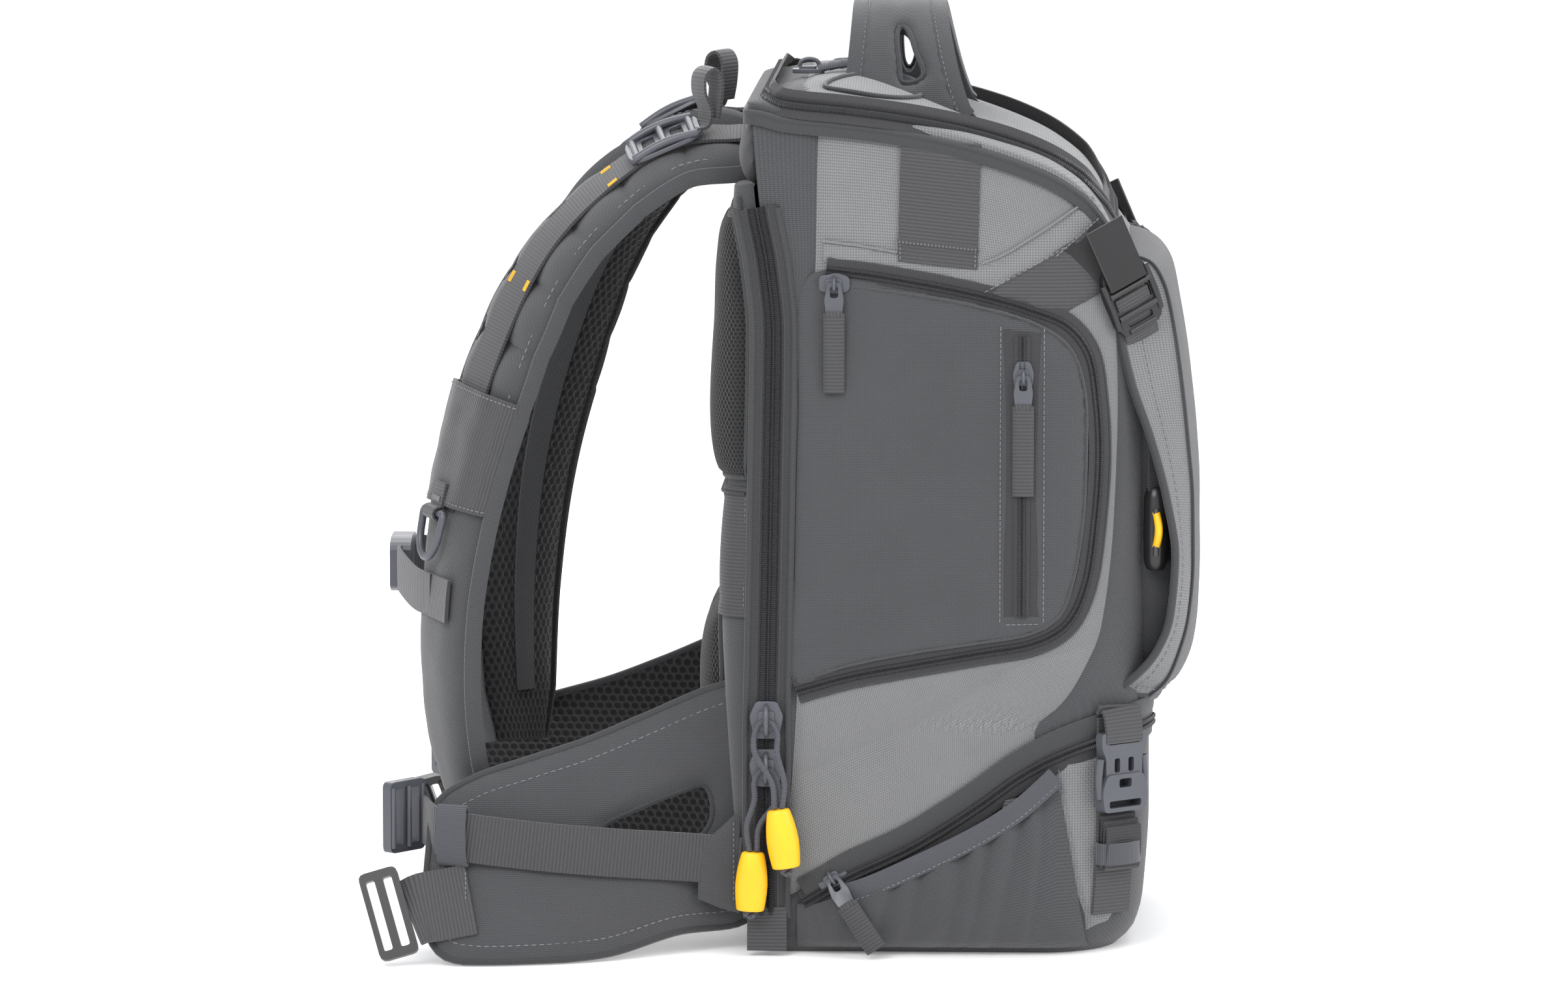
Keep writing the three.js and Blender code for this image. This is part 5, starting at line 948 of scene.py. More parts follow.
def door_trim(side):
    tape = panel([(38, 351), (59, 349), (59, 190), (38, 190)], flat, 3.6, 5.0, edge=3.2, roll=1.5)
    lines = [seam_stitch([(36.5, 188), (36.5, 270), (36.5, 353)], 3.4, 3.2),
             seam_stitch([(60.5, 188), (60.5, 270), (60.5, 352)], 3.4, 3.2),
             seam_stitch([(39.5, 187), (58, 187.5)], 3.4, 3.0)]
    coil = zip_on_side([(48.5, 347), (48.5, 270), (48.5, 192)], 9, 1.15, 1.9, 3.3)
    return [tape] + lines + [piping(DOOR_PIPING, 0.8, 2.5)] + coil


def door_zip(side):
    coil = zip_on_side(DOOR_ZIP, 13, 1.35, 2.1, 0.9)
    ring = frames(smooth_path(DOOR_ZIP, 4.0), TOP_WAY)
    outside = [p + a * 7.4 for p, _, a, _ in ring]
    inside = [p - a * 6.2 for p, _, a, _ in ring]
    return coil + [tube(on_side(outside, 0.8), 1.7, 8), tube(on_side(inside, 1.4), 0.9, 6)]


both("side_gusset", gusset, [TWILL])
both("side_panel", side_cloth, [GREY])
both("front_panel", front_cloth, [TWILL])
both("base_panel", base_cloth, [TWILL])
both("door_panel", door, [TWILL], node="side_door", slot="charcoal")
both("door_pocket_zip", door_trim, [TAPE, THREAD, THREAD, THREAD, TWILL, TAPE, TEETH, TEETH, TEETH])
both("door_zip", door_zip, [TAPE, TWILL_DARK, TEETH, TEETH, BINDING, BINDING])


# Lid: a crowned cap inside the zip, its rim followed from the rear middle round the near side
LID_REAR_CORNER = 5.0
LID_FIRST_HEIGHT = 460
LID_TWO_TONE = -73


def rim_point(s, h=0.0, inset=0.0):
    """The lid's rim at a distance round from the rear middle, raised by h; with its outward normal."""
    corner = LID_REAR_CORNER
    z = seam_height(section(LID_FIRST_HEIGHT)[0])
    rear, _, half, _ = section(z)
    if s < half - corner:
        return Vector((rear + inset, -s, z + h)), Vector((-1, 0, 0))
    s -= half - corner
    if s < corner * math.pi / 2:
        a = s / corner
        n = Vector((-math.cos(a), -math.sin(a), 0))
        return Vector((rear + corner, -half + corner, z + h)) + n * (corner - inset), n
    s += rear + corner - corner * math.pi / 2
    z = top_of(s)
    p = wrap(s, z, -inset)
    n = (wrap(s, z, 1.0) - wrap(s, z, 0.0)).normalized()
    return Vector((p.x, p.y, z + h)), n


def rim_length():
    rear, _, half, _ = section(LID_FIRST_HEIGHT)
    corner = LID_REAR_CORNER
    return half - corner + corner * math.pi / 2 + wrap_end(top_of(250)) - rear - corner


RIM = rim_length()
LID_MIDDLE = along(0.38)


def lid_inset(x, h):
    """Inset share of the lid's cloth at a height over the seam."""
    crown = crown_rise(x)
    rise = min(1.0, max(0.0, (h - LID_EDGE) / crown))
    return 1 - math.sqrt(1 - rise * rise)


def lid_surface(s, share, off=0.0):
    p, n = rim_point(s)
    px = LID_MIDDLE + (p.x - LID_MIDDLE) * (1 - share)
    rise = math.sqrt(max(0.0, 1 - (1 - share) ** 2))
    z = seam_height(px) + LID_EDGE + crown_rise(px) * rise
    return Vector((px, p.y * (1 - share), z)) + (n * (1 - rise) + Vector((0, 0, rise))) * off


def lid(side):
    steps = [-1.0, -0.5] + [(k / 26) ** 2 for k in range(27)]
    top = len(steps) - 1

    def point(u, v):
        row = v * top
        k = min(int(round(row)), top)
        s = min(u, 1.0) * RIM
        if steps[k] < 0:
            return rim_point(s, LID_EDGE * (1 + steps[k]) - 1.0)[0]
        share = min(steps[k], 0.995)
        p = lid_surface(s, share, 0.6)
        seam = math.exp(-((p.x - LID_TWO_TONE) / 2.2) ** 2) * 1.1
        p.z += fold_noise(p.x, p.y, 34, 0.9) - seam
        return p
    verts, faces, uvs = grid(92, top, point)
    dark = ([], [])
    light = ([], [])
    for f, t in zip(faces, uvs):
        middle = sum((verts[k] for k in f), Vector()) / 4
        flat_uv = [(verts[k].x, verts[k].y) for k in f] if middle.z > seam_height(middle.x) + 15 else t
        kind = dark if middle.x < LID_TWO_TONE else light
        kind[0].append(f)
        kind[1].append(flat_uv)
    return [(verts, *light), (verts, *dark)]


def lid_line(height, lift=0.0, step=3.0):
    """A path round the near half of the lid at a height over its seam, with normals."""
    points, normals = [], []
    count = round(RIM / step)
    for k in range(count + 1):
        s = RIM * k / count
        p, n = rim_point(s)
        share = lid_inset(p.x, height)
        q = lid_surface(s, share)
        q.z = seam_height(q.x) + height if height < LID_EDGE else q.z
        tilt = min(1.0, max(0.0, (height - 2) / 22))
        m = (n * (1 - tilt) + Vector((0, 0, tilt))).normalized()
        points.append(q + m * lift)
        normals.append(m)
    return points, normals


def lid_zip(side):
    middle, normals = lid_line(9.5, 1.4)
    tape = band(middle, normals, 17, 1.0, -0.4, 0.6)
    groove = band(middle, normals, 2.2, 0.8, 0.8)
    raised = [p + n * 1.3 for p, n in zip(middle, normals)]
    rows = [toothed(raised, normals, x, 1.9, 2.35) for x in (2.05, -2.05)]
    low, _ = lid_line(1.0, 1.5)
    high, _ = lid_line(17.5, 1.3)
    return [tape, groove] + rows + [tube(low, 1.9, 8), tube(high, 1.5, 8)]


def lid_binding(side):
    low, normals = lid_line(-1.4, 1.2)
    return [band(low, [Vector((n.x, n.y, 0.15)).normalized() for n in normals], 8.5, 1.2, 0.0, 0.5)]


both("lid", lid, [GREY, TWILL])
both("lid_zip", lid_zip, [TAPE, TWILL_DARK, TEETH, TEETH, BINDING, BINDING])
both("lid_lower_binding", lid_binding, [BINDING])


# Handle: a padded band in its own coordinates, across it and along its arch
HANDLE_MIDDLE = along(0.335)
HANDLE_FOOT = seam_height(HANDLE_MIDDLE) + LID_EDGE + crown_rise(HANDLE_MIDDLE) * 0.8
HANDLE_REACH = 62
HANDLE_RISE = 58
HANDLE_SINK = 14
HANDLE_WIDEST = 38
ARCH_STEP = 1.5


def handle_arch():
    points = []
    for k in range(121):
        angle = math.pi * k / 120
        drop = 1 - abs(math.cos(angle)) ** 2.6
        points.append(Vector((HANDLE_MIDDLE + 6 * (1 - math.sin(angle)),
                              -HANDLE_REACH * math.cos(angle) * (1 + 0.08 * math.sin(angle)),
                              HANDLE_FOOT - HANDLE_SINK + HANDLE_RISE * drop)))
    return resample(points, ARCH_STEP)


ARCH = handle_arch()
ARCH_FRAMES = []
for i, p in enumerate(ARCH):
    t = (ARCH[min(len(ARCH) - 1, i + 2)] - ARCH[max(0, i - 2)]).normalized()
    ARCH_FRAMES.append((p, FRONT_WAY.cross(t).normalized()))
ARCH_LENGTH = ARCH_STEP * (len(ARCH) - 1)


def handle_half(t):
    return HANDLE_WIDEST * (1 - 0.32 * max(0.0, math.sin(math.pi * t / ARCH_LENGTH)) ** 0.7)


def handle_place(a, t, off=0.0):
    k = min(max(t / ARCH_STEP, 0.0), len(ARCH) - 1.001)
    i = int(k)
    p = ARCH[i].lerp(ARCH[i + 1], k - i)
    n = ARCH_FRAMES[i][1].lerp(ARCH_FRAMES[i + 1][1], k - i).normalized()
    return p + Vector((a, 0, 0)) + n * off


def handle_shapes():
    rows = 34
    edge = [(-handle_half(ARCH_LENGTH * k / rows), ARCH_LENGTH * k / rows) for k in range(rows + 1)]
    outline = edge + [(-a, t) for a, t in reversed(edge)]
    slots = []
    for low, high in ((20, 56), (ARCH_LENGTH - 56, ARCH_LENGTH - 20)):
        loop = smooth_path([(-1, low), (6, low), (11.5, low + 4), (8, (low + high) / 2), (4, high - 3),
                            (1, high), (-1.5, high - 3), (-1.5, low + 8)], 3.0, closed=True)
        slots.append([(p.x, p.y) for p in loop])

    def ridge(a, t, d):
        half = handle_half(t)
        inner = half - 9
        if abs(a) > inner:
            return -1.6
        wave = math.sqrt(abs(math.sin(math.pi * (a / inner))))
        high = math.sin(math.pi * t / ARCH_LENGTH) ** 0.8
        return (wave - 0.75) * 2.4 * high + fold_noise(a, t, 14, 0.5)
    body = panel(outline, handle_place, 4.8, 3.2, edge=0.4, roll=5.0, holes=slots, back=-4.2, extra=ridge)
    trims = []
    places = [ARCH_LENGTH * k / 60 for k in range(61)]
    ups = [ARCH_FRAMES[min(len(ARCH) - 1, round(k * (len(ARCH) - 1) / 60))][1] for k in range(61)]
    for sign in (-1, 1):
        inner = [handle_place(sign * (handle_half(t) - 9), t, 3.3) for t in places]
        outer = [handle_place(sign * (handle_half(t) - 4.4), t, 0.0) for t in places]
        strip = band(outer, ups, 9.2, 3.6, 0.0, 0.5)
        under = band(outer, [-u for u in ups], 9.2, 3.4, 0.0, 0.5)
        seam = [p + Vector((sign * 1.2, 0, 0)) for p in inner]
        trims += [strip, under, tube(inner, 0.8, 6), stitches(seam, ups, 3.6, 2.2, 0.5, 0.35, 0.7)]
    rims = [tube([handle_place(a, t, 2.4) for a, t in loop], 1.5, 6, closed=True) for loop in slots]
    return body, trims, rims


def handle():
    body, trims, rims = handle_shapes()
    make("handle", [body], [TWILL], node="handle", slot="grey_weave")
    make("handle_trim", trims + rims, [TWILL, TWILL, BINDING, THREAD] * 2 + [TWILL_DARK], slot="charcoal")


handle()


# Webbing tab and seams on the side above the door
TAB_START = -20.5
TAB_WIDTH = 44
TAB_FOOT = 388
TAB_LENGTH = 69
TAB_SLOPE = 4.5


def tab_point(u, v, off):
    return flat(TAB_START + u * TAB_WIDTH + 1.5 * v, TAB_FOOT + v * TAB_LENGTH - TAB_SLOPE * u, off)


def side_tab(side):
    def outer(u, v):
        fold_over = 1.0 * math.exp(-((v - 0.16) / 0.03) ** 2)
        return tab_point(u, v, 2.2 + 0.5 * math.sin(math.pi * u) + fold_over)

    def inner(u, v):
        return tab_point(u, v, 0.2)
    fold = [flat(TAB_START + TAB_WIDTH * k / 12, TAB_FOOT + 11 - TAB_SLOPE * k / 12, 2.6) for k in range(13)]
    n = NEAR_WAY
    sides = [[flat(TAB_START + TAB_WIDTH * e, TAB_FOOT + 1 - TAB_SLOPE * e + 10 * k / 6, 3.0)
              for k in range(7)] for e in (0.03, 0.97)]
    dashes = [stitches([p + n * 1.2 for p in fold], n, 2.0, 1.5, 1.0)]
    dashes += [stitches(line, n, 2.6, 1.8, 0.6) for line in sides]
    return [thick(14, 40, outer, inner), tube(fold, 1.5, 8)] + dashes


def yoke_seam(side):
    outline = smooth_path([(-62, 400), (-42, 397.5), (-21, 394), (3, 390), (24, 386.5), (38, 391), (56, 402),
                           (74, 414), (87, 423)], 4.0)
    outline += [Vector(p).to_3d() for p in ((93, 409), (78, 398), (60, 386), (30, 374))]
    outline += smooth_path([(14, 376), (-13, 381), (-40, 384.5), (-62, 387.5)], 4.0)
    cloth_piece = panel([(p[0], p[1]) for p in outline], flat, 1.9, 5.0, edge=0.3, roll=2.6)
    line = smooth_path([(-62, 399), (-42, 396.5), (-21, 393)], 3)
    right = smooth_path([(26, 387), (38, 392), (56, 403), (74, 415), (86, 423)], 3)
    return [cloth_piece, tube(on_side(line, 1.7), 0.7, 6), tube(on_side(right, 1.7), 0.7, 6)]


both("side_tab", side_tab, [WEB, WEB, THREAD], node="side_tab", slot="webbing")
both("yoke_seam", yoke_seam, [GREY, GREY, GREY], slot="grey_weave")


# Compression strap over the front corner, its patch, and the flap's buckle
def corner_strap(side):
    wedge = [(22, 369.5), (40, 379), (58, 389), (72, 398), (84, 408), (96, 397), (101, 384), (96, 372),
             (84, 366), (72, 359), (60, 359), (44, 364.5)]
    web = panel(wedge, flat, 2.6, 4.0, edge=0.3, roll=2.2)
    edge = seam_stitch([(27, 371), (42, 379), (58, 388), (71, 396)], 3.1, 3.4)
    patch = panel([(70, 394), (88, 409), (100, 389), (92, 370)], flat, 3.6, 4.0, edge=2.6, roll=1.0)
    upper = panel([(88, 412), (93, 411), (106, 395), (110, 380), (104, 380), (98, 396)], flat, 3.2, 3.0,
                  edge=0.4, roll=1.0)
    return [web, edge, patch, upper, seam_stitch([(66, 391), (78, 402), (88, 411)], 3.8, 3.0)]


both("corner_strap", corner_strap, [WEB, THREAD, PATCH, WEB, THREAD], node="flap_strap", slot="webbing")


# Front flap: a bound cloth that curves over the pocket
FLAP_ROWS = [
    (0, 0.965, 0.83, 0.94, 0.828, 0.9, 0.828), (1, 1.034, 0.823, 1.01, 0.818, 0.912, 0.81),
    (2, 1.077, 0.8, 1.05, 0.79, 0.922, 0.785), (3, 1.1, 0.752, 1.077, 0.737, 0.935, 0.738),
    (4, 1.124, 0.688, 1.095, 0.684, 0.965, 0.68), (5, 1.144, 0.605, 1.115, 0.605, 1.02, 0.61),
    (6, 1.153, 0.53, 1.128, 0.535, 1.062, 0.54), (7, 1.155, 0.456, 1.13, 0.46, 1.086, 0.472),
    (8, 1.153, 0.393, 1.118, 0.396, 1.073, 0.4), (9, 1.14, 0.346, 1.093, 0.352, 1.04, 0.36),
    (10, 1.105, 0.31, 1.062, 0.32, 0.985, 0.33), (11, 1.05, 0.286, 1.01, 0.298, 0.925, 0.31),
]
FLAP_HALF = HALF_WIDTH - 21
FLAP_SEAM = 0.85


def flap_point(reach, row, inset=0.0):
    """Reach is 0 in the middle and 1 at the side edge; the row runs down the flap."""
    middle, middle_z, seam, seam_z, edge, edge_z = read(FLAP_ROWS, row)
    if reach <= FLAP_SEAM:
        share = max(0.0, reach / FLAP_SEAM) ** 2.5
        x, z = middle + share * (seam - middle), middle_z + share * (seam_z - middle_z)
    else:
        share = (reach - FLAP_SEAM) / (1 - FLAP_SEAM)
        x, z = seam + share * (edge - seam), seam_z + share * (edge_z - seam_z)
    point = Vector((along(x), -reach * FLAP_HALF, up(z)))
    inward = Vector((along(0.6) - point.x, -0.55 * point.y, (up(0.5) - point.z) * 0.35)).normalized()
    return point + inward * inset


def flap(side):
    seam_at = 1 - FLAP_SEAM
    reaches = [1 - seam_at * k / 10 for k in range(10)] + [FLAP_SEAM * (1 - k / 30) for k in range(31)]
    count = len(reaches) - 1

    def outer(u, v):
        reach = reaches[round(u * count)]
        row = 11 * (1 - v)
        seam = 1.0 * math.exp(-((reach - FLAP_SEAM) * FLAP_HALF / 2.4) ** 2)
        hem = 0.9 * math.exp(-((row - 10.4) / 0.16) ** 2)
        p = flap_point(reach, row, 0.35 + seam + hem)
        p.x += fold_noise(p.y, p.z, 42, 1.0) * min(1.0, (1 - reach) * 9)
        return p

    def inner(u, v):
        return flap_point(reaches[round(u * count)], 11 * (1 - v), 3.2)
    verts, faces, uvs = thick(count, 66, outer, inner)
    kinds = {"side": ([], []), "front": ([], []), "back": ([], [])}
    cells = count * 66
    for i, (f, t) in enumerate(zip(faces, uvs)):
        kind = "back" if i >= cells else ("side" if i % count < 10 else "front")
        kinds[kind][0].append(f)
        kinds[kind][1].append(t)
    return [(verts, *kinds["side"]), (verts, *kinds["front"]), (verts, *kinds["back"])]


def flap_trim(side):
    rows = [11 * k / 80 for k in range(81)]
    edge = [flap_point(1.0, r, 1.4) for r in rows]
    foot = [flap_point(1.0 - k / 40, 11, 1.4) for k in range(41)]
    seam = [flap_point(FLAP_SEAM, r, 0.2) for r in rows]
    normal = [(flap_point(0.95, r, 0) - flap_point(0.95, r, 1)).normalized() for r in rows]
    face = [(flap_point(0.8, r, 0) - flap_point(0.8, r, 1)).normalized() for r in rows]
    near = [flap_point(0.945, r, -0.1) for r in rows]
    beside = [flap_point(FLAP_SEAM - 0.03, r, 0.1) for r in rows]
    foot_seam = [flap_point(0.98 - 0.98 * k / 40, 10.55, -0.1) for k in range(41)]
    down = Vector((0.7, 0, -0.7))
    return [tube(edge, 2.4, 8), tube(foot, 2.6, 8), tube(seam, 0.9, 6), stitches(near, normal, 4.2, 2.8, 0.6),
            stitches(beside, face, 4.2, 2.8, 0.6), stitches(foot_seam, down, 4.2, 2.8, 0.6)]


both("flap", flap, [GREY, TWILL, TWILL_DARK], slot="grey_weave")
both("flap_trim", flap_trim, [BINDING, BINDING, TWILL_DARK, THREAD, THREAD, THREAD], slot="charcoal")


# Front pocket under the flap, with its hook-and-loop strip and its small toggle
POCKET_ROWS = [(0.335, 6), (0.36, 15), (0.41, 20), (0.48, 23), (0.6, 22), (0.72, 15), (0.79, 9)]
POCKET_HALF = FLAP_HALF - 20
POCKET_FOOT = 0.335
POCKET_HEIGHT = 0.455
POCKET_CORNER = 18.0
POCKET_DEPTH = 26


def front_pocket(side):
    def point(u, v):
        z = up(POCKET_FOOT + v * POCKET_HEIGHT)
        front = section(z)[1] + read(POCKET_ROWS, z / BAG_HEIGHT)[0]
        back = section(z)[1] - POCKET_DEPTH
        r = POCKET_CORNER
        straight = front - r - back
        arc = r * math.pi / 2
        d = u * (straight + arc + POCKET_HALF - r)
        off = fold_noise(d, z, 26, 1.0)
        if d < straight:
            return Vector((back + d, -POCKET_HALF - off, z))
        if d < straight + arc:
            a = (d - straight) / r
            y = POCKET_HALF - r + (r + off) * math.cos(a)
            return Vector((front - r + (r + off) * math.sin(a), -y, z))
        return Vector((front + off, -(POCKET_HALF - r - (d - straight - arc)), z))
    rim = [point(k / 40, 1.0) for k in range(41)]
    foot = [point(k / 40, 0.0) for k in range(41)]
    strip = [point(0.27, 0.28 + 0.32 * k / 12) + Vector((0.8, -0.8, 0)) for k in range(13)]
    return [grid(60, 46, point), tube(rim, 2.0, 8), tube(foot, 1.4, 8),
            band(strip, Vector((0.7, -0.7, 0)), 13, 1.6, 0.0, 0.3)]


both("front_pocket", front_pocket, [TWILL, BINDING, BINDING, WEB_DARK], slot="charcoal")


# Stretch pocket on the base: gathers hang from an elastic trim
TRIM = [(-80, 29), (-66, 30), (-47, 36), (-36, 40), (-12, 51), (24, 69), (46, 83), (60, 95), (68, 103)]


# Folds of the stretch pocket: place along the base, width and height
GATHERS = [(-52, 5, 0.6), (-30, 7, 1.0), (-12, 5, 0.8), (6, 8, 1.2), (26, 5, 1.0), (40, 6, 1.2), (55, 4, 0.9)]


def trim_height(x):
    return read(TRIM, x)[0]


def stretch_pocket(side):
    def gather(u, v):
        x = -76 + u * (161 - 17 * v)
        top = trim_height(min(x, 68))
        z = 3.5 + v * (top - 3.5)
        lean = (1 - v) * 7
        ends = max(0.0, 1 - abs(2 * u - 1) ** 5)
        rise = max(0.0, 1 - abs(2 * v - 1) ** 3.2) ** 0.5
        fold = 0.0
        for place, wide, high in GATHERS:
            sway = (1 - v) ** 1.4 * (18 + 5 * math.sin(place))
            centre = place + lean * 0.9 - sway + math.sin(5 * v + place)
            fold += 1.0 * high * math.exp(-((x - centre) / wide) ** 2) - 0.5 * high * math.exp(
                -((x - centre - wide * 1.25) / (wide * 0.5)) ** 2)
        off = 1.8 + (7.6 * rise + 3.4 * fold * (0.25 + 0.75 * v) * min(1, (1 - v) * 9 + 0.3)) * ends
        off += fold_noise(x, z, 15, 0.7) * ends
        return flat(x, z, max(0.8, off))
    cloth_piece = grid(120, 36, gather)
    path, normals = [], []
    for k in range(60):
        x = -50 + 117.5 * k / 59
        mouth = 9.4 - 3.4 * (abs(x - 10) / 58) ** 3
        path.append(flat(x, trim_height(x), mouth))
        normals.append((flat(x, 40, 1) - flat(x, 40, 0)).normalized())
    trim = band(path, normals, 11.5, 1.8, -1.0, 0.7)
    down = [p + Vector((0.6, 0, -4.4)) + n * 1.3 for p, n in zip(path, normals)]
    return [cloth_piece, trim, stitches(down, normals, 3.1, 2.1, 0.55)]


for piece in both("stretch_pocket", stretch_pocket, [TWILL, ELASTIC, THREAD], node="side_pocket",
                  slot="charcoal"):
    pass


def pocket_details(side):
    """The small webbing loop over the trim, and the dashed edge of the light corner panel."""
    loop = panel([(36, 79), (43, 83), (48, 91), (40, 89)], flat, 6.8, 2.0, edge=5.6, roll=1.0)
    corner = panel([(67, 109), (84, 115), (100, 119), (105, 112), (106, 70), (106, 30), (97, 18), (85, 13.5),
                    (79, 36), (75, 60), (70, 88)], flat, 1.9, 5.0, edge=0.2, roll=2.0)
    seam = seam_stitch([(69, 106), (74, 80), (80, 45), (87, 16)], 2.2, 3.2)
    return [loop, corner, seam]


both("base_corner", pocket_details, [WEB, GREY, THREAD], slot="grey_weave")


# Base zip from its slider up to the base strap, bound above and below
def base_zip(side):
    line = [(-72, 29), (-60, 36), (-48, 43.5), (-12, 61), (24, 84), (49, 102), (74, 115), (100, 122.5),
            (128, 126), (150, 127)]
    coil = zip_on_side(line, 15, 1.55, 2.3, 0.8, 3.0, wrap)
    upper = shifted(line, -1.5, 9.5)
    lower = shifted(line, 1.5, -7.5)
    strip = smooth_path(upper, 3.0)
    bound = band(on_side(strip, 0.6, wrap), side_normals(strip, wrap), 10, 1.6, 0.0, 0.8)
    return coil + [bound, piping(lower, 1.2, 0.6, False, wrap)]


both("base_zip", base_zip, [TAPE, TWILL_DARK, TEETH, TEETH, BINDING, BINDING], slot="charcoal")


# Plates, sliders and buckles
def plate(outline, low, high, frame_at):
    """A prism of an outline; its points are (a, b) in a plane with a, b and outward directions."""
    origin, across, upward, outward = frame_at
    n = len(outline)
    verts = [origin + across * a + upward * b + outward * low for a, b in outline]
    verts += [origin + across * a + upward * b + outward * high for a, b in outline]
    area = sum(p[0] * q[1] - q[0] * p[1] for p, q in zip(outline, outline[1:] + outline[:1]))
    turn = across.cross(upward).dot(outward) * area > 0
    faces = [tuple(n + k for k in range(n)), tuple(reversed(range(n)))]
    for k in range(n):
        q = (k + 1) % n
        faces.append((k, q, n + q, n + k))
    if not turn:
        faces = [tuple(reversed(f)) for f in faces]
    return verts, faces, [[(0, 0)] * len(f) for f in faces]


def round_corners(outline, radius, steps=3):
    """An outline with its corners rounded."""
    out = []
    n = len(outline)
    for i in range(n):
        here = Vector(outline[i])
        before = Vector(outline[i - 1])
        after = Vector(outline[(i + 1) % n])
        a = min(radius, (here - before).length / 2.01)
        b = min(radius, (here - after).length / 2.01)
        start = here + (before - here).normalized() * a
        end = here + (after - here).normalized() * b
        for k in range(steps + 1):
            t = k / steps
            p = start * (1 - t) ** 2 + here * (2 * t * (1 - t)) + end * t ** 2
            out.append((p.x, p.y))
    return out


def rounded_box(width, height, radius=3.0):
    w, h = width / 2, height / 2
    return round_corners([(-w, -h), (w, -h), (w, h), (-w, h)], radius)


def slot_outline(a, b, width, height, radius=1.4):
    return [(x + a, y + b) for x, y in rounded_box(width, height, radius)]


def holed_plate(outline, holes, low, high, frame_at):
    """A plate with holes, made as a panel with a flat face."""
    origin, across, upward, outward = frame_at

    def place(a, b, off):
        return origin + across * a + upward * b + outward * off
    return panel(outline, place, high, 40.0, edge=high - 0.7, roll=0.9, holes=holes, back=low)


def side_frame(x, z, off=0.0, tilt=0.0):
    """A frame lying on the near side: across is to the front, upward up, both turned by a tilt."""
    origin = flat(x, z, off)
    turn = math.radians(tilt)
    across = Vector((math.cos(turn), 0, -math.sin(turn)))
    upward = Vector((math.sin(turn), 0, math.cos(turn)))
    return origin, across, upward, NEAR_WAY


def slider_body(frame_at, width, height, thickness):
    w, h = width / 2, height / 2
    outline = [(-w, h * 0.2), (-w * 0.62, h), (w * 0.62, h), (w, h * 0.2), (w * 0.7, -h), (-w * 0.7, -h)]
    top = [(-w * 0.5, h * 0.5), (w * 0.5, h * 0.5), (w * 0.42, -h * 0.6), (-w * 0.42, -h * 0.6)]
    base = plate(round_corners(outline, 2.2), 0.0, thickness * 0.62, frame_at)
    crown = plate(round_corners(top, 2.0), thickness * 0.5, thickness, frame_at)
    return [base, crown]


def wire_loop(frame_at, low, high, rise, radius):
    """A bail: a wire that arches off a slider between two heights."""
    origin, _, upward, outward = frame_at
    points = []
    for k in range(13):
        a = math.pi * k / 12
        height = low + (high - low) * (1 - math.cos(a)) / 2
        points.append(origin + upward * height + outward * (rise * math.sin(a) ** 0.7))
    return tube(points, radius, 8)


def zip_chain(side):
    heights = [21 + 3 * k for k in range(133)]
    line = [Vector((section(z)[0], -section(z)[2], z)) for z in heights]
    n = NEAR_WAY
    tape = band(line, n, 24, 1.4, 0.4, 0.3)
    groove = band(line, n, 3.0, 1.6, 0.6)
    raised = [p + n * 2.3 for p in line]
    rows = [toothed(raised, [n] * len(line), x, 2.35, 2.4) for x in (2.55, -2.55)]
    pipes = [tube([p + n * 1.2 + Vector((x, 0, 0)) for p in line], 1.9, 8) for x in (-11.4, 11.6)]
    inner = [tube([p + n * 1.9 + Vector((x, 0, 0)) for p in line], 0.7, 6) for x in (-6.2, 6.2)]
    foot_line = [line[0] + Vector((0, y, z)) for y, z in ((-1.2, 6), (-2.2, 0), (-3.2, -9), (-3.6, -18))]
    foot = band(foot_line, n, 22, 2.2, 0.0, 0.3)
    return [tape, groove] + rows + pipes + inner + [foot]


both("main_zip", zip_chain, [TAPE, TWILL_DARK, TEETH, TEETH, BINDING, BINDING, BINDING, BINDING, WEB],
     node="main_zip", slot="charcoal")


def zip_sliders():
    shapes = []
    for x, distance, z in ZIP_SEATS:
        at = (Vector((x, -distance - 0.4, z)), FRONT_WAY, TOP_WAY, NEAR_WAY)
        shapes += slider_body(at, 19, 21, 5.2)
        bail_at = (Vector((x, -distance - 4.2, z)), *at[1:])
        shapes.append(wire_loop(bail_at, 8.0, -8.4, 6.4, 1.5))
    return shapes


make("zip_sliders", zip_sliders(), [PLASTIC], slot="plastic", bevel=0.6)


# Back panel with its net pads, and what lies on it
PANEL_ROWS = [
    (0.0, 0.26, 0.92), (0.02, 0.3, 0.93), (0.07, 0.45, 0.97), (0.17, 0.68, 0.985), (0.34, 0.9, 0.99),
    (0.45, 1.0, 0.99), (0.63, 0.92, 0.99), (0.8, 0.8, 0.99), (0.93, 0.6, 0.985), (1.0, 0.42, 0.96),
]


def panel_at(z):
    thick_share, width = read(PANEL_ROWS, z / PANEL_TOP)
    rear, _, half, _ = section(z)
    start = rear - GAP
    deep = 26 * thick_share
    return start, start - deep, half * width, min(20, deep * 0.9)


def panel_point(d, z, off=0.0):
    """A point on the near side of the panel, at a distance round it from its front edge."""
    start, rear, half, r = panel_at(z)
    straight = start - rear - r
    arc = r * math.pi / 2
    if d <= straight:
        return Vector((start - d, -(half + off), z))
    if d <= straight + arc:
        a = (d - straight) / r
        return Vector((rear + r - (r + off) * math.sin(a), -(half - r + (r + off) * math.cos(a)), z))
    return Vector((rear - off, -max(0.0, half - r - (d - straight - arc)), z))


def panel_reach(z):
    start, rear, half, r = panel_at(z)
    return start - rear - r + r * math.pi / 2 + half - r


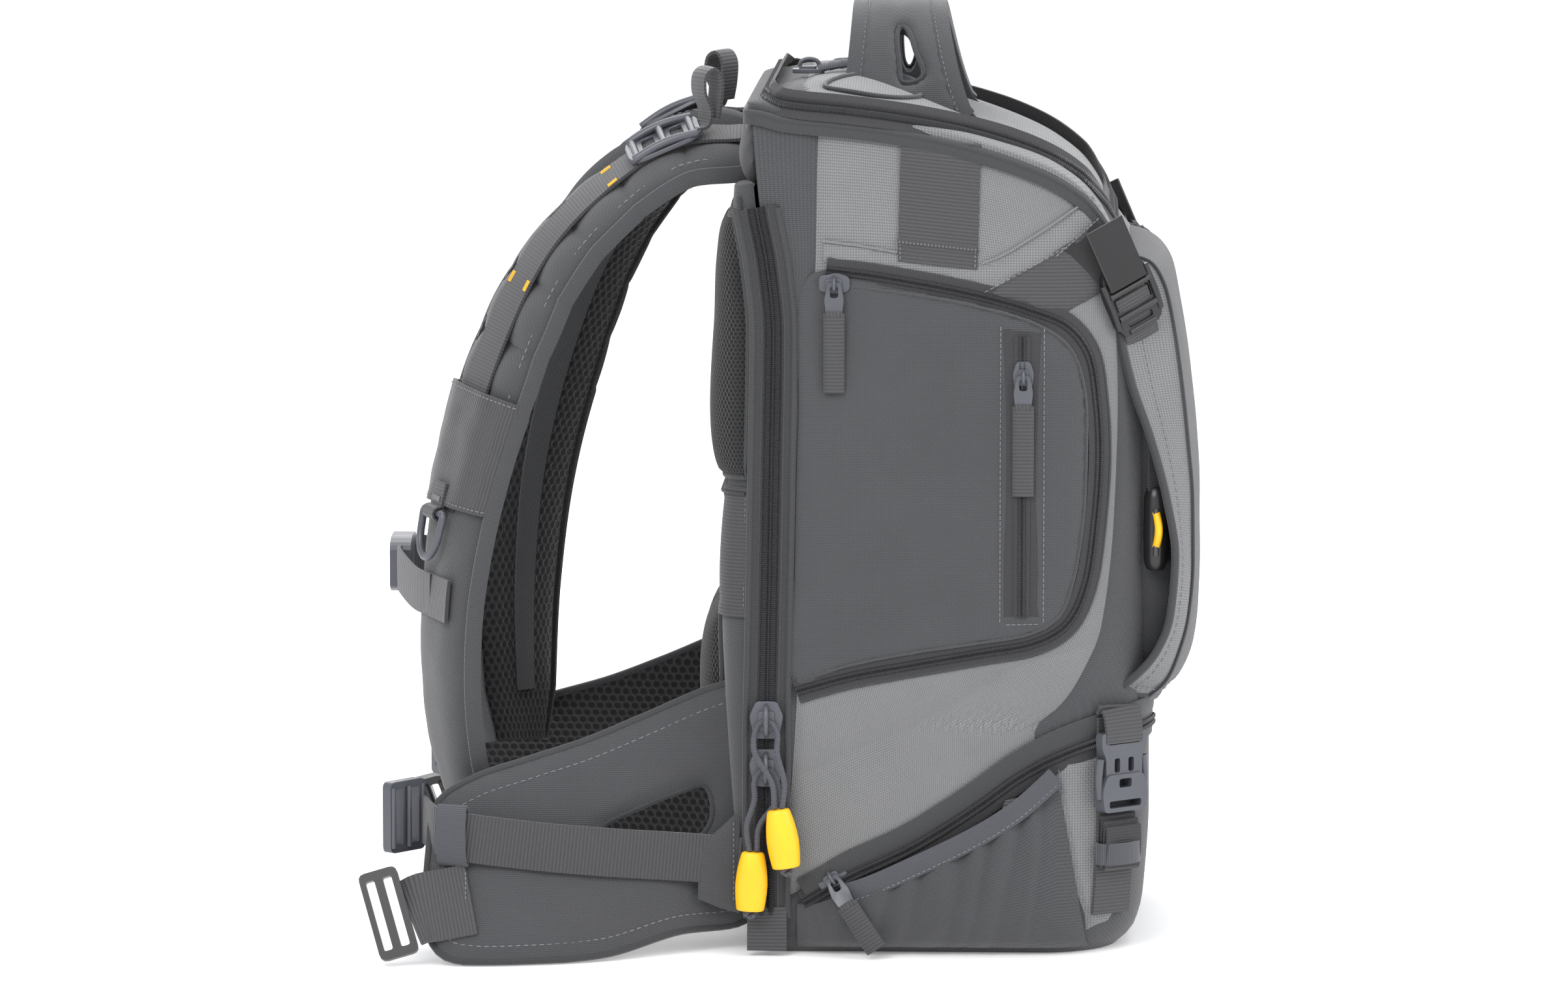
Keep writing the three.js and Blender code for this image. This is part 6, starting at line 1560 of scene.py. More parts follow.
def back_panel(side):
    def face(u, v):
        z = 8 + v * (PANEL_TOP - 8)
        return panel_point((1 - u) * panel_reach(z), z, 0.3)

    def top(u, v):
        p = panel_point((1 - u) * panel_reach(PANEL_TOP), PANEL_TOP, 0.3)
        x = p.x + v * (panel_at(PANEL_TOP)[0] - p.x)
        return Vector((x, p.y, PANEL_TOP + 2.0 * math.sin(math.pi * v) ** 0.5))
    seam = [panel_point(9, z, 1.0) for z in range(20, 424, 6)]
    return [grid(60, 70, face), grid(60, 6, top), tube(seam, 1.6, 8)]


# Foot, top, start and width of a back pad
BACK_PAD = (268, 412, 13, 112)


def pad_shape(low, high, start, width, thickness, edge):
    def swell(u, v):
        a = max(0.0, 1 - abs(2 * u - 1) ** 3)
        b = max(0.0, 1 - abs(2 * v - 1) ** 3)
        return edge + (thickness - edge) * math.sqrt(a * b)

    def outer(u, v):
        z = low + v * (high - low)
        return panel_point(start + (1 - u) * width, z, GAP + swell(u, v))

    def inner(u, v):
        return panel_point(start + (1 - u) * width, low + v * (high - low), 0.0)
    return thick(34, 44, outer, inner)


def pad_rim(low, high, start, width, lift):
    loop = [panel_point(start + width * k / 20, low, lift) for k in range(20)]
    loop += [panel_point(start + width, low + (high - low) * k / 24, lift) for k in range(24)]
    loop += [panel_point(start + width - width * k / 20, high, lift) for k in range(20)]
    loop += [panel_point(start, high - (high - low) * k / 24, lift) for k in range(24)]
    return tube(loop, 1.8, 8, closed=True)


both("back_panel", back_panel, [TWILL, TWILL, BINDING], slot="charcoal")
for piece in both("back_pad", lambda side: [pad_shape(*BACK_PAD, 14, 2)], [NET], node="back_pad",
                  slot="mesh"):
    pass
both("back_pad_rim", lambda side: [pad_rim(*BACK_PAD, 2.0)], [BINDING], slot="charcoal")


LUMBAR_FOOT = 64
LUMBAR_HEIGHT = 123
LUMBAR_HALF = 104


def lumbar():
    def spread(u, v):
        return (1 - 2 * u) * LUMBAR_HALF * (0.82 + 0.18 * math.sin(math.pi * v))

    def outer(u, v):
        z = LUMBAR_FOOT + v * LUMBAR_HEIGHT
        a = max(0.0, 1 - abs(2 * u - 1) ** 4)
        b = max(0.0, 1 - abs(2 * v - 1) ** 3)
        channel = 1 - 0.4 * math.exp(-((u - 0.5) / 0.035) ** 2)
        return Vector((panel_at(z)[1] - GAP - 2 - 16 * math.sqrt(a * b) * channel, spread(u, v), z))

    def inner(u, v):
        z = LUMBAR_FOOT + v * LUMBAR_HEIGHT
        return Vector((panel_at(z)[1], spread(u, v), z))
    pad = thick(56, 40, outer, inner)
    rim = [outer(k / 40, 0) for k in range(40)] + [outer(1, k / 20) for k in range(20)]
    rim += [outer(1 - k / 40, 1) for k in range(40)] + [outer(0, 1 - k / 20) for k in range(20)]
    make("lumbar_pad", [pad], [NET], node="lumbar_pad", slot="mesh")
    make("lumbar_rim", [tube(rim, 1.8, 8, closed=True)], [BINDING], slot="charcoal")


lumbar()


TROLLEY_FOOT = 190
TROLLEY_HEIGHT = 72
TROLLEY_START = 12


def trolley(side):
    def place(u, v, off):
        z = TROLLEY_FOOT + v * TROLLEY_HEIGHT
        return panel_point(TROLLEY_START + (1 - u) * (panel_reach(z) - TROLLEY_START), z, off)

    def outer(u, v):
        hem = 0.9 if v > 0.93 or v < 0.07 else 0
        return place(u, v, 1.6 + 1.2 * math.sin(math.pi * v) + hem)

    def inner(u, v):
        return place(u, v, 0.3)
    edge = [panel_point(13.2, z, 2.2) for z in range(192, 262, 3)]
    rim = [panel_point(13 + k * 3, 259, 3.1) for k in range(40)]
    return [thick(46, 20, outer, inner), stitches(edge, NEAR_WAY, 3.2, 2.2, 0.6), tube(rim, 1.0, 6)]


both("trolley_band", trolley, [WEB, THREAD, WEB_DARK], slot="webbing")


YOKE_HALF = 112
YOKE_X = -101.5
YOKE_Z = 439


def yoke():
    """The soft fold of cloth between the panel's top and the lid, that the straps come out of."""
    def point(u, v):
        y = (2 * v - 1) * YOKE_HALF
        end = max(0.0, 1 - abs(2 * v - 1) ** 8) ** 0.5
        a = 2 * math.pi * u
        ripple = 1 + 0.05 * math.sin(y * 0.2 + 3 * a)
        z = YOKE_Z + 19 * end * math.sin(a) * ripple + 3 * math.sin(y * 0.05)
        return Vector((YOKE_X + 9.5 * end * math.cos(a) * ripple, y, z))
    return [reverse(grid(24, 50, point, around=True))]


make("yoke", yoke(), [TWILL], slot="charcoal")


# Shoulder straps: reach, height, spread, turn of the near and the far one, and the far one's shift
STRAP_ROWS = [
    (0.07, 0.936, 0.92, 12, 14, 0), (0.28, 0.932, 1.0, 18, 30, 2), (0.52, 0.873, 1.03, 24, 42, 8),
    (0.68, 0.805, 1.07, 30, 48, 14), (0.83, 0.686, 1.12, 32, 50, 18), (0.945, 0.531, 1.18, 28, 46, 20),
    (0.995, 0.382, 1.2, 24, 40, 22), (0.985, 0.255, 1.18, 22, 34, 20), (0.945, 0.183, 1.12, 20, 28, 14),
]
STRAP_REACH = 180.0
STRAP_SPREAD = 74.0
STRAP_WIDTH = 70.0
WEB_LIFT = 12.6
STERNUM_SHARE = 0.75
SLEEVE_START = 0.485
SLEEVE_LENGTH = 0.15
RING_SHARE = 0.635


class Strap:
    """The strap's line with its directions, for the near or the far side."""

    def __init__(self, side):
        far = side == 1
        points = [Vector((BAG_REAR - STRAP_REACH * row[0] + (row[5] if far else 0), -STRAP_SPREAD * row[2],
                          up(row[1]))) for row in STRAP_ROWS]
        self.points = smooth_path(points, 2.0)
        self.stations = []
        column = 4 if far else 3
        for i, (p, t) in enumerate(zip(self.points, directions(self.points))):
            share = i / (len(self.points) - 1)
            at = share * (len(STRAP_ROWS) - 1)
            low = min(int(at), len(STRAP_ROWS) - 2)
            start, end = STRAP_ROWS[low][column], STRAP_ROWS[low + 1][column]
            turn = start + (at - low) * (end - start)
            across = (Vector((0, 1, 0)) - t * t.y).normalized()
            across = Quaternion(t, -math.radians(turn)) @ across
            self.stations.append((p, t, across, across.cross(t).normalized(), share))

    def at(self, share):
        k = min(max(share, 0.0), 1.0) * (len(self.stations) - 1)
        i = min(int(k), len(self.stations) - 2)
        f = k - i
        a, b = self.stations[i], self.stations[i + 1]
        return tuple(a[c].lerp(b[c], f) for c in range(4))

    def put(self, share, a, n):
        p, _, across, normal = self.at(share)
        return p + across * a + normal * n

    def line(self, a, n, start=0.0, end=1.0, count=90):
        shares = [start + (end - start) * k / count for k in range(count + 1)]
        return [self.put(h, a, n) for h in shares], [self.at(h)[3] for h in shares]


STRAPS = {-1: Strap(-1), 1: Strap(1)}


def strap_half(share):
    yoke_end = 0.9 + 1.25 * share if share < 0.08 else 1
    foot = 1 - 3 * (share - 0.93) if share > 0.93 else 1
    return STRAP_WIDTH * yoke_end * foot / 2


def strap_puff(share):
    if share >= 0.5:
        return 1.0
    return 0.2 + 0.8 * abs(math.sin(math.pi * share * 12)) ** 0.55


def strap_body(side):
    strap = STRAPS[side]

    def top(u, v):
        half = strap_half(v)
        a = 2 * u - 1
        round_off = max(0.0, 1 - abs(a) ** 2.8) ** 0.6
        seam = 1 - strap_puff(v)
        under_web = 1 - 0.16 * math.exp(-(a * half / 15) ** 4) if v < 0.5 else 1.0
        return strap.put(v, a * (half - 3.4 * seam), 1.6 + (4.6 + 7.0 * strap_puff(v)) * round_off * under_web
                         + fold_noise(v * 400, a * 30, 16, 0.6) * round_off)

    def bottom(u, v):
        half = strap_half(v)
        a = 1 - 2 * u
        round_off = max(0.0, 1 - abs(a) ** 4) ** 0.6
        return strap.put(v, a * half, -1.6 - 6.4 * round_off)
    strips = []
    for a in (-1, 1):
        points = [strap.put(k / 150, a * (strap_half(k / 150) + 0.4 - 2.0 * (1 - strap_puff(k / 150))), 0.0)
                  for k in range(151)]
        outward = [strap.at(k / 150)[2] * a for k in range(151)]
        strips.append(band(points, outward, 9.5, 1.6, -0.6, 0.9))
    inner, up_in = strap.line(0, -8.2, 0.04, 0.93)
    strips.append(band(inner, [-n for n in up_in], 16, 1.2, 0.0, 0.4))
    dashes = []
    _, normals = strap.line(0, 0, 0.05, 0.97)
    shares = [0.05 + 0.92 * k / 90 for k in range(91)]
    for a in (-0.82, 0.82):
        points = [strap.put(share, a * strap_half(share), 7.6) for share in shares]
        dashes.append(stitches(points, normals, 4.6, 3.0, 0.6))
    seams = []
    for k in range(1, 7):
        share = k / 12
        seams.append(tube([strap.put(share, (2 * j / 16 - 1) * (strap_half(share) - 3), 1.6 + 6.2 * max(
            0.0, 1 - abs(2 * j / 16 - 1) ** 2.8) ** 0.6) for j in range(17)], 0.6, 6))
    return [grid(18, 190, top), grid(10, 110, bottom)] + strips + dashes + seams


for piece in both("strap", strap_body, [TWILL, MESH, TWILL, TWILL, TWILL, THREAD, THREAD, TWILL_DARK],
                  node="shoulder_strap", slot="charcoal"):
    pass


def strap_web(side):
    strap = STRAPS[side]
    points, normals = strap.line(0, WEB_LIFT - 0.4, 0.03, 0.64, 120)
    start = points[0]
    anchor = Vector((section(start.z)[0] - 1, start.y, start.z + 1))
    lead = [anchor.lerp(start, k / 5) for k in range(5)]
    points = lead + points
    normals = [normals[0]] * 5 + normals
    tacks = []
    for share in (0.168, 0.334):
        for a in (-10.5, 10.5):
            tacks.append(stitches([strap.put(share + 0.002 * k, a, WEB_LIFT + 1.6) for k in range(8)],
                                  strap.at(share)[3], 0.9, 1.0, 4.0, 0.7))
    return [band(points, normals, 26, 1.8, 0.0, 0.3)] + tacks


both("strap_webbing", strap_web, [WEB, THREAD_YELLOW], node="strap_webbing", slot="webbing")


def sleeve(side):
    """A wide webbing sewn over the strap from edge to edge, over the adjusting webbing."""
    strap = STRAPS[side]
    half = STRAP_WIDTH / 2 + 1.4
    arch = [(-half + 0.6, 0), (-half, 4), (-half * 0.93, 9.5), (-half * 0.7, 13.4), (-16.8, 16.6), (0, 17),
            (16.8, 16.6), (half * 0.7, 13.4), (half * 0.93, 9.5), (half, 4), (half - 0.6, 0)]
    loop = [(p.x, p.y) for p in smooth_path(arch, 2.5)]

    def surface(u, v, inset):
        share = SLEEVE_START + v * SLEEVE_LENGTH
        k = u * (len(loop) - 1)
        i = min(int(k), len(loop) - 2)
        a = loop[i][0] + (k - i) * (loop[i + 1][0] - loop[i][0])
        n = loop[i][1] + (k - i) * (loop[i + 1][1] - loop[i][1])
        sag = 0.8 * math.sin(math.pi * v) + 0.5 * noise.noise(Vector((a / 14, v * 6, 2.0)))
        return strap.put(share, a * (1 - inset / half), n - inset - sag)
    body = thick(44, 26, lambda u, v: surface(u, v, 0.0), lambda u, v: surface(u, v, 1.8))
    lines = []
    for share in (0.49, 0.63):
        points = [strap.put(share, a * 1.01, n + 0.3) for a, n in loop[2:-2]]
        lines.append(stitches(points, [strap.at(share)[3]] * len(points), 3.2, 2.2, 0.6))
    return [body] + lines


def ring_seat(side):
    strap = STRAPS[side]
    p, t, across, normal = strap.at(RING_SHARE)
    return p + normal * 19.3 + t * 5, t, across, normal


def d_ring(side):
    bar, t, across, _ = ring_seat(side)
    half = 12.8
    outline = [(-half, 0), (-half / 2, 0), (0, 0), (half / 2, 0), (half, 0)]
    outline += [(half * math.cos(math.pi * k / 10), 8.4 + 17.36 * math.sin(math.pi * k / 10))
                for k in range(11)]
    points = smooth_path([bar + across * a + t * b for a, b in outline], 1.6, closed=True)
    return [tube(points, 2.2, 10, closed=True)]


def ring_keeper(side):
    bar, t, across, normal = ring_seat(side)
    outward = [t * c + normal * s for c, s in circle(20)]
    loop = [bar + d * 2.9 for d in outward]
    flap_points = [bar - t * (3 + 2.4 * k) - normal * (2.2 + 0.02 * k) for k in range(7)]
    return [band(loop, outward, 15, 1.3, 0.0, 0.0, closed=True), band(flap_points, normal, 15, 1.8, 0.0, 0.3),
            stitches([bar - t * 8 + across * (k - 5) for k in range(11)], normal, 1.0, 0.9, 3.2, 0.5, 0.2)]


both("strap_sleeve", sleeve, [WEB_TURNED, THREAD, THREAD], node="strap_sleeve", slot="webbing")
both("ring_keeper", ring_keeper, [WEB, WEB, THREAD], slot="webbing")
both("d_ring", d_ring, [PLASTIC], node="d_ring", body="d_ring", slot="plastic")


def lifter_buckle(side):
    """Tri-glide that the load lifter webbing runs through: cheeks bowed up, three bars across."""
    p, t, across, normal = STRAPS[side].at(0.10)
    seat = p + normal * 15
    at = (seat, t, across, normal)
    slots = [slot_outline(a, 0, 7, 22, 2.5) for a in (-8.5, 8.5)]
    shapes = [holed_plate(rounded_box(44, 34, 9.0), slots, -1.6, 1.8, at)]
    for edge in (-14.6, 14.6):
        points = []
        for k in range(16):
            rise = 1.0 + 2.6 * math.sin(math.pi * k / 15)
            points.append(seat + across * edge + t * (-19.5 + 2.6 * k) + normal * rise)
        shapes.append(tube(points, 2.5, 10))
    for place, rise in ((-17.0, 1.2), (0.0, 3.0), (17.0, 1.2)):
        points = [seat + across * (-14 + 2 * k) + t * place + normal * rise for k in range(15)]
        shapes.append(tube(points, 2.2, 8))
    return shapes


def lifter_tail(side):
    """Loose end of the load lifter webbing, doubled back in a loop that stands up from the buckle."""
    p, _, _, normal = STRAPS[side].at(0.06)
    start = p + normal * 17
    width_way = Vector((0.42, -0.91, 0.0))
    reach_way = Vector((0.91, 0.42, 0.0))
    line = [(-8, -1), (0, 1), (2, 9), (-2, 20), (-1, 30), (4, 33), (8, 28), (8, 16), (6, 5)]
    points = smooth_path([start + reach_way * a + Vector((0, 0, b)) for a, b in line], 2.0)
    normals = [width_way.cross(t).normalized() for _, t, _, _ in frames(points, width_way)]
    return [band(points, normals, 19, 1.6, -0.8, 0.3)]


both("lifter_buckle", lifter_buckle, [PLASTIC], node="lifter_buckle", slot="plastic", bevel=0.5)
both("lifter_tail", lifter_tail, [WEB], slot="webbing")


def sternum_middle():
    p = STRAPS[-1].at(STERNUM_SHARE)[0]
    return Vector((p.x - 36, 0, p.z + 8))


def sternum(side):
    p, _, across, normal = STRAPS[side].at(STERNUM_SHARE)
    root = p + normal * 13.6
    edge = root + across * 29.4 - normal * 0.4
    middle = sternum_middle()
    end = Vector((middle.x, -22.3, middle.z))
    outer = root - across * 26
    points = smooth_path([root, edge, end + Vector((0, -8, 0)), end], 3.0)
    normals = [d.cross(-TOP_WAY).normalized() for d in directions(points)]
    tab = band([outer, root, root + across * 4], normal, 24, 1.8, -1.2, 0.3)
    return [band(points, normals, 24, 1.8, -0.9, 0.2), tab]


both("sternum_strap", sternum, [WEB, WEB], node="sternum_strap", slot="webbing")


# Hip belt wings
WING_ROWS = [(0.0, 0.84, 0.03), (0.12, 0.85, 0.06), (0.3, 0.92, 0.25), (0.57, 0.99, 0.42), (0.83, 1.02, 0.5),
             (1.1, 1.02, 0.52)]
WING = [(0.05, 20), (0.28, 13), (0.45, 5), (0.58, 3), (0.72, 2.4), (0.84, 2.4), (0.94, 6), (0.985, 18),
        (0.99, 60), (0.97, 84), (0.87, 97), (0.71, 107), (0.54, 117), (0.37, 130), (0.14, 148), (0.05, 150)]
FORK = [(0.49, 71), (0.38, 66), (0.25, 62), (0.2, 64), (0.17, 72), (0.165, 82), (0.19, 93), (0.26, 90),
        (0.36, 83)]
WING_REACH = 190.0


def wing_y(x, z, face=0.0):
    distance, lean = read(WING_ROWS, (BAG_REAR - x) / WING_REACH)
    return HALF_WIDTH * distance + lean * (75 - z) + face


def wing_place(x, z, off=0.0):
    return Vector((x, -wing_y(x, z, off), z))


def wing(side):
    outline = smooth_path([(BAG_REAR - WING_REACH * r, z) for r, z in WING], 5.0, closed=True)
    fork = smooth_path([(BAG_REAR - WING_REACH * r, z) for r, z in FORK], 4.0, closed=True)
    rim = [(p.x, max(p.y, 2.3)) for p in outline]
    hole = [(p.x, p.y) for p in fork]
    outer = panel(rim, wing_place, 6.2, 5.0, edge=1.2, roll=10.0, holes=[hole],
                  extra=lambda x, z, d: fold_noise(x, z, 30, 0.7) * min(1, d / 12))
    inner = reverse(panel(rim, wing_place, -6.2, 5.0, edge=-1.2, roll=8.0, holes=[hole]))
    edge = tube([wing_place(x, max(z, 2.9), 0) for x, z in rim], 2.5, 8, closed=True)
    fork_edge = tube([wing_place(x, z, 0) for x, z in hole], 2.0, 8, closed=True)
    middle = Vector((sum(x for x, z in rim) / len(rim), sum(z for x, z in rim) / len(rim)))
    inset = []
    for k, (x, z) in enumerate(rim):
        a = rim[k - 1]
        b = rim[(k + 1) % len(rim)]
        d = Vector((b[0] - a[0], b[1] - a[1])).normalized()
        n = Vector((-d.y, d.x))
        if n.dot(middle - Vector((x, z))) < 0:
            n = -n
        inset.append((x + n.x * 9, z + n.y * 9))
    dashes = stitches([wing_place(x, z, 6.1) for x, z in inset], NEAR_WAY, 4.4, 3.0, 0.6)
    return [outer, inner, edge, fork_edge, dashes]


for piece in both("wing", wing, [TWILL, MESH, BINDING, BINDING, THREAD], node="hip_belt", slot="charcoal"):
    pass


def ladder_seat(side):
    foot = STRAP_ROWS[-1]
    x = BAG_REAR - STRAP_REACH * foot[0] - 33 + (foot[5] * 0.3 if side == 1 else 0)
    z = up(foot[1]) - 9
    inward = Vector((0.62, 0.78, 0)).normalized()
    return Vector((x, -wing_y(x + 30, z, -6), z)), inward


def lower_strap(side):
    seat, inward = ladder_seat(side)
    root_z = up(0.11)
    rear, _, half, _ = section(root_z)
    line = []
    for dx, dz, free in ((-14, 1, 0), (-36, 3, 1), (-95, 9, 1), (-140, 14, 1)):
        x, z = rear + dx, root_z + dz
        clear = wing_y(x, z - 13.5, 6) + 2.6 if free else 0
        line.append(Vector((x, -max(half + 1.6, clear), z)))
    x = rear - 178
    line.append(Vector((x, -(wing_y(x, seat.z - 19.5, 6) + 2.6), seat.z - 6)))
    end = seat + inward * 14.3
    line.append(Vector((end.x, end.y, seat.z - 3)))
    points = smooth_path(line, 3.0)
    normals = [d.cross(TOP_WAY).normalized() * -1 for d in directions(points)]
    web = band(points, normals, 27, 1.8, -0.9, 0.3)
    tri = [(rear - 15, root_z + 30), (rear - 15, root_z - 28), (rear - 26, root_z - 25),
           (rear - 38, root_z - 20), (rear - 38, root_z + 8)]
    tab = panel(tri, lambda a, b, off: Vector((a, -half - off, b)), 3.4, 4.0, edge=2.0, roll=2.0, back=0.9)
    row = [Vector((rear - 18, -half - 3.5, root_z + 24 - 3 * k)) for k in range(16)]
    at = points[-16]
    n = normals[-16]
    loop = [at + Vector((0, 0, 16.0)) * c + n * (3.0 * s) for c, s in circle(24)]
    outward = [(TOP_WAY * c + n * s).normalized() for c, s in circle(24)]
    keeper = band(loop, outward, 17, 1.4, 0.0, 0.0, closed=True)
    return [web, tab, stitches(row, NEAR_WAY, 3.0, 2.0, 0.6), keeper]


both("lower_strap", lower_strap, [WEB, TWILL, THREAD, ELASTIC], node="lower_strap", slot="webbing")


def ladder(side):
    seat, inward = ladder_seat(side)
    at = (seat, inward, TOP_WAY, inward.cross(TOP_WAY))
    slots = [slot_outline(-6.7, 0, 6, 31), slot_outline(5.6, 0, 7, 31)]
    body = holed_plate(rounded_box(28, 40, 3.5), slots, -3.4, 3.4, at)
    bars = []
    for a, rise in ((-12.2, 1.0), (-0.6, 2.0), (12.0, 0.6)):
        line = [seat + inward * a + Vector((0, 0, z)) + at[3] * (2.2 + rise) for z in range(-17, 18, 2)]
        bars.append(tube(line, 1.5, 8))
    return [body] + bars


both("ladder_buckle", ladder, [PLASTIC], node="ladder_buckle", slot="plastic")


def belt_directions():
    upward = Vector((-0.29, 0.3, 0.92)).normalized()
    forward = (Vector((-1, 0, 0)) + upward * upward.x).normalized()
    return upward, forward, forward.cross(upward)


def belt_seat():
    x = BAG_REAR - WING_REACH * 1.1
    return Vector((x, -(wing_y(x + 20, 28, 6) + 1), 28))


def belt_web(side):
    start = BAG_REAR - WING_REACH * 0.86
    rows = [Vector((x, -(wing_y(x, z, 6) + 2.6), z)) for x, z in (
        (start, 36), (start - 14, 33.5), (start - 28, 31))]
    points = smooth_path(rows + [belt_seat() + Vector((11.3, 0, 0))], 3.0)
    lean = Vector((0.18, 0.42, 0.9)).normalized()
    normals = [lean.cross(d).normalized() for d in directions(points)]
    n = normals[0]
    side_out = n if n.y < 0 else -n
    ups = [m if m.dot(side_out) > 0 else -m for m in normals]
    tack = [points[0] + Vector((-3, -1.4, 16 - 2.7 * k)) for k in range(13)]
    return [band(points, ups, 40, 2.4, -1.2, 0.3), stitches(tack, side_out, 2.7, 1.8, 0.6)]


def belt_buckle(side):
    upward, forward, face = belt_directions()
    at = (belt_seat(), forward, upward, face)
    slots = [slot_outline(-4.6, 0, 5, 40), slot_outline(5.2, 0, 5, 40)]
    body = holed_plate(rounded_box(22, 50, 4.0), slots, -3.4, 3.4, at)
    rails = [tube([belt_seat() + forward * a + upward * z + face * 2.6 for z in range(-21, 22, 3)], 1.6, 8)
             for a in (-9.0, 0.4, 9.2)]
    return [body] + rails


both("belt_webbing", belt_web, [WEB, THREAD], node="belt_webbing", slot="webbing")
both("belt_buckle", belt_buckle, [BLACK], node="belt_buckle", slot="black_plastic")


# Base strap on the front corner, its rolled end and its keeper
CORNER_DEGREES = 50
CORNER_COS = math.cos(math.radians(CORNER_DEGREES))
CORNER_SIN = math.sin(math.radians(CORNER_DEGREES))
CORNER_OUT = Vector((CORNER_COS, -CORNER_SIN, 0))
CORNER_ACROSS = Vector((CORNER_SIN, CORNER_COS, 0))


def strap_round(z):
    _, front, _, r = section(z)
    return front - r + r * math.radians(90 - CORNER_DEGREES)


def corner_place(a, z, off=0.0):
    return wrap(strap_round(z) + a, z, off)


def base_strap(side):
    heights = [23 + 3 * k for k in range(38)]
    line = [corner_place(0, z, 1.4) for z in heights]
    n = CORNER_OUT
    across = CORNER_ACROSS
    web = band(line, n, 26, 1.8, 0.0, 0.3)
    over = smooth_path([corner_place(0, 137, 2), corner_place(0, 140, 4), corner_place(0, 137, 7.5),
                        corner_place(0, 128, 9.5), corner_place(0, 120, 9.5)], 2.0)
    shapes = [web, band(over, n, 26, 1.8, -0.9, 0.3)]
    for reach, low, high in ((4.2, 50, 79), (6.6, 52, 76), (9.0, 49, 73)):
        middle = (low + high) / 2
        loop = [corner_place(0, middle + (high - low) / 2 * c, reach + 1.1 * s) for c, s in circle(28)]
        ups = [(p - corner_place(0, middle, reach)).normalized() for p in loop]
        shapes.append(band(loop, ups, 25, 1.3, -0.6, 0.0, closed=True))
    keeper = [corner_place(0, 58, 6.0) + across * (13.6 * c) + n * (6.2 * s) for c, s in circle(32)]
    outward = [across * c + n * s for c, s in circle(32)]
    shapes.append(band(keeper, outward, 12, 1.4, 0.0, 0.0, closed=True))
    return shapes


def base_buckle(side):
    at = (corner_place(0, up(0.22), 7.6), CORNER_ACROSS, TOP_WAY, CORNER_OUT)
    socket = round_corners([(-15, -22), (15, -22), (16.5, -10), (13, -1), (-13, -1), (-16.5, -10)], 3.0)
    tongue = round_corners([(-13, -3), (13, -3), (13, 8), (16, 14), (16, 22.4), (-16, 22.4), (-16, 14),
                            (-13, 8)], 2.0)
    low = holed_plate(socket, [slot_outline(0, -17.6, 23, 4), slot_outline(0, -6, 9, 5)], -4.2, 4.4, at)
    slots = [slot_outline(0, 17.8, 23, 4), slot_outline(-5, 4, 4, 8), slot_outline(5, 4, 4, 8)]
    high = holed_plate(tongue, slots, -3.0, 3.2, at)
    arms = []
    for sign in (-1, 1):
        line = []
        for k in range(11):
            bow = sign * (15.4 + 1.2 * math.sin(math.pi * k / 10))
            line.append(at[0] + CORNER_ACROSS * bow + Vector((0, 0, -14 + 2.2 * k)))
        arms.append(tube(line, 2.4, 8))
    return [low, high] + arms


both("base_strap", base_strap, [WEB, WEB, WEB_DARK, WEB_DARK, WEB_DARK, ELASTIC], node="base_strap",
     slot="webbing")
both("base_buckle", base_buckle, [PLASTIC], node="base_buckle", slot="plastic")


def node_place(name):
    """Middle of a flat node and the normal of its largest face."""
    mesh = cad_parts[name].data
    points = np.array([v.co[:] for v in mesh.vertices]) / MM
    low, high = points.min(axis=0), points.max(axis=0)
    middle = Vector((low + high) / 2)
    area, normal = 0.0, FRONT_WAY
    for face in mesh.polygons:
        if face.area > area:
            area, normal = face.area, face.normal.copy()
    return middle, normal


def flap_buckle(side):
    """Ladder lock of the flap's webbing, a little turned, with the bare webbing end folded over it."""
    middle, normal = node_place("flap_buckle_left")
    if normal.y > 0:
        normal = -normal
    level = TOP_WAY.cross(normal).normalized()
    upward = Quaternion(normal, math.radians(24)) @ normal.cross(level).normalized()
    across = upward.cross(normal).normalized()
    if across.x < 0:
        across = -across
    at = (middle, across, upward, across.cross(upward))
    out = at[3] if at[3].dot(normal) > 0 else -at[3]
    outline = round_corners([(-16, 6), (-15, -16), (-10, -20), (10, -20), (15, -16), (16, 6), (13, 19),
                             (-13, 19)], 4.0)
    frame_piece = holed_plate(outline, [slot_outline(0, 11.5, 21, 5), slot_outline(0, -1, 24, 8),
                                        slot_outline(0, -13.6, 17, 4)], -2.6, 2.6, at)
    bars = []
    for b, rise, reach in ((17.2, 1.6, 11), (5.6, 3.0, 14), (-8.6, 2.2, 13), (-18, 1.0, 9)):
        line = [middle + across * (-reach + reach * k / 5) + upward * b + out * rise for k in range(11)]
        bars.append(tube(line, 1.9, 8))
    for a in (-14.6, 14.6):
        line = []
        for k in range(10):
            rise = 1.2 + 1.2 * math.sin(math.pi * k / 9)
            line.append(middle + across * a + upward * (-14 + 3 * k) + out * rise)
        bars.append(tube(line, 2.0, 8))
    lower = [middle + upward * (2 - 4 * k) + out * (0.6 - 0.12 * k * k) for k in range(11)]
    upper = [middle + upward * (8 + 4.0 * k) + out * (3.4 - 0.35 * k) for k in range(10)]
    return [frame_piece] + bars + [band(lower, out, 22, 1.6, 0.0, 0.3), band(upper, out, 24, 1.6, 0.0, 0.3)]


both("flap_buckle", flap_buckle, [BLACK] * 7 + [WEB, PATCH], node="flap_buckle", slot="black_plastic")


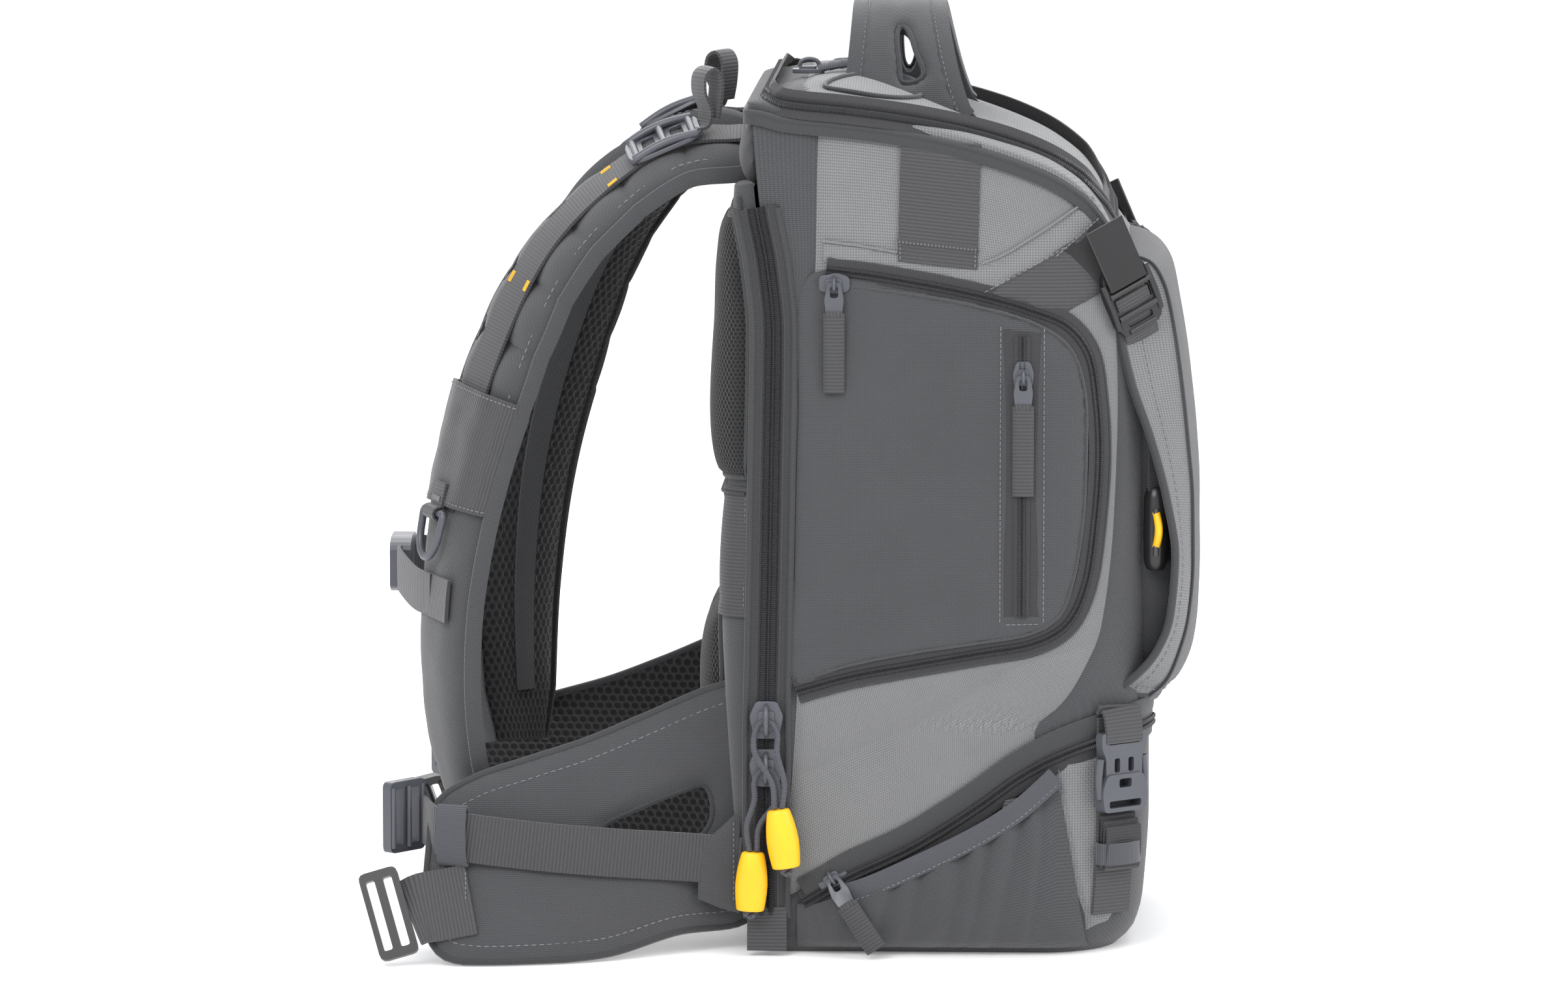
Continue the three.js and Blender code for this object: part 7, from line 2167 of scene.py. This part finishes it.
def front_toggle(side):
    """Black barrel with a window for its cord loop, hanging from a short webbing at the pocket's side."""
    x = section(236)[1] + 6
    y = -(POCKET_HALF + 8)
    profile = [(213, 3.0), (214, 5.2), (218, 6.6), (236, 7.0), (254, 6.6), (259, 5.4), (260.5, 3.0)]
    line = [Vector((x, y, z)) for z, r in profile]
    radii = [r for z, r in profile]
    ring = circle(16)
    barrel = swept(line, NEAR_WAY, lambda i, share: [(radii[i] * c, radii[i] * s) for c, s in ring])
    loop_line = []
    for k in range(13):
        bow = math.sin(math.pi * k / 12)
        loop_line.append(Vector((x + 1.5 * bow, y - 5.4 - 3.4 * bow, 227 + 1.6 * k)))
    loop = tube(loop_line, 2.3, 8)
    window = tube([Vector((x, y - 6.2, 222 + 2.4 * k)) for k in range(12)], 1.9, 8)
    hanger_line = [Vector((x, y - 0.5, 258 + 5 * k)) for k in range(13)]
    hanger = band(hanger_line, Vector((0.5, -0.86, 0)), 11, 1.6, 0.0, 0.3)
    return [barrel, loop, window, hanger]


both("front_toggle", front_toggle, [BLACK, YELLOW, TEETH, WEB_DARK], slot="black_plastic")


# Sliders on the side and their pulls: depth, height, turn, lift, pull's length, its tilt and its lean
SIDE_SLIDERS = {
    "door": (along(0.175), up(0.798), 0, 2.4, 60, 0, 1.5),
    "pocket": (along(0.675), up(0.69), 90, 2.4, 66, 0, 0),
    "base": (along(0.17), up(0.094), 30, 0.0, 46, 33, 8),
}


def side_slider(kind):
    x, z, turn, proud, _, tilt, _ = SIDE_SLIDERS[kind]
    at = side_frame(x, z, proud + 0.6, -turn)
    shapes = slider_body((at[0], at[2], at[1], at[3]), 12, 17, 3.4)
    bail_at = side_frame(x, z, proud + 3.6, -tilt)
    shapes.append(wire_loop(bail_at, 3.7, -3.7, 5.0, 1.0))
    return shapes


def side_pull(kind):
    x, z, _, proud, length, tilt, lean = SIDE_SLIDERS[kind]
    origin, across, upward, outward = side_frame(x, z, proud + 5.3, -tilt)

    def place(a, b, off):
        share = min(1.0, max(0.0, (-b - 1.1) / 14.9))
        return origin + across * a + upward * b + outward * (off + lean * share)
    puller = round_corners([(-4.4, -17), (4.4, -17), (5.4, -8.5), (3.4, 1.1), (-3.4, 1.1), (-5.4, -8.5)], 1.6)
    eye = slot_outline(0, -4.3, 4.6, 6.4, 1.6)
    metal = panel(puller, place, 1.2, 40, edge=0.6, roll=0.8, holes=[eye], back=-1.2)
    path = [place(0, -16 - (length - 16) * k / 24, 0) for k in range(25)]
    ring = circle(12)
    tab = swept(path, outward, lambda i, share: [
        (5.9 * c, (1.9 + 0.15 * math.sin(i * 2.1)) * s) for c, s in ring])
    fold = tube([place(a, -16.6, 0) for a in (-4.5, -2, 0, 2, 4.5)], 2.1, 8)
    return [metal, tab, fold]


for kind in ("door", "pocket", "base"):
    both(f"{kind}_slider", lambda side, kind=kind: side_slider(kind), [PLASTIC], slot="plastic", bevel=0.4)
    both(f"{kind}_pull", lambda side, kind=kind: side_pull(kind), [PLASTIC, WEB, WEB], node=f"{kind}_pull",
         body=f"{kind}_pull", slot="webbing")


def lid_tree():
    verts, faces = [], []
    for word in ("left", "right"):
        mesh = bpy.data.objects[f"lid_{word}"].data
        start = len(verts)
        verts += [v.co.copy() for v in mesh.vertices]
        faces += [[start + i for i in f.vertices] for f in mesh.polygons]
    return BVHTree.FromPolygons(verts, faces)


LID_TREE = lid_tree()


def on_lid(x, y, lift=0.0):
    hit = LID_TREE.ray_cast(Vector((x * MM, y * MM, 0.7)), Vector((0, 0, -1)))
    return Vector((x, y, (hit[0].z / MM if hit[0] else 480.0) + lift))


def lid_pull():
    """The lid's slider and its long braided pull, which lies under the handle's arch."""
    x0 = along(0.12)
    points = []
    for k in range(25):
        share = k / 24
        points.append(on_lid(x0 + share * 54, -34 - 12 * share, 3.4 + 1.5 * math.sin(math.pi * share)))
    ring = circle(12)
    braid = swept(points, Vector((0, -0.3, 1)), lambda i, share: [
        (4.6 * c, (2.2 + 0.3 * math.sin(i * 2.4)) * s) for c, s in ring])
    make("lid_pull", [braid], [CORD], node="lid_pull", slot="webbing")
    head = on_lid(x0 - 6, -34, 2.6)
    at = (head, NEAR_WAY, FRONT_WAY, TOP_WAY)
    shapes = slider_body(at, 12, 18, 4.0)
    shapes.append(wire_loop((at[0] + Vector((0, 0, 3.4)), *at[1:]), 6, -5, 4.6, 1.3))
    make("lid_slider", shapes, [PLASTIC], slot="plastic", bevel=0.4)


lid_pull()


# Nodes whose shape stays get their finish; the rest are stood for by the pieces above
def finish_node(name, material):
    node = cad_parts[name]
    node.data.materials.clear()
    node.data.materials.append(material)


finish_node("sternum_buckle", PLASTIC)
STANDS_FOR = {
    "side_panel_left": ["body_shell"], "lid_left": ["top_lid"], "flap_left": ["front_flap"],
    "front_pocket_left": ["front_pocket"], "back_panel_left": ["back_panel"],
    "trolley_band_left": ["trolley_band"],
}
for piece, names in STANDS_FOR.items():
    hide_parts(*names)
